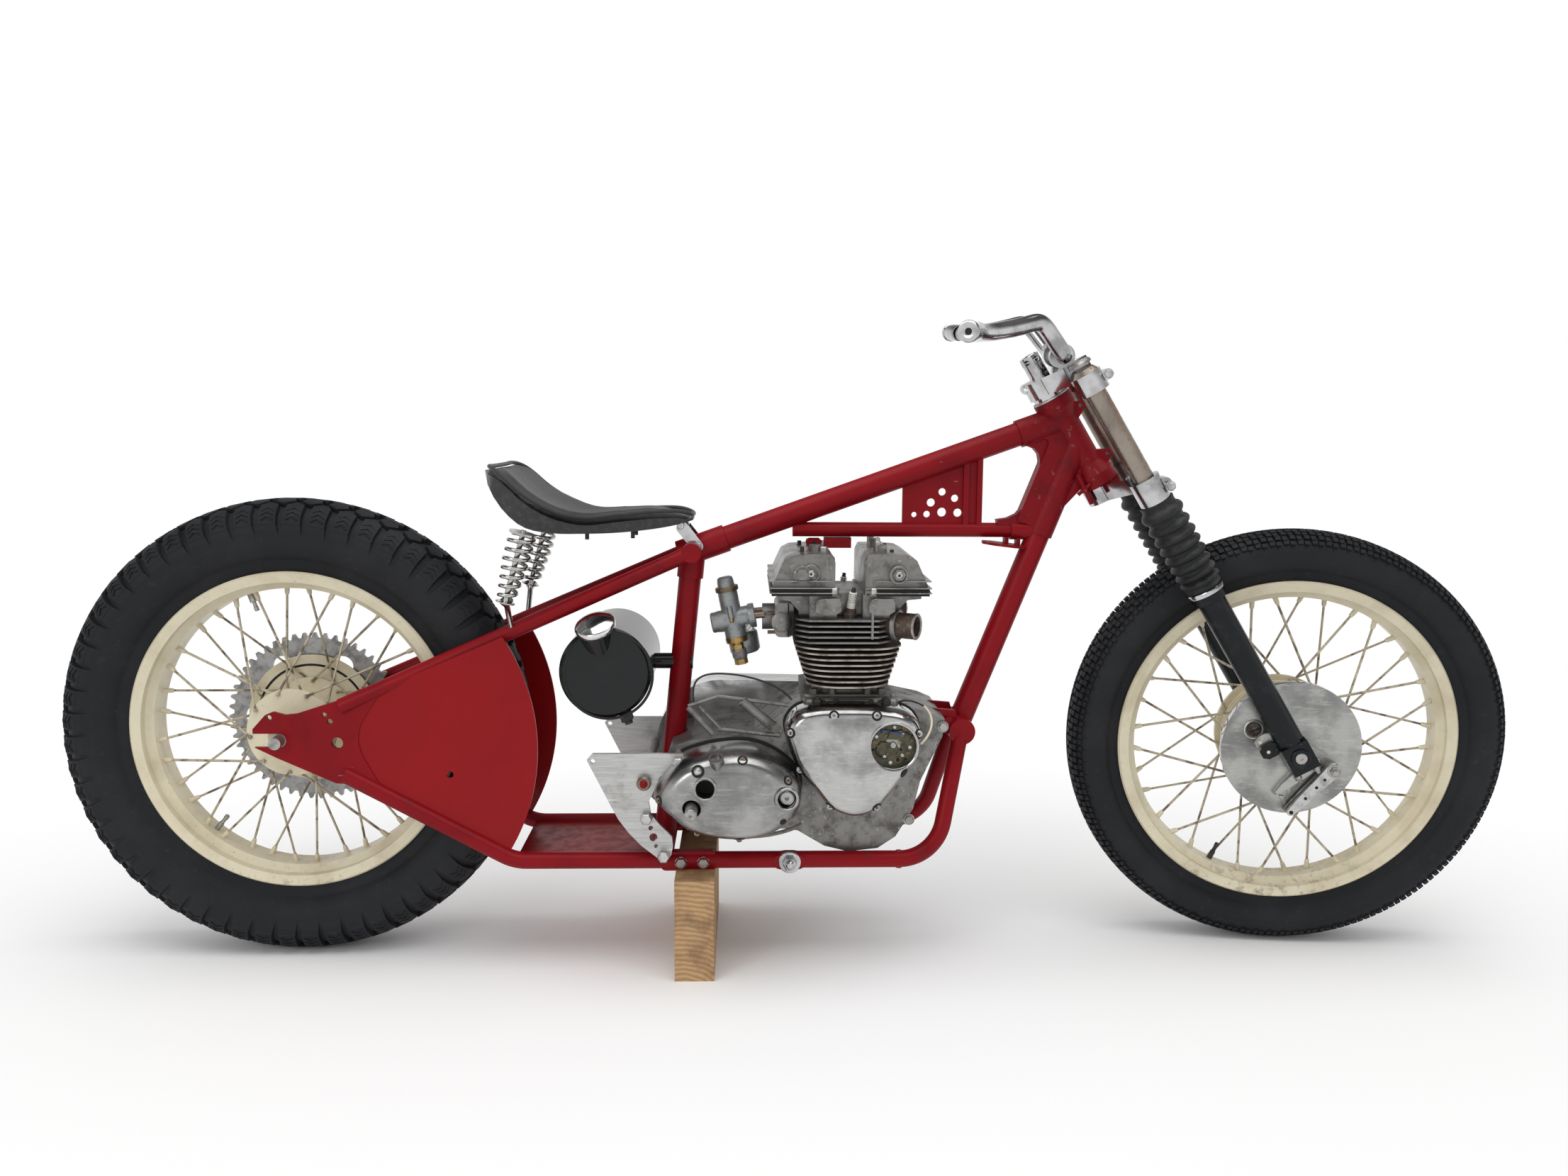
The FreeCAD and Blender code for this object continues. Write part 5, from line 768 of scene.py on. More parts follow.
def copies(name, builders, stands, finish, body="frame", slot=None, smooth=True):
    """One piece made of a shape's copies: stands are (place, aim, side) in the object's frame."""
    tree = bpy.data.node_groups.get("stand_copies") or repeat_tree()
    points = bpy.data.meshes.new(name)
    points.from_pydata([place for place, aim, side in stands], [], [])
    for key, index in (("aim", 1), ("side", 2)):
        attribute = points.attributes.new(key, "FLOAT_VECTOR", "POINT")
        for value, stand in zip(attribute.data, stands):
            value.vector = stand[index]
    shape, carrier = placed("shape", joined("shape", builders)), placed(name, points)
    modifier = carrier.modifiers.new("copies", "NODES")
    modifier.node_group = tree
    sockets = {item.name: item.identifier for item in tree.interface.items_tree if item.in_out == "INPUT"}
    modifier[sockets["Shape"]] = shape
    modifier[sockets["Finish"]] = FINISHES[finish]
    carrier.update_tag()
    depsgraph = bpy.context.evaluated_depsgraph_get()
    mesh = bpy.data.meshes.new_from_object(carrier.evaluated_get(depsgraph), depsgraph=depsgraph)
    for item in (carrier, shape):
        bpy.data.objects.remove(item)
    if not mesh.polygons:
        raise RuntimeError(name + " came out empty")
    for key in ("aim", "side"):
        if key in mesh.attributes:
            mesh.attributes.remove(mesh.attributes[key])
    return made(name, mesh, finish, body=body, slot=slot, smooth=smooth)


RIGHT_SIDE = Vector((0, -1, 0))
LEFT_SIDE = Vector((0, 1, 0))
SKY = Vector((0, 0, 1))
AHEAD = Vector((1, 0, 0))
SIDES = ((-1, "right"), (1, "left"))


def heads(name, builders, places, aim, finish, body="frame"):
    """Bolt heads or nuts of one kind, all facing one way, at places in mm."""
    across = AHEAD if abs(aim.x) < 0.8 else SKY
    return copies(name, builders, [(place, aim, across) for place in places], finish, body)


def dress(node, finish):
    """Gives a model node its material, in every slot that it has."""
    item = NODES[node]
    if not item.material_slots:
        item.data.materials.append(None)
    for place in item.material_slots:
        place.material = FINISHES[finish]


# Finishes that share a function: its arguments, name and colour first.
FINISH_ROWS = (
    (chrome, "chrome", (0.56, 0.56, 0.57), 0.08, 0.25),
    (chrome, "dome_chrome", (0.8, 0.8, 0.81), 0.12, 0.1),
    (chrome, "spring_chrome", (0.5, 0.49, 0.47), 0.14, 0.5),
    (plated_steel, "sprocket_steel", (0.34, 0.335, 0.33), 0.5),
    (plated_steel, "plated_steel", (0.4, 0.39, 0.37), 0.35),
    (plated_steel, "bright_zinc", (0.55, 0.55, 0.54), 0.2),
    (plated_steel, "rusty_fastener", (0.24, 0.18, 0.14), 0.8),
    (plated_steel, "breaker_steel", (0.1, 0.095, 0.065), 0.9),
    (cast_alloy, "case_alloy", (0.24, 0.235, 0.225), (0.075, 0.057, 0.04), 0.4, 0.75),
    # head_alloy's last three numbers place the painted shade between the head's fins: middle, half length and half
    # width in mm.
    (cast_alloy, "head_alloy", (0.245, 0.24, 0.23), (0.11, 0.085, 0.06), 0.4, 0.6, (833.2, 98, 105)),
    (cast_alloy, "box_alloy", (0.225, 0.22, 0.21), (0.08, 0.07, 0.058), 0.33, 0.55),
    (polished_alloy, "cover_alloy", (0.5, 0.5, 0.495), 0.12, (0, 0.5, 0)),
    (polished_alloy, "gear_alloy", (0.4, 0.4, 0.395), 0.24),
    (polished_alloy, "plate_alloy", (0.42, 0.42, 0.405), 0.36, (0, 0.8, 0)),
    (polished_alloy, "clamp_alloy", (0.42, 0.42, 0.42), 0.18),
    # Flat black that paints the shade inside holes, slots, bores and gaps, and is also the real black of the gaskets.
    (solid_finish, "dark_hole", (0.008, 0.008, 0.008), (0.02, 0.017, 0.014), 0, 0.8),
    (solid_finish, "dull_black", (0.014, 0.014, 0.015), (0.045, 0.043, 0.04), 0, 0.5),
    (solid_finish, "porcelain", (0.72, 0.71, 0.66), (0.6, 0.57, 0.5), 0, 0.2, 200),
    (solid_finish, "brass", (0.42, 0.28, 0.1), (0.16, 0.1, 0.045), 1.0, 0.35, 90),
    (solid_finish, "dirty_brass", (0.19, 0.145, 0.085), (0.055, 0.042, 0.03), 0.8, 0.45, 160),
    (solid_finish, "blue_wire", (0.03, 0.09, 0.3), (0.02, 0.04, 0.1), 0, 0.4),
    (solid_finish, "grey_wire", (0.2, 0.19, 0.17), (0.09, 0.08, 0.065), 0, 0.55),
    (solid_finish, "seat_pan", (0.012, 0.012, 0.013), (0.04, 0.04, 0.042), 0, 0.35),
)

# Material of each node that keeps its own shape.
NODE_FINISH = {
    "frame_red": ("top_tube", "down_tube", "seat_tube", "tank_rail", "lower_rails", "upper_stays",
        "axle_plates"),
    "cast_red": ("head_lug",),
    "panel_red": ("side_panels",),
    "wheel_cream": ("front_rim", "rear_rim", "rear_hub"),
    "hub_cream": ("front_hub",),
    "spoke_cream": ("front_spokes", "rear_spokes"),
    "tyre_rubber": ("front_tyre", "rear_tyre"),
    "sprocket_steel": ("rear_sprocket",),
    "plated_steel": ("rear_axle", "front_axle"),
    "case_alloy": ("crankcase",),
    "head_alloy": ("cylinder_head", "inlet_manifold"),
    "box_alloy": ("rocker_boxes",),
    "cover_alloy": ("primary_cover",),
    "fin_iron": ("barrel",),
    "plug_finish": ("spark_plugs",),
    "rusty_iron": ("exhaust_stubs",),
    "carburettor_zinc": ("carburettor",),
    "brushed_plate": ("engine_plates",),
    "gloss_black": ("oil_tank",),
    "dome_chrome": ("oil_cap",),
    "chrome": ("seat_springs", "handlebar", "top_yoke", "bottom_yoke", "seat_link"),
    "clamp_alloy": ("bar_clamps",),
    "seat_leather": ("seat",),
    "bare_steel": ("stanchions",),
    "leg_black": ("sliders",),
    "bellows_rubber": ("gaiters",),
    "plate_alloy": ("brake_plate",),
    "timber": ("wood_block",),
}


def paint_setting(name, description, default):
    """A colour that the panel shows."""
    return FloatVectorProperty(name=name, description=description, subtype="COLOR", size=3, min=0, max=1,
        default=default)


def length_setting(name, description, default, low, high):
    """A length in metres that the panel shows."""
    return FloatProperty(name=name, description=description, subtype="DISTANCE", unit="LENGTH", default=default,
        min=low, max=high)


class ChopperLook(bpy.types.PropertyGroup):
    """Colours and sizes of the finished pieces."""
    frame_colour: paint_setting("Frame paint", "Red of the frame's tubes", (0.245, 0.0035, 0.0085))
    panel_colour: paint_setting("Panel paint", "Red of the side panels", (0.3, 0.003, 0.006))
    wheel_colour: paint_setting("Wheel paint", "Cream of the rims and drums", (0.74, 0.675, 0.5))
    rubber_colour: paint_setting("Rubber", "Black of the tyres", (0.012, 0.013, 0.0155))
    seat_colour: paint_setting("Seat leather", "Black of the saddle", (0.021, 0.021, 0.023))
    rear_lugs: IntProperty(name="Rear tread lugs", description="Shoulder lugs round the rear tyre", default=56,
        min=12, max=90)
    front_lugs: IntProperty(name="Front tread blocks", description="Blocks in one row of the front tyre",
        default=96, min=12, max=140)
    lug_height: length_setting("Lug height", "Depth of the rear tyre's tread", 0.007, 0.001, 0.012)
    spring_wire: length_setting("Spring wire", "Radius of the seat springs' wire", 0.0029, 0.001, 0.005)
    spring_turns: FloatProperty(name="Spring turns", description="Turns of each seat spring", default=7.2,
        min=3, max=12)
    pad_crown: length_setting("Seat padding", "How far the leather may swell", 0.006, 0.001, 0.016)


class Piece(bpy.types.Operator):
    """A step that makes one group of pieces."""
    bl_options = {"REGISTER", "UNDO"}

    def execute(self, context):
        self.make(context.scene.chopper)
        return {"FINISHED"}


# Focal length and width of the photograph, in its own pixels.
PHOTO_FOCAL, PHOTO_WIDTH = 1740.5, 2212


class CHOPPER_OT_stage(bpy.types.Operator):
    """Camera of the photograph, pale floor, soft lamps and white surroundings"""
    bl_idname = "chopper.stage"
    bl_label = "Stage"

    def execute(self, context):
        scene = context.scene
        scene.view_settings.view_transform = "Standard"
        yaw, pitch, roll = radians(-1.735), radians(7.56), radians(0.353)
        turn = Matrix.Rotation(yaw, 3, "Z")
        forward = turn @ Vector((0, cos(pitch), -sin(pitch)))
        right = turn @ Vector((1, 0, 0))
        up = right.cross(forward)
        across = cos(roll) * right + sin(roll) * up
        top = cos(roll) * up - sin(roll) * right
        lens = bpy.data.cameras.new("photo_camera")
        lens.sensor_width = 36.0
        lens.lens = PHOTO_FOCAL / PHOTO_WIDTH * lens.sensor_width
        lens.clip_start = 0.05
        camera = placed("photo_camera", lens)
        camera.matrix_world = basis(across, top, -forward, at(682.8, -1873.9, 812.4))
        scene.camera = camera
        world = bpy.data.worlds.new("surroundings")
        world.use_nodes = True
        sky = Nodes(world.node_tree)
        path = sky.add("LightPath").outputs
        plain = sky.calc("MAXIMUM", path["Is Camera Ray"], path["Is Transmission Ray"])
        seen = sky.calc("MAXIMUM", plain, path["Is Glossy Ray"])
        height = sky.axis("Z", sky.add("TexCoord").outputs["Generated"])
        pale_low = sky.steps(height, 0.16, 0.62, 1.0, 0.16)
        ground = world.node_tree.nodes["Background"].inputs
        sky.feed(ground["Strength"], sky.add("MapRange", Value=seen, To_Min=0.62).outputs[0])
        sky.feed(ground["Color"], sky.blend(seen, 1.0, sky.blend(plain, pale_low, 1.0)))
        scene.world = world
        for name, place, target, size, power in (("overhead", (0.1, -0.6, 3.2), (0, 0, 0.3), (3.6, 2.6), 62),
                ("front_left", (-2.6, -3.4, 2.1), (0, 0, 0.4), (1.6, 1.6), 26)):
            lamp = bpy.data.lights.new(name, "AREA")
            lamp.shape, lamp.size, lamp.size_y, lamp.energy = "RECTANGLE", size[0], size[1], power
            aim = Vector(target) - Vector(place)
            placed(name, lamp).matrix_world = Matrix.Translation(place) @ aim.to_track_quat("-Z",
                "Y").to_matrix().to_4x4()
        builder = bmesh.new()
        bmesh.ops.create_circle(builder, cap_ends=True, segments=96, radius=3.4)
        floor = placed("floor", joined("floor", [builder]))
        pale = Finish("floor_pale", (0.93, 0.93, 0.93), rough=0.9, specular=0.0)
        pale.worn((2.0, 3), 0.3, 0.8, 0.3, (0.92, 0.92, 0.925))
        across_floor = pale.times(pale.axis("X"), 0.52)
        deep = pale.times(pale.axis("Y"), 0.9)
        reach = pale.calc("POWER", pale.calc("ADD", pale.times(across_floor, across_floor),
            pale.times(deep, deep)), 0.5)
        pale.feed(pale.shader.inputs["Alpha"], pale.steps(reach, 0.45, 1.0, 1.0, 0.0))
        floor.data.materials.append(pale.material)
        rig.stage(floor)
        return {"FINISHED"}


class CHOPPER_OT_finishes(bpy.types.Operator):
    """Materials, and one for every node of the model that keeps its own shape"""
    bl_idname = "chopper.finishes"
    bl_label = "Finishes"

    def execute(self, context):
        look = context.scene.chopper
        for paint in (frame_red, panel_red, cast_red, spoke_paint, tyre_rubber, fin_iron, plug_finish,
                rusty_iron, carburettor_zinc, brushed_plate, gloss_black, leg_black, leather, bare_steel,
                bellows_rubber, timber):
            paint(look)
        for name, wear in (("wheel_cream", 1.0), ("hub_cream", 0.5)):
            cream(name, look, wear)
        for make, *row in FINISH_ROWS:
            make(*row)
        for finish, nodes in NODE_FINISH.items():
            for node in nodes:
                dress(node, finish)
        return {"FINISHED"}


# Wheels

# Outer radius and rim radius of each tyre, in mm.
REAR_RADIUS, REAR_RIM, FRONT_RADIUS, FRONT_RIM = 349.3, 242.5, 325.0, 255.0


def section_of(crown, half, rim):
    """The tyre's rounded section: gives radius, distance across and outward way at an angle from the crown."""
    middle = (crown + rim + 8) / 2
    tall = crown - middle

    def section(turn):
        def spot(angle):
            s, c = sin(angle), cos(angle)
            return middle + tall * copysign(abs(c) ** 0.86, c), half * copysign(abs(s) ** 0.86, s)
        r, y = spot(turn)
        r0, y0 = spot(turn - 0.02)
        r1, y1 = spot(turn + 0.02)
        length = hypot(r1 - r0, y1 - y0)
        return r, y, (y1 - y0) / length, -(r1 - r0) / length
    return section


def tread_block(section, pitch, stations, height, slope=0.05):
    """One block of rubber on a tyre, from strips (angle from the crown, left, right, share of height)."""
    builder = bmesh.new()
    rows = []
    for turn, left, right, share in stations:
        r, y, nr, ny = section(turn)
        slope_here = min(slope, (right - left) / 3)
        row = []
        for where, lift in ((left, -2), (left + slope_here, share * height), (right - slope_here,
                share * height), (right, -2)):
            far, angle = r + nr * lift, where * pitch
            row.append(builder.verts.new((far * cos(angle) * MM, far * sin(angle) * MM, (y + ny * lift) * MM)))
        rows.append(row)
    walls(builder, rows)
    return builder


def wheel_ring(wheel, count, start=0.0):
    """Stands for copies round a wheel, each turned to the next place on it."""
    middle = wheel.translation
    turn = wheel.to_3x3()
    axle = turn @ LEFT_SIDE
    return [(middle, axle, turn @ Vector((cos(FULL * (k + start) / count), 0,
        -sin(FULL * (k + start) / count)))) for k in range(count)]


def carcass(name, section, wheel, rim, rim_half, body):
    """The tyre under its tread: a smooth round section down to its beads in the rim."""
    turns = [-2.5 + 5.0 * k / 40 for k in range(41)]
    points = [section(turn)[:2] for turn in turns]
    points = [(rim - 9, -rim_half + 8), (rim - 2, -rim_half + 3.5)] + points + [(rim - 2, rim_half - 3.5),
        (rim - 9, rim_half - 8)]
    builder = lathe(points, 144, closed=True)
    tip = Matrix.Rotation(radians(-90), 4, "X")
    piece = made(name, [builder], "tyre_rubber", wheel @ tip, body=body, slot="tyre_rubber", angle=60)
    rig.replaces(piece, body.replace("_wheel", "_tyre"))
    return piece


class CHOPPER_OT_rear_tyre(Piece):
    """Rear tyre with a block tread and deep notched shoulder lugs"""
    bl_idname = "chopper.rear_tyre"
    bl_label = "Rear tyre"

    def make(self, look):
        height = look.lug_height / MM
        section = section_of(REAR_RADIUS - height, 56.0, REAR_RIM)
        carcass("rear_carcass", section, REAR_WHEEL, REAR_RIM, 40, "rear_wheel")
        pitch = FULL / look.rear_lugs
        blocks = []
        for side, shift in ((1, 0.0), (-1, 0.5)):
            def block(stations, lift=height, slope=0.05):
                return tread_block(section, pitch, [(side * u, left + shift, right + shift, share)
                    for u, left, right, share in stations], lift, slope)
            blocks.append(block(((0.44, -0.05, 0.05, 0.95), (0.58, -0.38, 0.38, 1.0), (0.8, -0.39, 0.39, 1.0),
                (1.02, -0.39, 0.39, 0.9), (1.24, -0.41, 0.41, 0.75), (1.27, -0.42, 0.42, 0.55),
                (1.42, -0.455, 0.455, 0.35), (1.6, -0.499, 0.499, 0.0))))
            blocks.append(block(((0.13, 0.2, 0.8, 1.0), (0.3, 0.08, 0.92, 1.0), (0.37, 0.12, 0.88, 1.0),
                (0.5, 0.44, 0.56, 0.95))))
            for low in (0.74, 0.89, 1.04):
                for way in (1, -1):
                    tip, foot = (-0.03 * way, 0.04 * way), (0.2 * way, 0.28 * way)
                    blocks.append(block(((low, min(tip), max(tip), 1.14 - 0.16 * (low - 0.7)),
                        (low + 0.1, min(foot), max(foot), 1.06 - 0.16 * (low - 0.7))), slope=0.015))
        blocks.append(tread_block(section, pitch, ((-0.1, -0.42, 0.42, 1.0), (0.0, -0.4, 0.44, 1.02),
            (0.1, -0.42, 0.42, 1.0)), height))
        copies("rear_tread", blocks, wheel_ring(REAR_WHEEL, look.rear_lugs), "tyre_rubber", body="rear_wheel",
            slot="tyre_rubber", smooth=False)


class CHOPPER_OT_front_tyre(Piece):
    """Front tyre with rows of small bricks, staggered round its crown"""
    bl_idname = "chopper.front_tyre"
    bl_label = "Front tyre"

    def make(self, look):
        section = section_of(FRONT_RADIUS, 42.8, FRONT_RIM)
        carcass("front_carcass", section, FRONT_WHEEL, FRONT_RIM, 31, "front_wheel")
        pitch = FULL / look.front_lugs
        blocks = []
        rows = ((0.05, 0.27, 0.0, 1.0), (0.31, 0.53, 0.5, 1.0), (0.57, 0.8, 0.0, 0.95), (0.84, 1.04, 0.5, 0.7))
        for side, shift in ((1, 0.0), (-1, 0.27)):
            for low, high, start, share in rows:
                middle = (low + high) / 2
                for left, right in ((0.07, 0.5), (0.53, 0.93)):
                    drop = 0.0 if left < 0.5 else 0.035
                    blocks.append(tread_block(section, pitch, [(side * (u + drop), start + shift + left,
                        start + shift + right, share) for u in (low, middle, high - 0.02)], 4.6, 0.04))
            blocks.append(tread_block(section, pitch, [(side * 1.08, shift + 0.1, shift + 0.2, 0.35),
                (side * 1.26, shift + 0.13, shift + 0.17, 0.1)], 4.6))
        copies("front_tread", blocks, wheel_ring(FRONT_WHEEL, look.front_lugs), "tyre_rubber",
            body="front_wheel", slot="tyre_rubber", smooth=False)


def spoke_ends(hub_radius, half, rim_radius):
    """Hub end and rim end of each spoke, in mm in its wheel's own frame, as the model places them."""
    ends = []
    for side in (-1, 1):
        for index in range(9):
            for lead in (-1, 1):
                angle = radians((index + side / 4 + lead / 8) * 40)
                far = angle + radians(lead * 31)
                hub, rim = hub_radius - 3.8, rim_radius - 24
                ends.append((Vector((hub * cos(angle), side * half + lead * 4.5, hub * sin(angle))),
                    Vector((rim * cos(far), side * 6, rim * sin(far)))))
    return ends


class CHOPPER_OT_wheel_fittings(Piece):
    """Spoke nipples on their dimples, spoke heads at the hubs, valves and hub details"""
    bl_idname = "chopper.wheel_fittings"
    bl_label = "Wheel fittings"

    def make(self, look):
        nipple = [lathe([(0, -1.5), (8.5, -1.5), (6.2, 0.5), (4.4, 3.5), (3.9, 6), (3.6, 13), (3.0, 15.5),
            (2.4, 17), (0, 17)], 12)]
        head = [lathe([(0, -2.4), (2.6, -2.0), (3.4, 0), (2.6, 2.0), (0, 2.4)], 10)]
        for wheel, name, hub, half, rim in ((REAR_WHEEL, "rear", 66, 44, REAR_RIM),
                (FRONT_WHEEL, "front", 92, 34, FRONT_RIM)):
            body = name + "_wheel"
            turn = wheel.to_3x3()
            at_rim, at_hub = [], []
            for start, end in spoke_ends(hub, half, rim):
                way = (turn @ (start - end)).normalized()
                side = way.orthogonal().normalized()
                at_rim.append((wheel @ (end * MM), way, side))
                at_hub.append((wheel @ ((start + (start - end).normalized() * 2) * MM), way, side))
            copies(name + "_nipples", nipple, at_rim, "wheel_cream", body=body, slot="cream_paint")
            copies(name + "_spoke_heads", head, at_hub, "spoke_cream", body=body, slot="cream_paint")
        for name, wheel, angle, rim, finish in (("front_valve", FRONT_WHEEL, -145.8, 231, "dull_black"),
                ("rear_valve", REAR_WHEEL, -130, 219, "plated_steel"), ("rear_rim_lock", REAR_WHEEL, 108.5, 219,
                "plated_steel")):
            way = Vector((cos(radians(angle)), 0, sin(radians(angle))))
            turn = wheel.to_3x3()
            thick = 1.35 if name == "rear_rim_lock" else 1.0
            made(name, [lathe([(0, -1), (7, -1), (7, 2), (4.2 * thick, 3), (4.0 * thick, 17), (3.0, 18),
                (3.0, 25), (3.6, 25.5), (3.6, 31), (2.6, 32), (0, 32)], 18)], finish,
                facing(turn @ -way, wheel @ (way * rim * MM)), body=name.split("_")[0] + "_wheel")
        tip = Matrix.Rotation(radians(-90), 4, "X")
        made("drum_ribs", [lathe([(90.5, y), (93.6, y + 0.8), (93.6, y + 2.0), (90.5, y + 2.8)], 72,
            closed=True) for y in (-29, -24.5, -20, -15.5, -11)], "hub_cream", FRONT_WHEEL @ tip,
            body="front_wheel", slot="cream_paint")
        made("drum_back", [lathe([(58, 49), (97, 49), (100.5, 50.5), (100.5, 53.4), (58, 53.4)], 72,
            closed=True)], "hub_cream", REAR_WHEEL @ tip, body="rear_wheel", slot="cream_paint")
        # A thin black ring paints the shade in the step of the drum's back.
        made("drum_step", [lathe([(83, 48.6), (86.5, 48.6), (86.5, 49.4), (83, 49.4)], 72, closed=True)],
            "dark_hole", REAR_WHEEL @ tip, body="rear_wheel")
        heads("sprocket_bolts", hex_head(6.5, 4.5, 8, 1.2),
            [REAR_WHEEL @ (Vector((49 * cos(FULL * (k + 0.5) / 6), 62.5, 49 * sin(FULL * (k + 0.5) / 6))) * MM)
            for k in range(6)], LEFT_SIDE, "plated_steel", body="rear_wheel")


# Seat and springs

SEAT_TAIL, SEAT_LOW, SEAT_LENGTH, SEAT_HEIGHT, SEAT_HALF = 306.0, 652.0, 296.0, 103.0, 124.0

# Size in metres of the cells that the pad is made from before it swells.
SEAT_VOXEL = 0.005

# Place along the seat, top and skirt as shares of its height, and half width as a share.
SEAT_STATIONS = ((-0.02, 0.98, 0.86, 0.42), (0.03, 0.99, 0.66, 0.82), (0.1, 0.88, 0.38, 0.95),
    (0.2, 0.62, 0.14, 1.0), (0.33, 0.4, 0.05, 0.97), (0.47, 0.28, 0.02, 0.76), (0.62, 0.3, 0.01, 0.52),
    (0.8, 0.34, 0.05, 0.37), (0.94, 0.34, 0.12, 0.3), (1.0, 0.28, 0.17, 0.2))


def eased(rows, count):
    """Rows of numbers made smooth: a spline through them, in count equal steps along the first number."""
    made_rows = []
    for k in range(count + 1):
        want = rows[0][0] + (rows[-1][0] - rows[0][0]) * k / count
        i = max([j for j in range(len(rows) - 1) if rows[j][0] <= want + 1e-09])
        p1, p2 = rows[i], rows[i + 1]
        p0, p3 = rows[max(0, i - 1)], rows[min(len(rows) - 1, i + 2)]
        t = (want - p1[0]) / (p2[0] - p1[0])
        row = [want]
        for c in range(1, len(p1)):
            m1 = (p2[c] - p0[c]) / (p2[0] - p0[0]) * (p2[0] - p1[0])
            m2 = (p3[c] - p1[c]) / (p3[0] - p1[0]) * (p2[0] - p1[0])
            row.append((2 * t ** 3 - 3 * t * t + 1) * p1[c] + (t ** 3 - 2 * t * t + t) * m1
                + (3 * t * t - 2 * t ** 3) * p2[c] + (t ** 3 - t * t) * m2)
        made_rows.append(row)
    return made_rows


def seat_ring(along, top, skirt, wide, low, grow=0.0):
    """Corners across the seat's upper part, from the middle of its dish round its edge."""
    x = SEAT_TAIL + along * SEAT_LENGTH
    crest = SEAT_LOW + top * SEAT_HEIGHT + grow
    hem = SEAT_LOW + skirt * SEAT_HEIGHT
    half = wide * SEAT_HALF + grow
    dish = 9.0 * wide
    under = max(hem + 2, crest - low)
    line = [(0, crest - dish), (0.25, crest - 0.92 * dish), (0.5, crest - 0.62 * dish),
        (0.72, crest - 0.2 * dish), (0.87, crest), (0.95, crest - 0.1 * (crest - under)),
        (1.0, crest - 0.45 * (crest - under)), (0.97, crest - 0.85 * (crest - under)), (0.85, under)]
    return [at(x, y * half, z) for y, z in line] + [at(x, -y * half, z) for y, z in reversed(line[1:])]


class CHOPPER_OT_seat(Piece):
    """Sprung saddle: padded leather, a piped edge and the black pan under it"""
    bl_idname = "chopper.seat"
    bl_label = "Seat"

    def make(self, look):
        rows = eased(SEAT_STATIONS, 44)
        builder = bmesh.new()
        rings = [[builder.verts.new(p) for p in seat_ring(*row, 16, -2.6)] for row in rows]
        walls(builder, rings)
        pad = placed("seat_pad", joined("seat_pad", [builder]))
        bpy.context.view_layer.objects.active = pad
        pad.select_set(True)
        remesh = pad.modifiers.new("remesh", "REMESH")
        remesh.mode, remesh.voxel_size = "VOXEL", SEAT_VOXEL
        bpy.ops.object.modifier_apply(modifier="remesh")
        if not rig.quick():
            before = [vertex.co.copy() for vertex in pad.data.vertices]
            cloth = pad.modifiers.new("cloth", "CLOTH")
            cloth.settings.use_pressure = True
            cloth.settings.uniform_pressure_force = 4
            cloth.settings.effector_weights.gravity = 0
            cloth.settings.quality = 5
            scene = bpy.context.scene
            for step in range(1, 21):
                scene.frame_set(step)
            bpy.ops.object.modifier_apply(modifier="cloth")
            scene.frame_set(1)
            for vertex, old in zip(pad.data.vertices, before):
                moved = vertex.co - old
                if moved.length > look.pad_crown:
                    vertex.co = old + moved.normalized() * look.pad_crown
        smooth = pad.modifiers.new("smooth", "SMOOTH")
        smooth.factor, smooth.iterations = 0.5, 4
        bpy.ops.object.modifier_apply(modifier="smooth")
        fine = pad.modifiers.new("fine", "SUBSURF")
        fine.levels = fine.render_levels = 1
        bpy.ops.object.modifier_apply(modifier="fine")
        mesh = pad.data
        bpy.data.objects.remove(pad)
        pad = made("seat_pad", mesh, "seat_leather", slot="seat_leather", angle=80)
        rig.padded(pad, fill=0.8)
        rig.replaces(pad, "seat")
        edge = []
        for along, top, skirt, wide in eased(SEAT_STATIONS, 26):
            x = SEAT_TAIL + along * SEAT_LENGTH
            edge.append((x, wide * SEAT_HALF, SEAT_LOW + top * SEAT_HEIGHT, SEAT_LOW + skirt * SEAT_HEIGHT))
        loop = [(max(x, SEAT_TAIL + 6), h * 0.955, crest - 3.6) for x, h, crest, hem in edge]
        loop += [(x, -y, z) for x, y, z in reversed(loop)]
        made("seat_piping", bent([at(*p) for p in loop], 3.1, cyclic=True, order=3, sides=10), "seat_leather",
            slot="seat_leather", angle=60)
        builder = bmesh.new()
        pans = []
        for x, half, crest, hem in edge:
            under = max(hem + 0.5, crest - 17)
            line = [(1.0, under + 2.5), (1.0, hem), (0.93, hem - 0.5), (0.9, under - 5), (0.5, under - 9)]
            pans.append([builder.verts.new(at(x, y * half, max(z, hem)))
                for y, z in line] + [builder.verts.new(at(x, -y * half, max(z, hem)))
                for y, z in reversed(line)])
        walls(builder, pans)
        made("seat_pan", [builder], "seat_pan", slot="black_paint", angle=40)
        heads("seat_studs", [lathe([(0, -11), (3, -11), (3, 0), (6, 0), (6, 2), (0, 2)], 12)],
            [at(448, -60, SEAT_LOW + 2), at(512, -28, SEAT_LOW + 1), at(448, 60, SEAT_LOW + 2),
            at(512, 28, SEAT_LOW + 1)], SKY, "dull_black")


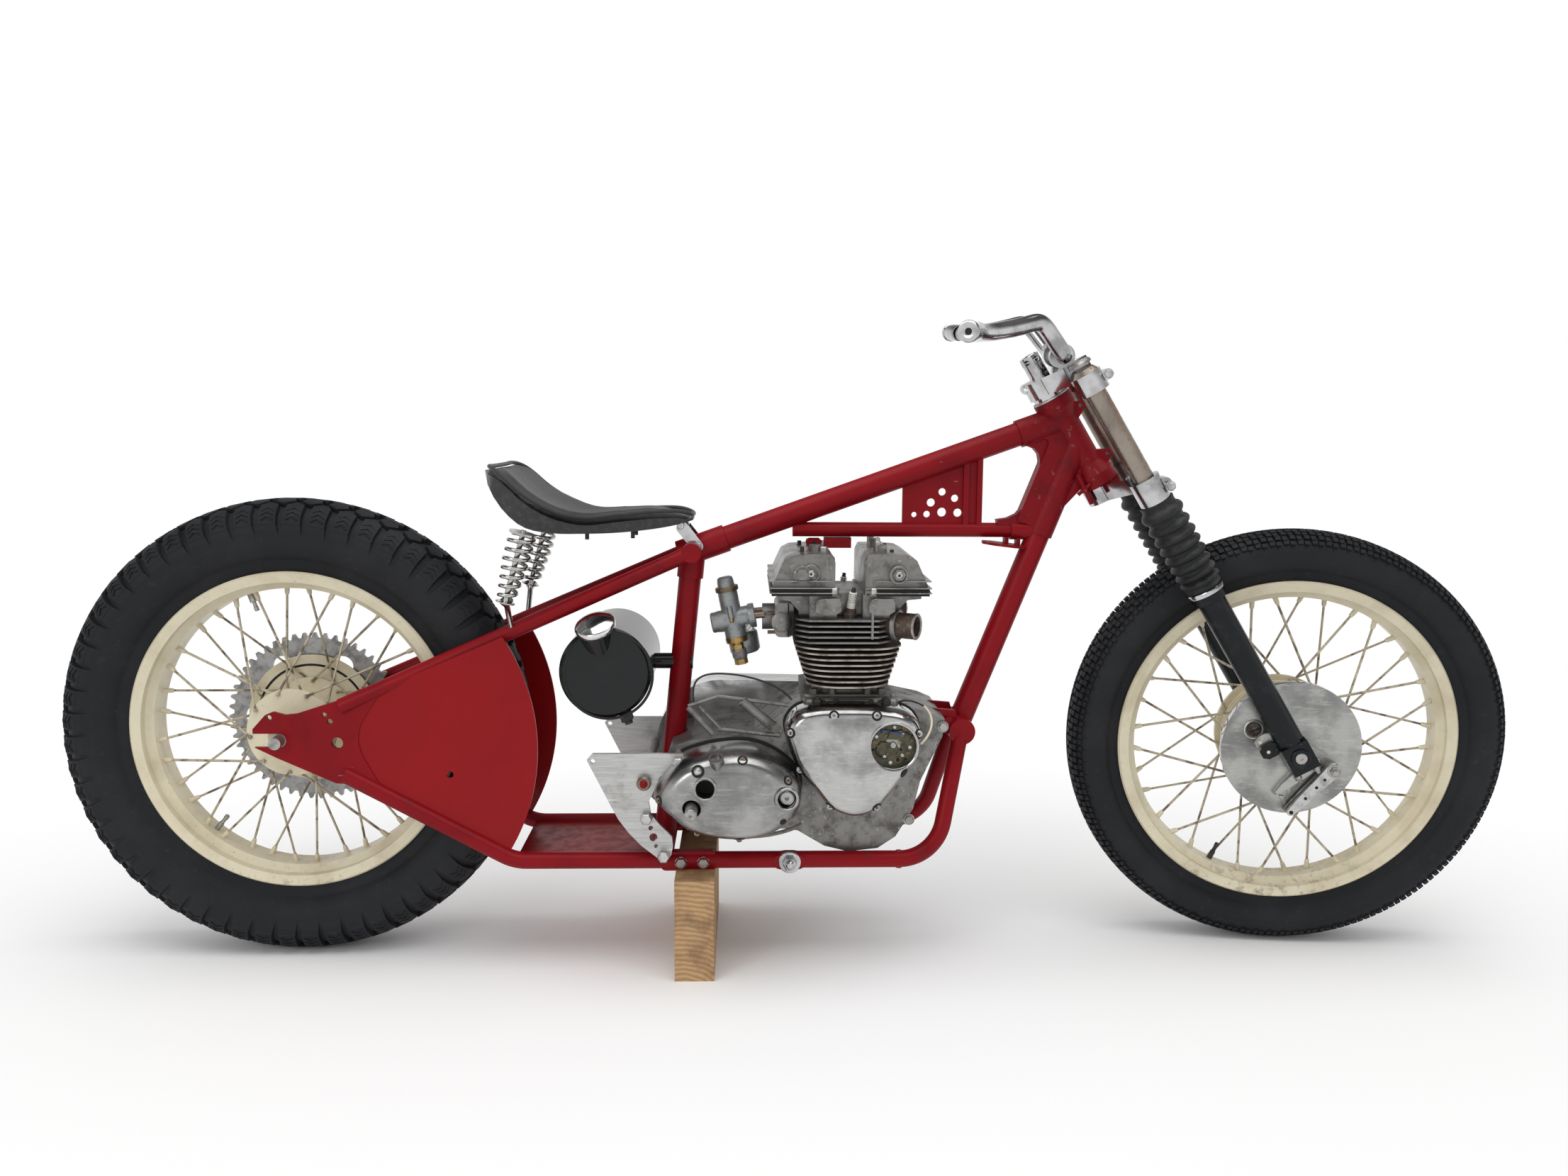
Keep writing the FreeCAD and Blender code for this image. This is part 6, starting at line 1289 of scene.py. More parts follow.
class CHOPPER_OT_springs(Piece):
    """Two seat springs of round chromed wire, narrow at the foot, on their rods"""
    bl_idname = "chopper.springs"
    bl_label = "Seat springs"

    def make(self, look):
        wire = look.spring_wire / MM
        meshes = []
        for side in (-1, 1):
            top = at(362, side * 104, SEAT_LOW + 2)
            foot = at(336, side * 104, SEAT_LOW - 92)
            length = (top - foot).length / MM
            place = facing((top - foot).normalized(), foot)
            steps = int(look.spring_turns * 12)
            points = []
            for k in range(steps + 1):
                share = k / steps
                radius = 11.5 + 7.0 * min(1.0, 1.7 * share)
                angle = FULL * k / 12
                rise = length * min(1.0, max(0.0, (share - 0.02) / 0.95))
                points.append(Vector((radius * cos(angle) * MM, radius * sin(angle) * MM,
                    (wire + rise * (length - 2 * wire) / length) * MM)))
            meshes.append(bent(points, wire, place, order=4, sides=12))
            stay = at(90.06, side * 92, 400.04)
            node = at(600, side * 42, 622)
            seat_end = stay + (node - stay) * ((foot.x - stay.x) / (node.x - stay.x))
            meshes += [lathe([(0, -5), (14, -5), (14, -3.5), (4, -3), (4, length + 6), (0, length + 6)], 20,
                place), disc(20, length, length + 3, 28, place)]
            down = seat_end - foot
            meshes.append(lathe([(0, 3), (10, 3), (6, 10), (4.2, 14), (4.2, down.length / MM - 8),
                (6.5, down.length / MM - 4), (7.5, down.length / MM + 6), (0, down.length / MM + 6)], 16,
                facing(down.normalized(), foot)))
        piece = made("springs", meshes, "spring_chrome", slot="chrome_plate", angle=50)
        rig.replaces(piece, "seat_springs")


# Engine, gearbox and carburettor

SIDE = basis(AHEAD, SKY, RIGHT_SIDE, at(0, 0, 0))

# Outlines as shares of the covers' length and height, from their lower rear corner.
TIMING_EDGE = ((0.23, 1.0), (0.45, 1.008), (0.67, 1.0), (0.89, 0.95), (0.985, 0.83), (1.0, 0.66), (0.91, 0.44),
    (0.79, 0.23), (0.67, 0.06), (0.545, 0.0), (0.43, 0.015), (0.32, 0.09), (0.21, 0.255), (0.095, 0.43),
    (0.03, 0.62), (0.0, 0.81), (0.08, 0.95))
GEAR_EDGE = ((0.0, 0.474), (0.046, 0.652), (0.115, 0.785), (0.206, 0.889), (0.33, 0.955), (0.454, 0.993),
    (0.57, 1.005), (0.683, 0.985), (0.8, 0.91), (0.9, 0.8), (0.975, 0.66), (1.0, 0.5), (0.977, 0.296),
    (0.92, 0.185), (0.839, 0.096), (0.76, 0.045), (0.688, 0.015), (0.587, 0.0), (0.465, 0.01), (0.349, 0.037),
    (0.248, 0.096), (0.175, 0.165), (0.119, 0.252), (0.045, 0.36))


def rounded(points, times=2):
    """An outline with its corners cut off again and again."""
    for _ in range(times):
        cut = []
        for (x1, y1), (x2, y2) in zip(points, points[1:] + points[:1]):
            cut += [(0.75 * x1 + 0.25 * x2, 0.75 * y1 + 0.25 * y2), (0.25 * x1 + 0.75 * x2,
                0.25 * y1 + 0.75 * y2)]
        points = cut
    return points


def flowing(points, steps=7):
    """A smooth closed outline that passes through some points."""
    line, count = [], len(points)
    for i in range(count):
        p0, p1, p2, p3 = (Vector(points[(i + k) % count]) for k in (-1, 0, 1, 2))
        for k in range(steps):
            t = k / steps
            line.append(tuple(0.5 * (2 * p1 + (p2 - p0) * t + (2 * p0 - 5 * p1 + 4 * p2 - p3) * t * t
                + (3 * p1 - p0 - 3 * p2 + p3) * t ** 3)))
    return line


def edge_of(shares, node):
    """A cover's outline in mm, from shares of its node's length and height."""
    near, far = ((corner - at(0, 0, 0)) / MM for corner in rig.box(node))
    return flowing([(near.x + x * (far.x - near.x), near.z + z * (far.z - near.z)) for x, z in shares])


def cover_plate(shares, node, grow, low, high):
    """A plate that follows a cover's outline, grown by some mm, between two distances to the right."""
    line = edge_of(shares, node)
    middle = sum((Vector(p) for p in line), Vector((0, 0))) / len(line)
    return prism([tuple(Vector(p) + (Vector(p) - middle).normalized() * grow) for p in line], low, high, 0.4,
        SIDE)


# Soft covers by the node that each replaces, and how far the exhaust stubs splay, in degrees.
COVERS = {}
STUB_ANGLE = 29

# Bored holes of the gearbox cover: two for bosses and the pedal's shaft.
GEAR_BORES = ((623.9, 298.3), (740.7, 281.5), (604.6, 268.2))


def cushion(name, shares, node, face, edge, crown, soft, bores, finish):
    """A cast cover with softly rounded edges and a slightly domed face, bored from the right."""
    line = edge_of(shares, node)
    cx, cz = sum([p[0] for p in line]) / len(line), sum([p[1] for p in line]) / len(line)
    levels = [(1.0, 78.0)]
    levels += [(1 - soft * (1 - cos(t)), face - crown - edge * (1 - sin(t))) for t in (pi / 2 * k / 9
        for k in range(10))]
    levels += [((1 - soft) * k, face - crown * k * k) for k in (0.85, 0.7, 0.5, 0.3, 0.12)]
    builder = bmesh.new()
    rings = [[builder.verts.new(((cx + (x - cx) * k) * MM, (cz + (z - cz) * k) * MM, out * MM))
        for x, z in line] for k, out in levels]
    walls(builder, rings)
    cover = placed(name, joined(name, [builder], SIDE))
    cutter = placed("cutter", joined("cutter", [disc(radius, floor, 260, 56, SIDE @ shift(x, z, 0))
        for x, z, radius, floor in bores]))
    cut = cover.modifiers.new("bores", "BOOLEAN")
    cut.operation, cut.solver, cut.object = "DIFFERENCE", "EXACT", cutter
    mesh = bpy.data.meshes.new_from_object(cover.evaluated_get(bpy.context.evaluated_depsgraph_get()))
    for item in (cover, cutter):
        bpy.data.objects.remove(item)
    cover = made(name, mesh, finish, slot="polished_alloy", angle=40)
    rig.replaces(cover, node)
    COVERS[node] = cover


def skin(node, x, z, side=-1):
    """The place and direction of a cover's or node's outer face near a place in mm, seen from one side."""
    low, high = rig.box(node)
    middle = ((low + high) / 2 - at(0, 0, 0)) / MM
    inward = Vector((middle.x - x, 0, middle.z - z)).normalized()
    for step in range(12):
        start = at(x, side * 400, z) + inward * step * 1.5 * MM
        hit, place, normal, index = COVERS.get(node, NODES[node]).ray_cast(start, Vector((0, -side, 0)))
        if hit:
            return place, normal
    raise RuntimeError("no face of " + node + " near " + str((x, z)))


def seated(name, builders, node, places, finish, flat=False):
    """Heads on a cover's outer face, turned sideways, or along the face where flat is set."""
    stands = []
    for x, z in places:
        place, normal = skin(node, x, z)
        stands.append((place, normal if flat else RIGHT_SIDE, SKY))
    return copies(name, builders, stands, finish)


class CHOPPER_OT_covers(Piece):
    """Screws, gaskets, contact breaker and gearbox details on the engine's covers"""
    bl_idname = "chopper.covers"
    bl_label = "Engine covers"

    def make(self, look):
        cushion("timing_soft", TIMING_EDGE, "timing_cover", 150, 28, 11, 0.17, ((895.2, 352.1, 34, 130),),
            "cover_alloy")
        cushion("gearbox_soft", GEAR_EDGE, "gearbox_cover", 178, 44, 12, 0.28, [(x, z, 13.5, 150)
            for x, z in GEAR_BORES], "gear_alloy")
        made("pedal_shaft", [lathe([(0, 150), (8.9, 150), (8.9, 200.4), (7.6, 201.8), (2.2, 201.8), (1.8, 200),
            (0, 200)], 32, SIDE @ shift(604.6, 268.2, 0))], "plated_steel")
        made("gaskets", [cover_plate(TIMING_EDGE, "timing_cover", 2.2, 78, 82),
            cover_plate(GEAR_EDGE, "gearbox_cover", 2.5, 78, 83)], "dark_hole")
        timing = ((808.7, 396.5), (870.8, 396.4), (933, 368), (873.1, 258.5), (805, 258.5), (760.5, 313.1),
            (746.5, 370))
        # The notches are black rings of painted shade in the counterbores round the screws.
        notch = [lathe([(4.8, -5), (7.6, -5), (7.6, 0.25), (4.8, 0.25)], 22, closed=True)]
        seated("timing_notches", notch, "timing_cover", timing + ((912.5, 309.4),), "dark_hole", flat=True)
        seated("timing_screws", [lathe([(0, -9), (5.0, -9), (5.0, 1.0), (4.2, 1.8), (2.6, 1.8), (2.4, -1.2),
            (0, -1.4)], 20)], "timing_cover", timing, "bright_zinc")
        # A black disc paints the shade inside the timing cover's empty screw hole.
        seated("empty_holes", [disc(5.2, -1, 0.3, 20)], "timing_cover", ((912.5, 309.4),), "dark_hole",
            flat=True)
        gear = ((677.1, 336.7), (742.5, 305.7), (672.5, 217.5), (611.5, 226), (556.5, 275.2))
        # Painted shade in the gearbox screws' counterbores, as on the timing cover.
        seated("gear_notches", notch, "gearbox_cover", gear, "dark_hole", flat=True)
        seated("gear_screws", [lathe([(0, -8), (4.6, -8), (4.6, -0.2), (3.8, 0.6), (1.4, 0.6), (1.0, -1.2),
            (0, -1.2)], 20)], "gearbox_cover", gear, "rusty_fastener")
        # A black disc paints the shade inside the gearbox cover's open hole.
        seated("gear_open_hole", [disc(5.2, -1, 0.3, 20)], "gearbox_cover", ((735.5, 246),), "dark_hole",
            flat=True)
        ring = [lathe([(13.4, -4), (17.2, -4), (17.4, 0.4), (16.4, 1.3), (14.2, 1.3), (13.4, 0.6)], 40,
            closed=True)]
        stands = []
        for (hole, z), x in zip(GEAR_BORES, (644, 719)):
            place, normal = skin("gearbox_cover", x, z)
            stands.append((Vector((at(hole, 0, 0).x, place.y, place.z)), (normal + RIGHT_SIDE).normalized(),
                SKY))
        copies("cover_rings", ring, stands, "gear_alloy")
        # Black discs paint the shade at the floor of the cover's bores.
        heads("cover_depths", [disc(13.4, 0, 0.6, 32)], [at(x, -150.3, z) for x, z in GEAR_BORES], RIGHT_SIDE,
            "dark_hole")
        heads("plunger_boss", [lathe([(0, 0), (10.6, 0), (10.6, 12), (8.8, 13.5), (3.4, 13.5), (3.2, 6),
            (0, 6)], 32)], [at(740.7, -150.6, 281.5)], RIGHT_SIDE, "gear_alloy")
        place, normal = skin("gearbox_cover", 613.5, 322.0)
        # The pit round the ball is a black ring of painted shade.
        made("ball_pit", [lathe([(5.6, -4), (9.4, -4), (9.4, 0.3), (5.6, 0.3)], 26, closed=True)], "dark_hole",
            facing(normal, place))
        ball = bmesh.new()
        bmesh.ops.create_uvsphere(ball, u_segments=20, v_segments=12, radius=6.6 * MM)
        made("ball", [ball], "bright_zinc", Matrix.Translation(place - normal * 1.5 * MM), angle=80)
        place, normal = skin("gearbox_cover", 640, 334)
        made("filler_lip", [lathe([(0, -8), (9.5, -8), (9.5, 5), (11, 6), (11, 8.5), (8, 8.5), (7.5, 4),
            (0, 4)], 28)], "gear_alloy", facing((normal * 0.6 + SKY * 0.5).normalized(), place))
        centre = at(895.2, -130, 352.1)
        face = facing(RIGHT_SIDE, centre)
        made("breaker_plate", [disc(32.8, 0, 1.2, 56), prism([(-26, -9), (4, -14), (9, -6), (4, 3), (-18, 4)],
            1.2, 4.4, 0.6), prism([(-8, 8), (24, 6), (27, 14), (12, 22), (-6, 19)], 1.2, 4.0, 0.6),
            disc(3.4, 1, 5, 16, shift(-20, -3, 0)), disc(3.4, 1, 5, 16, shift(20, 12, 0))], "breaker_steel",
            face)
        made("breaker_rim", [lathe([(32.9, -0.5), (34.0, -0.5), (34.0, 15.4), (36.6, 16.6), (36.2, 17.2),
            (33.4, 16.4), (32.9, 15.8)], 64, closed=True)], "cover_alloy", face)
        made("cam_bolt", hex_head(5.2, 5, 8.5, 3.2) + [disc(11, 0, 2.2, 28)], "plated_steel", face)
        made("breaker_bosses", [lathe([(0, 0), (r, 0), (r, 2.6), (r - 1.2, 2.6), (r - 1.2, 1.4), (0, 1.4)], 16,
            shift(x, y, 0)) for x, y, r in ((-17, 20, 4.2), (8, -23, 4.6), (22, -14, 3.6), (-26, 2, 4),
            (17, 24, 4), (-9, 12, 3.4), (10, 3, 3.2), (-16, -11, 3.6), (27, 5, 3.2), (-6, -15, 3.2))],
            "dirty_brass", face)
        # The breaker plate's holes are black discs of painted shade.
        made("breaker_holes", [disc(r, 1, 1.6, 14, shift(x, y, 0)) for x, y, r in ((-22, 25, 2), (19, -22, 2.2),
            (0, 20, 2.4), (-29, -8, 2), (28, 13, 2), (3, -12, 2), (-12, 28, 1.8), (-17, 20, 2.6), (8, -23, 2.8),
            (-6, 5, 2), (12, -8, 2.2))], "dark_hole", face)
        made("breaker_screws", [lathe([(0, 0), (2.9, 0), (2.9, 3.6), (2.2, 4.2), (0, 4.2)], 14, shift(x, y, 0))
            for x, y in ((-12, -18), (14, -16), (25, -4), (-24, 12), (2, 26), (-3, -27), (14, 15))],
            "bright_zinc", face)
        made("breaker_wire", bent([face @ (Vector(p) * MM) for p in ((-21, 18, 2), (-14, 24, 5), (-4, 17, 6),
            (6, 20, 5), (16, 13, 4))], 1.1, sides=8), "blue_wire")
        made("breaker_lead", bent([face @ (Vector(p) * MM) for p in ((-24, -6, 4), (-27, -14, 5), (-18, -22, 5),
            (-8, -20, 3))], 1.0, sides=8), "dull_black")


class CHOPPER_OT_engine(Piece):
    """Bolts, nuts, studs, ribs and plugs of the engine's castings"""
    bl_idname = "chopper.engine"
    bl_label = "Engine"

    def make(self, look):
        both = (-1, 1)
        made("case_mouth", [prism([(-46, -86), (-38, -94), (38, -94), (46, -86), (46, 86), (38, 94), (-38, 94),
            (-46, 86)], 396.6, 411.5, 3, Matrix.Translation(at(838, 0, 0)))], "head_alloy")
        base = [at(x, side * 97, z) for x, z in ((786.8, 402), (814.3, 397.6), (866.4, 397.6), (888, 402))
            for side in both]
        heads("base_nuts", hex_head(7.4, 7.5, 9, 1.6), base, SKY, "dull_black")
        heads("base_studs", [lathe([(0, 8), (3.6, 8), (3.6, 13), (0, 13.6)], 12)], base, SKY, "dull_black")
        made("base_corners", [prism(rounded(oblong(x - 9, -14, x + 9, 14), 1), 396.6, 410, 3,
            Matrix.Translation(at(0, side * 80, 0))) for x in (775, 899) for side in both], "case_alloy")
        top = [at(x, side * 97.5, 566) for x in (809.2, 867.9) for side in both]
        heads("pillar_washers", [disc(10.5, 0, 2, 24)], top, SKY, "rusty_fastener")
        heads("pillar_bolts", [hexagon(8.2, 2, 11, 1.4)], top, SKY, "bright_zinc")
        made("pillar_pads", [prism(rounded([(x - 19, 538), (x + 19, 538), (x + 19, 563), (x + 8, 563),
            (x - 14, 563), (x - 19, 556)], 1), 109, 111.4, 0.8, SIDE) for x in (801, 879)], "head_alloy")
        made("fin_rib", [prism(oblong(863.5, 503, 866.8, 557), 100, 111.8, 0.5, SIDE)], "head_alloy")
        for name, x, z in (("rear_spindle", 775.5, 597.9), ("front_spindle", 902.3, 597.2)):
            for side, tag in SIDES:
                place, normal = skin("rocker_boxes", x, z, side)
                stand = facing(Vector((0, side, 0)), place)
                made(name + "_ring_" + tag, [lathe([(10.8, -3), (13.6, -3), (13.6, 0.5), (12.8, 1.2),
                    (10.8, 1.2)], 36, closed=True)], "box_alloy", stand)
                made(name + "_nut_" + tag, [hexagon(5.8, -1, 3.4, 0.8), lathe([(0, 3), (4.4, 3), (4.4, 4.4),
                    (3.4, 5), (0, 5)], 20)], "bright_zinc", stand)
                # The eye is a black dot of painted shade in the spindle's bore.
                made(name + "_eye_" + tag, [disc(1.9, 4.9, 5.2, 14)], "dark_hole", stand)
        made("box_fins", [prism(oblong(x0, -w, x1, w), z, z + 1.5, 0.4, Matrix.Translation(at(0, 0, 0)))
            for x0, x1 in ((715.5, 806), (871, 950.5)) for z, w in ((570, 114), (577, 113), (586.5, 107))],
            "box_alloy")
        # Black slabs paint the shade in the gaps between the rocker boxes' fins.
        made("box_gaps", [prism(oblong(x0, -w, x1, w), z, z + 3.4, 0, Matrix.Translation(at(0, 0, 0)))
            for x0, x1 in ((718.5, 806), (871, 947.5)) for z, w in ((566.4, 111.4), (572.6, 111.2))],
            "dark_hole")
        made("rocker_columns", [lathe([(0, 566.5), (9.5, 566.5), (9.5, h - 4), (8, h), (0, h + 1)], 28,
            Matrix.Translation(at(x, side * 89, 0))) for x, h in ((801.5, 622), (865, 622)) for side in both],
            "box_alloy")
        for name, shape, places, finish in (("box_nuts", hex_head(7.6, 9, 9.5, 1.6),
                [at(795.6, s * 52, 622) for s in both], "bright_zinc"), ("box_studs",
                [lathe([(0, -2), (6.5, -2), (6.5, 4), (3.2, 4.6), (3.2, 11), (0, 11.4)], 16)],
                [at(x, s * 50, z) for x, z in ((764.5, 621), (898.5, 617)) for s in both], "dull_black"),
                ("tall_nuts", [hexagon(6.0, -2, 20, 1.2), lathe([(0, 19), (4, 19), (4, 25), (0, 26)], 16)],
                [at(876.5, s * 50, 621) for s in both], "plated_steel")):
            heads(name, shape, places, SKY, finish)
        for side, tag in SIDES:
            foot, tip = at(833.2, side * 84, 531), at(839.2, side * 92, 577)
            stand = facing((tip - foot).normalized(), foot)
            shell = made("plug_body_" + tag, [hexagon(11.2, 0, 9, 1.6), lathe([(0, 8), (9, 8), (8.6, 13),
                (7.4, 15.5), (0, 15.5)], 28)], "rusty_iron", stand)
            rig.slot(shell, "zinc_steel")
            line = [(0, 14), (6.4, 14), (6.2, 24)]
            for k in range(5):
                line += [(4.2, 24.4 + 2.9 * k), (4.2, 25.8 + 2.9 * k), (6.0, 26.1 + 2.9 * k),
                    (6.0, 27.0 + 2.9 * k)]
            line += [(4.4, 39.5), (0, 39.5)]
            made("plug_insulator_" + tag, [lathe(line, 24)], "porcelain", stand, angle=60)
            made("plug_tip_" + tag, [lathe([(0, 39), (3.4, 39), (3.4, 42), (2.4, 43), (3.3, 44.5), (2.6, 46.4),
                (0, 46.6)], 16)], "dull_black", stand)
            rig.replaces(shell, "spark_plugs")
        made("inlet_studs", [bent([at(714, y, z), at(735, y, z)], 2.8, order=2, sides=8)
            for y, z in ((-34, 530), (-34, 501), (34, 530), (34, 501))], "rusty_fastener")
        made("inlet_gasket", [prism(oblong(744.2, 494.5, 746.2, 545.5), -40.6, 40.6, 0, SIDE)], "dark_hole")
        made("inlet_dome", [lathe([(0, 0), (16, 0), (15, 1.4), (11, 2.8), (6, 3.4), (0, 3.6)], 36,
            facing(RIGHT_SIDE, at(735, -39.5, 517)))], "head_alloy")
        made("engine_nose", [lathe([(0, 0), (11, 0), (11, 14), (7, 14), (7, 26), (4, 28), (0, 28)], 24,
            facing(Vector((0.5, -0.2, -0.85)).normalized(), at(908, -60, 252))),
            disc(7, 0, 14, 20, facing(-SKY, at(870, -60, 190)))], "case_alloy")
        heads("case_bolts", hex_head(7, 5, 8.5, 1.4), [at(928, -79, 222), at(976.2, -80, 365.6)], RIGHT_SIDE,
            "plated_steel")
        bars = [((596, -79, 396), (632, -79, 356), 5), ((612, -79, 397), (645, -79, 362), 3),
            ((676, -78, 405), (722, -80, 366), 8), ((640, -78, 362), (733, -78, 352), 3.5),
            ((596, -78, 397), (640, -78, 412), 3), ((640, -78, 412), (745, -78, 398), 3)]
        made("case_ribs", [bent([at(*one), at(*two)], radius, order=2, sides=12) for one, two, radius in bars],
            "case_alloy")
        made("top_lead", bent([at(604, -70, 398), at(600, -66, 425), at(612, -60, 440), at(640, -56, 443),
            at(690, -52, 437), at(735, -58, 420), at(750, -66, 404)], 1.5, sides=8), "dull_black")
        spread, widest = radians(STUB_ANGLE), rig.box("exhaust_stubs")[1].y
        reach = (widest - 81 * MM) / sin(spread) - 19 * MM / tan(spread)
        mouths = []
        for side in both:
            way = Vector((cos(spread), side * sin(spread), 0))
            mouths.append((at(898, side * 81, 520) + way * reach, way))
        made("stub_rims", [lathe([(15.0, -2.2), (19.6, -2.2), (19.8, -0.4), (18.6, 0.6), (15.8, 0.6),
            (15.0, -0.4)], 44, facing(way, place), closed=True) for place, way in mouths], "plated_steel")
        made("stub_flanges", [lathe([(19.2, -34), (23.5, -34), (23.5, -29), (22.4, -27.6), (19.2, -27.6)], 44,
            facing(way, place), closed=True) for place, way in mouths], "head_alloy")
        # A black disc paints the shade deep inside each exhaust stub.
        made("stub_depths", [disc(15.4, -20, -19.4, 32, facing(way, place)) for place, way in mouths],
            "dark_hole")
        made("front_lead", bent([at(905, -74, 398), at(912, -76, 405), at(925, -80, 406), at(938, -84, 403),
            at(947, -88, 398)], 1.3, sides=8), "dull_black")
        made("front_lead_end", bent([at(946, -88, 399), at(953, -92, 393), at(957, -100, 382),
            at(954, -112, 369), at(945, -124, 358), at(936, -130, 352)], 1.7, sides=8), "wheel_cream")
        made("low_cable", bent([at(649, -120, 214), at(690, -122, 206), at(735, -118, 212), at(764, -108, 224)],
            3.0, sides=10), "grey_wire")


# Middle of the carburettor's bore, and its lean in degrees.
CARBURETTOR, CARBURETTOR_LEAN = at(661.2, 0, 515.4), 11.3


class CHOPPER_OT_carburettor(Piece):
    """Slide carburettor, leaning back with the ports: body, union, bowl and brass"""
    bl_idname = "chopper.carburettor"
    bl_label = "Carburettor"

    def make(self, look):
        lean = radians(CARBURETTOR_LEAN)
        along = Vector((cos(lean), 0, sin(lean)))
        upward = Vector((-sin(lean), 0, cos(lean)))
        bore = basis(upward, LEFT_SIDE, along, CARBURETTOR) @ Matrix.Rotation(pi, 4, "Z")
        stand = basis(along, LEFT_SIDE, upward, CARBURETTOR)
        main = made("carburettor_body", [lathe([(13, -20), (12.4, -31.6), (14.2, -33.2), (15.6, -31.6),
            (15.6, -26), (16.6, -20), (16.6, 26), (13, 26)], 48, bore, closed=True),
            prism([(18.6 * cos(FULL * k / 40), 30 * sin(FULL * k / 40)) for k in range(40)], 25.7, 34.7, 0.8,
            bore), lathe([(0, -27), (16.4, -27), (16.6, -8), (15.2, 4), (15.0, 45), (0, 45)], 48, stand),
            lathe([(0, 51), (13.2, 51), (12.6, 60), (11.6, 65), (9, 66.6), (0, 66.8)], 40, stand),
            lathe([(0, -62), (10.5, -62), (11.8, -58), (11.8, -47), (0, -47)], 36, stand),
            lathe([(0, -58), (20, -58), (23.4, -54), (23.8, -28), (21, -24.5), (0, -24.5)], 48,
            stand @ shift(9, 20, 0)), lathe([(0, -2), (4.6, -2), (4.6, 15), (3, 17), (0, 17)], 24,
            stand @ facing(Vector((0, -0.35, -0.94)), Vector((-1, -14, 19)) * MM)),
            prism(oblong(17, -22, 29, -9), 10, 15.6, 0.8, stand @ basis(AHEAD, SKY, RIGHT_SIDE, Vector()))],
            "carburettor_zinc", angle=40)
        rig.slot(main, "grey_zinc")
        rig.replaces(main, "carburettor")
        made("carburettor_ring", [lathe([(15, 44.5), (17.4, 44.5), (17.8, 46), (17.8, 50.6), (17, 51.6),
            (12, 51.6), (12, 44.5)], 36, stand, closed=True)], "dirty_brass")
        made("carburettor_brass", [lathe([(0, -35.5), (16.8, -35.5), (17.2, -34.5), (17.2, -28), (16.8, -27),
            (0, -27)], 40, stand), disc(9.4, -39, -35, 28, stand), hexagon(11, -47.5, -38.5, 1.0, stand),
            hexagon(10.4, -71, -61.5, 1.4, stand), lathe([(0, 16), (3.4, 16), (3.4, 21), (2.4, 22), (0, 22)],
            18, stand @ facing(Vector((0, -0.35, -0.94)), Vector((-1, -14, 19)) * MM))], "brass")
        screw = facing(RIGHT_SIDE, Vector((23, -15.4, -15.5)) * MM)
        made("carburettor_screw", [lathe([(0, 0), (5.2, 0), (5.2, 2.4), (4.4, 3.2), (0, 3.2)], 20,
            stand @ screw)], "bright_zinc")
        made("carburettor_marks", [prism(oblong(-4.9, -0.7, 4.9, 0.7), 3.0, 3.4, 0,
            stand @ screw @ Matrix.Rotation(0.7, 4, "Z")), disc(3.9, 0, 0.5, 20,
            stand @ facing(RIGHT_SIDE, Vector((0, -11.6, -54)) * MM))], "rusty_fastener")
        made("carburettor_studs", [bent([at(690, side * 22, 524), at(709, side * 22, 526)], 5.2, order=2,
            sides=12) for side in (-1, 1)], "rusty_fastener")


# Front end and frame


def fork_place(ahead, left, along):
    """A matrix that stands a shape on the front end, along its legs."""
    return facing(FORK_UP, on_fork(ahead, left, along))


class CHOPPER_OT_gaiters(Piece):
    """Rubber gaiters with soft uneven folds, a plain neck and a bead at the foot"""
    bl_idname = "chopper.gaiters"
    bl_label = "Gaiters"

    def make(self, look):
        crests = ((667, 30.5, 5), (680, 31, 5.5), (695, 31.2, 6), (711, 31.4, 6.5), (727, 31.6, 6.5),
            (743, 31.8, 7), (761, 31.8, 7.5), (782, 32, 9))
        line = [(19.2, 653.6), (26.4, 653.6), (27.4, 655), (27.2, 659), (25.4, 661)]
        for along, reach, half in crests:
            line += [(reach - 5.2, along - half + 1.0), (reach - 2.0, along - half * 0.6),
                (reach - 0.4, along - half * 0.25), (reach, along), (reach - 0.6, along + half * 0.3),
                (reach - 2.6, along + half * 0.65), (reach - 5.6, along + half - 0.6)]
        line += [(25.6, 791.5), (25.4, 796), (26.0, 800.9), (19.2, 800.9)]
        piece = made("gaiters_soft", [lathe(line, 64, basis(FORK_AHEAD, FORK_LEFT, FORK_UP,
            on_fork(LEG_AHEAD, side * LEG_HALF, 0)), closed=True) for side in (-1, 1)], "bellows_rubber",
            body="fork", slot="gaiter_rubber", angle=75)
        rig.replaces(piece, "gaiters")
        made("slider_rings", [lathe([(27.6, 646), (29.6, 646.6), (29.8, 651.4), (28.8, 653.2), (25.8, 653.4),
            (25.8, 646)], 56, basis(FORK_AHEAD, FORK_LEFT, FORK_UP, on_fork(LEG_AHEAD, side * LEG_HALF, 0)),
            closed=True) for side in (-1, 1)], "chrome", body="fork")


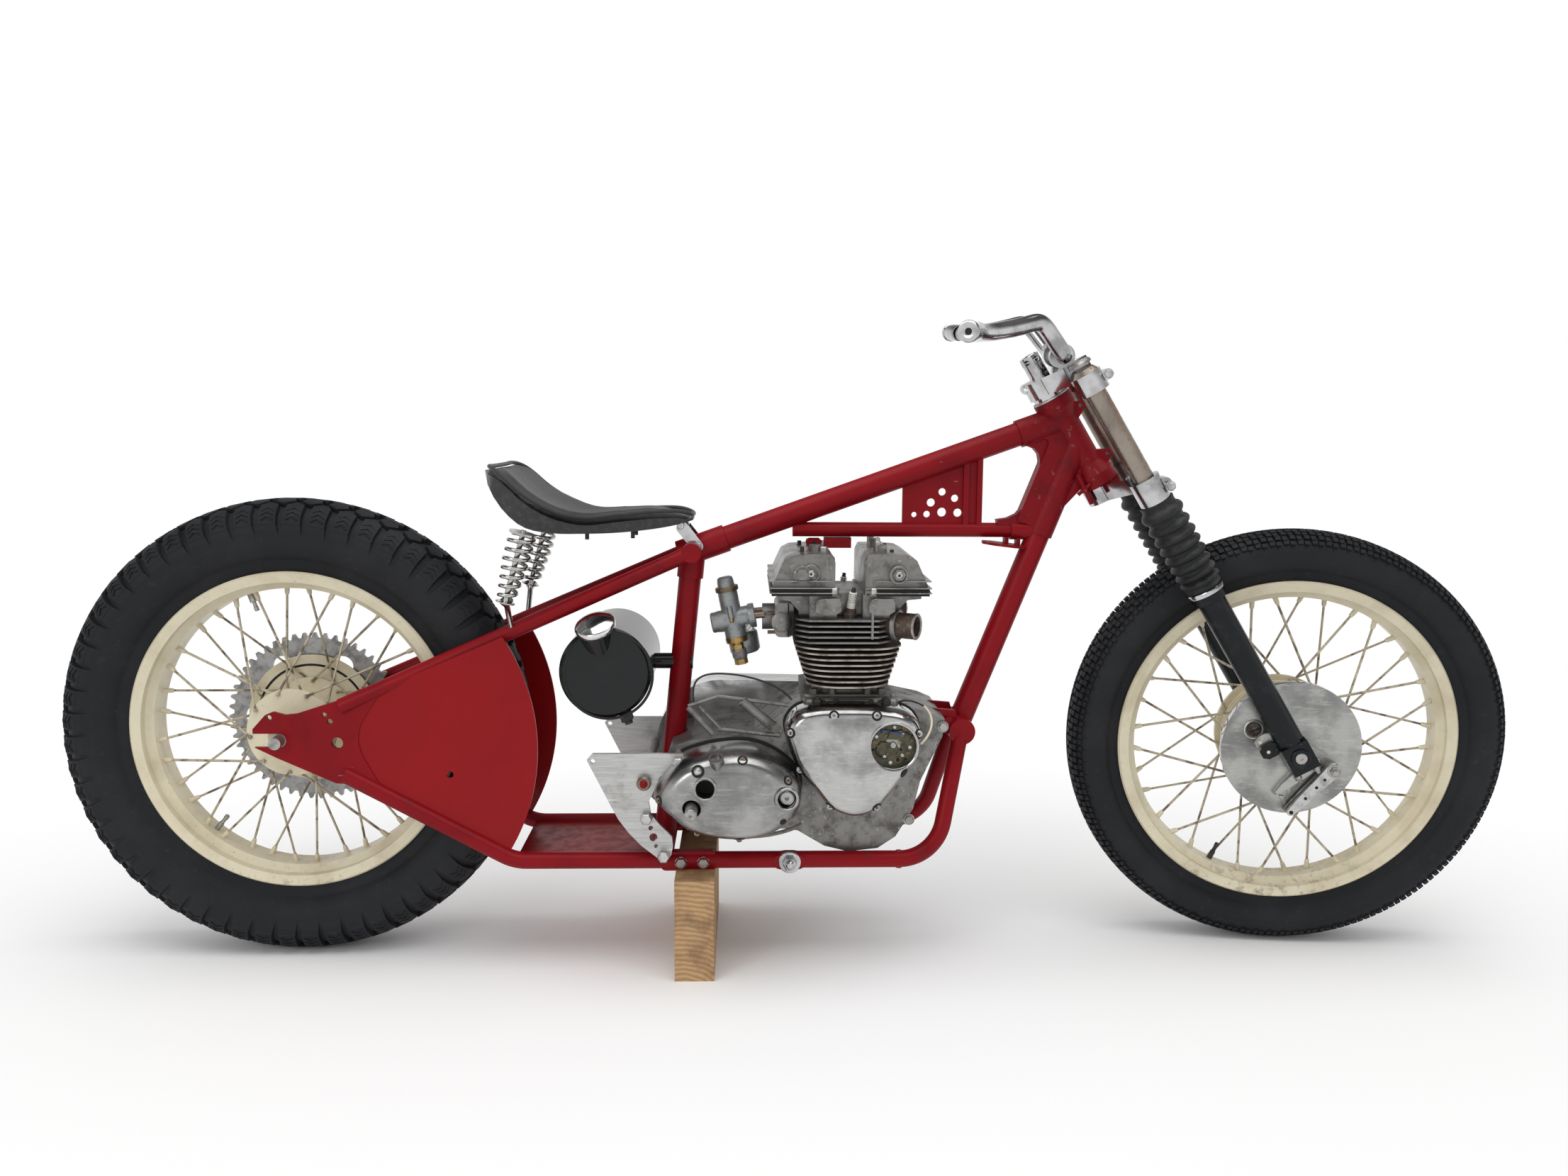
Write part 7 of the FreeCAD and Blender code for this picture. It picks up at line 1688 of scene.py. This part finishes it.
class CHOPPER_OT_fork(Piece):
    """Bolts, caps, knob and small brackets of the yokes, fork legs and brake plate"""
    bl_idname = "chopper.fork"
    bl_label = "Fork"

    def make(self, look):
        right, across = -FORK_LEFT, FORK_LEFT
        copies("pinch_bolts", [hexagon(6.4, 0, 5.5, 1.0), disc(7.6, -1, 0.8, 20)],
            [(on_fork(77, side * 82 - 12, along), right, FORK_UP) for side in (-1, 1) for along in YOKES],
            "bright_zinc", body="fork")
        copies("pinch_nuts", [hexagon(6.0, 0, 5.0, 1.0), lathe([(0, 4), (3, 4), (3, 8), (0, 8.4)], 14)],
            [(on_fork(77, side * 82 + 12, along), across, FORK_UP) for side in (-1, 1) for along in YOKES],
            "plated_steel", body="fork")
        caps = [lathe([(0, 0), (17.2, 0), (17.2, 3.4), (14.2, 6.6), (9.5, 6.6), (9.0, 2.6), (0, 2.4)], 40,
            fork_place(LEG_AHEAD, side * LEG_HALF, 1029)) for side in (-1, 1)]
        caps += [hexagon(8.4, 0, 6, 0.8, fork_place(LEG_AHEAD, side * LEG_HALF, 1030)) for side in (-1, 1)]
        made("stanchion_caps", caps, "plated_steel", body="fork")
        made("damper_top", [lathe([(0, 1066), (9.0, 1066), (12.6, 1069), (13.4, 1071.5), (11.5, 1074),
            (5, 1075), (0, 1075)], 36, FORK)], "chrome", body="fork")
        made("lug_seams", [bent([on_fork(-24, -27, 884), on_fork(-27, -27, 834)], 3.6, order=2, sides=10),
            bent([on_fork(-14, -27, 862), on_fork(-38, -25, 856)], 3.0, order=2, sides=10)], "cast_red")
        made("spindle_ends", [lathe([(0, 0), (8.4, 0), (8.4, 1.6), (7.4, 2.2), (2.2, 2.2), (1.8, 1), (0, 1)],
            28, facing(FORK_LEFT * side, on_fork(50, side * 104, 357))) for side in (-1, 1)], "plated_steel",
            body="fork")
        made("spindle_bosses", [lathe([(8.6, 0), (14.5, 0), (14.5, 1.2), (13.5, 2), (8.6, 2)], 32,
            facing(FORK_LEFT * side, on_fork(50, side * 103.6, 357)), closed=True) for side in (-1, 1)],
            "leg_black", body="fork")
        copies("foot_nuts", [hexagon(5.6, -2, 5.5, 1.0), lathe([(0, 5), (3.2, 5), (3.2, 9.4), (0, 9.8)], 14)],
            [(on_fork(50 + dx, side * 82, 324), -FORK_UP, FORK_AHEAD) for side in (-1, 1) for dx in (-15, 15)],
            "plated_steel", body="fork")
        made("brake_rim", [lathe([(99.5, 56.6), (104.2, 56.6), (104.4, 55.2), (104.2, 46.5), (99.5, 46.5)], 80,
            FRONT_WHEEL @ Matrix.Rotation(radians(90), 4, "X"), closed=True)], "chrome", body="fork")
        made("brake_ridge", [prism(rounded([(82, 328), (74, 309), (-4, 303), (-8, 311), (50, 332)], 1), 56.5,
            66, 3.2, FORK_SIDE), prism([(-2, 276), (4, 276), (5, 296), (0, 300)], 56.5, 59.5, 0.8, FORK_SIDE),
            prism([(12, 290), (18, 290), (20, 306), (15, 308)], 56.5, 59.5, 0.8, FORK_SIDE)], "plate_alloy",
            body="fork")
        place = facing(right, on_fork(15.5, -57.2, 412))
        made("brake_boss", [lathe([(10.6, -1), (15.6, -1), (15.2, 1.4), (13.4, 2.2), (10.6, 1.2)], 36, place,
            closed=True)], "bright_zinc", body="fork")
        made("brake_bolt", [lathe([(0, -1), (10.4, -1), (10.4, 4.0), (9.2, 5.2), (0, 5.2)], 28, place)],
            "rusty_iron", body="fork")
        # The slot in the bolt's head is a black bar of painted shade.
        made("brake_bolt_slot", [prism(oblong(-9.6, -1.1, 9.6, 1.1), 4.8, 5.5, 0,
            place @ Matrix.Rotation(0.4, 4, "Z"))], "dark_hole", body="fork")
        made("brake_lever", [prism(rounded([(95, 312), (92, 294), (84, 291), (2, 268), (-5, 272), (-3, 281),
            (78, 313), (88, 316)], 1), 72.5, 77.5, 0.9, FORK_SIDE)], "bright_zinc", body="fork")
        # The lever's holes are black discs of painted shade.
        made("lever_eyes", [disc(r, 0, 0.6, 18, facing(right, on_fork(f, -77.3, a)))
            for f, a, r in ((1.5, 274.5, 3.2), (30, 284.5, 2.4), (52, 292, 2.4), (68, 297.5, 2.2))],
            "dark_hole", body="fork")
        made("lever_nut", [lathe([(0, 0), (10.5, 0), (10.5, 20.6), (9, 21.6), (0, 21.6)], 28),
            hexagon(7.4, 21.4, 27, 1.2), lathe([(0, 26), (4.2, 26), (4.2, 30), (0, 30.4)], 16)], "plated_steel",
            facing(right, on_fork(86, -57, 303.4)), body="fork")
        for name, low, high, near, finish in (("slider_tab", 371, 393, -86, "leg_black"),
                ("stay_tab", 388, 407, -78, "plated_steel")):
            made(name, [prism(rounded(oblong(4, low, 34, high), 1), -1.8, 1.8, 0.5,
                basis(FORK_AHEAD, FORK_UP, right, on_fork(0, near, 0)))], finish, body="fork")
        made("tab_holes", [disc(2.7, -2.1, 2.1, 18, facing(right, on_fork(f, l, a)))
            for f, l, a in ((15, -86, 382), (12, -78, 398))], "wheel_cream", body="fork")
        for side in (-1, 1):
            made("leg_band_" + ("right" if side < 0 else "left"), [lathe([(24.0, 632), (26.2, 633), (26.2, 645),
                (24.0, 646.2)], 52, fork_place(LEG_AHEAD, side * LEG_HALF, 0), closed=True)], "leg_black",
                body="fork")


# How far out the side plates and the lower rails' lugs reach.
PLATE_MM, RAIL_MM = 125, 104


class CHOPPER_OT_frame_parts(Piece):
    """Oil tank fittings, plate bolts, lug details and trim on the frame"""
    bl_idname = "chopper.frame_parts"
    bl_label = "Frame fittings"

    def make(self, look):
        made("oil_union", [hexagon(10.5, 0, 12, 1.2), disc(7.5, -6, 0, 20), disc(6.0, 12, 17, 20)],
            "dull_black", facing(Vector((0.34, 0, -0.94)).normalized(), at(503, -80, 387)))
        made("oil_tank_bead", [lathe([(62.6, -0.6), (66.2, -0.6), (66.8, 0.6), (66.2, 1.8), (62.6, 1.8)], 72,
            facing(RIGHT_SIDE, at(480.3, -96.6, 447.2)), closed=True)], "gloss_black")
        plate = ((583, 323.4), (536.4, 239.5), (561.3, 182))
        for side, tag in SIDES:
            out = Vector((0, side, 0))
            heads("plate_bolts_" + tag, [hexagon(9.0, 0, 7, 1.6)], [at(x, side * PLATE_MM, z)
                for x, z in plate], out, "bright_zinc")
            made("plate_stud_" + tag, [lathe([(0, 0), (10.5, 0), (10.5, 3), (9, 5), (6, 5), (0, 5)], 26,
                facing(out, at(533.3, side * PLATE_MM, 292.9)))], "rusty_fastener")
            made("plate_tip_" + tag, [lathe([(0, 4), (5.6, 4), (5.4, 8), (4, 10), (0, 11)], 20,
                facing(out, at(533.3, side * PLATE_MM, 292.9)))], "cast_red")
            heads("rail_bolts_" + tag, hex_head(7.6, 5.5, 9.2, 1.5), [at(x, side * RAIL_MM, z)
                for x, z in ((585.6, 165), (618.8, 165))], out, "plated_steel")
            made("rail_nut_" + tag, [lathe([(0, 0), (16.5, 0), (16.5, 2.2), (15.4, 3), (9, 3), (0, 3)], 36),
                hexagon(11.0, 2.8, 11, 1.8), lathe([(0, 10), (6.4, 10), (6.2, 15), (4, 17.5), (0, 18)], 24)],
                "chrome", facing(out, at(747.3, side * RAIL_MM, 165)))
            made("rail_lug_" + tag, [prism(rounded([(720, 152), (774, 152), (772, 178), (722, 178)]), 88, 104.4,
                1.5, basis(AHEAD, SKY, out, at(0, 0, 0)) if side < 0 else basis(-AHEAD, SKY, LEFT_SIDE,
                at(1494, 0, 0)))], "frame_red")
        made("tank_tab", [prism(rounded([(769, 641), (800, 641), (789, 620), (780, 620)], 1), -3, 3, 0.6, SIDE),
            prism(oblong(800, 626.5, 841, 642), -11, 11, 1.2, SIDE)], "cast_red")
        # The tab's hole is a black disc of painted shade.
        made("tank_tab_hole", [disc(4.0, -3.3, 3.3, 20, facing(RIGHT_SIDE, at(784.5, 0, 632)))], "dark_hole")
        made("rail_shelf", [prism(rounded([(1046, -32), (1112, -32), (1112, 18), (1052, 18)], 1), -2, 2, 0.5,
            basis(Vector((cos(0.12), 0, -sin(0.12))), LEFT_SIDE, Vector((sin(0.12), 0, cos(0.12))),
            at(0, 0, 762))), prism(oblong(1076, -8, 1082, 8), 630, 644, 0, Matrix.Translation(at(0, 0, 0))),
            prism(oblong(1094, -8, 1100, 8), 628, 644, 0, Matrix.Translation(at(0, 0, 0)))], "cast_red")
        made("lock_ring", [lathe([(21, 0), (29.4, 0), (29.4, 4.4), (27.5, 5.4), (21, 5.4)], 48,
            FORK @ shift(0, 0, 999), closed=True)], "bright_zinc", body="fork")
        made("lug_webs", [prism([(1150, 796), (1084, 784), (1107, 782), (1116.6, 778.5), (1123.5, 770.5),
            (1125.9, 760), (1124.6, 747), (1142, 752)], -9, 9, 0, SIDE), prism([(1118, 716), (1109.4, 708.6),
            (1103.5, 691.4), (1093, 679), (1080, 672.8), (1063, 670.3), (1066, 655), (1110, 655), (1126, 716)],
            -9, 9, 0, SIDE)], "cast_red", angle=60)
        root, end = at(480.3, -62, 447.2), at(463.7, -97, 516.7)
        cap = made("oil_dome", [lathe([(0, -1), (29, -1), (30, 0), (30.2, 7.5), (29.2, 9), (27, 10.2), (21, 13),
            (13, 15), (6, 15.9), (0, 16.1)], 64, facing((end - root).normalized(), end))], "dome_chrome",
            slot="chrome_plate", angle=50)
        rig.replaces(cap, "oil_cap")
        made("rail_strut", [disc(5, 0, 26, 16, facing(SKY, at(912, -92, 152)))], "frame_red")
        copies("link_bolts", [hexagon(5.6, 0, 4.5, 0.9)], [(at(x, side * 32, z), Vector((0, side, 0)), SKY)
            for side in (-1, 1) for x, z in ((584, 661), (609, 632))], "bright_zinc")


class CHOPPER_OT_handlebar(Piece):
    """Bar bent from one tube, with turned sleeves and a bored plug in each end"""
    bl_idname = "chopper.handlebar"
    bl_label = "Handlebar"

    def make(self, look):
        route = [(38.6, 0, 1051.2), (38.6, 40, 1051.2), (38.6, 68, 1051.6), (38.2, 78, 1055), (36.5, 83, 1066),
            (34, 92, 1092), (32, 97, 1106), (27, 103, 1115), (16, 112, 1118.5), (-10, 136, 1126),
            (-44, 178, 1140), (-57, 205, 1147), (-64, 228, 1153), (-70, 252, 1158)]
        points = [on_fork(f, -l, a) for f, l, a in reversed(route[1:])] + [on_fork(*p) for p in route]
        pairs = [(on_fork(-72, side * 254, 1158.4), on_fork(-63, side * 222, 1152.4)) for side in (-1, 1)]
        stands = [facing((tip - before).normalized(), tip) for tip, before in pairs]
        bar = made("bar_tube", [bent(points, 12.4, order=4, sides=20), *[lathe([(11.8, -46), (13.3, -46),
            (13.5, -45), (13.5, -6), (14.6, -5), (14.6, -0.8), (13.6, 0.6), (7, 1.2), (4.6, 0.4), (4.4, -10),
            (0, -10)], 48, stand) for stand in stands]], "chrome", body="fork", slot="chrome_plate", angle=40)
        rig.replaces(bar, "handlebar")
        # A black plug paints the shade inside each end's bore.
        made("bar_holes", [disc(4.4, -8, 0.9, 20, stand) for stand in stands], "dark_hole", body="fork")


class CHOPPER_PT_panel(bpy.types.Panel):
    """Settings of the chopper's looks, and a button for each step"""
    bl_idname = "CHOPPER_PT_panel"
    bl_label = "Chopper"
    bl_space_type = "VIEW_3D"
    bl_region_type = "UI"
    bl_category = "Chopper"

    def draw(self, context):
        look = context.scene.chopper
        for key in ChopperLook.__annotations__:
            self.layout.prop(look, key)
        for step in STEPS:
            self.layout.operator(step.bl_idname)


STEPS = tuple([item for name, item in list(globals().items()) if name.startswith("CHOPPER_OT_")])


def register():
    for item in (ChopperLook, *STEPS, CHOPPER_PT_panel):
        bpy.utils.register_class(item)
    bpy.types.Scene.chopper = PointerProperty(type=ChopperLook)


def unregister():
    del bpy.types.Scene.chopper
    for item in (CHOPPER_PT_panel, *reversed(STEPS), ChopperLook):
        bpy.utils.unregister_class(item)


def main():
    register()
    for step in STEPS:
        group, name = step.bl_idname.split(".")
        if getattr(getattr(bpy.ops, group), name)() != {"FINISHED"}:
            raise RuntimeError(step.bl_label + " didn't finish")
    boxes = {"cad": [list(corner) for corner in CAD_BOX], "visual": [list(corner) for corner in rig.bounds()]}
    with open("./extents.json", "w") as out:
        json.dump(boxes, out)


if __name__ == "__main__":
    main()
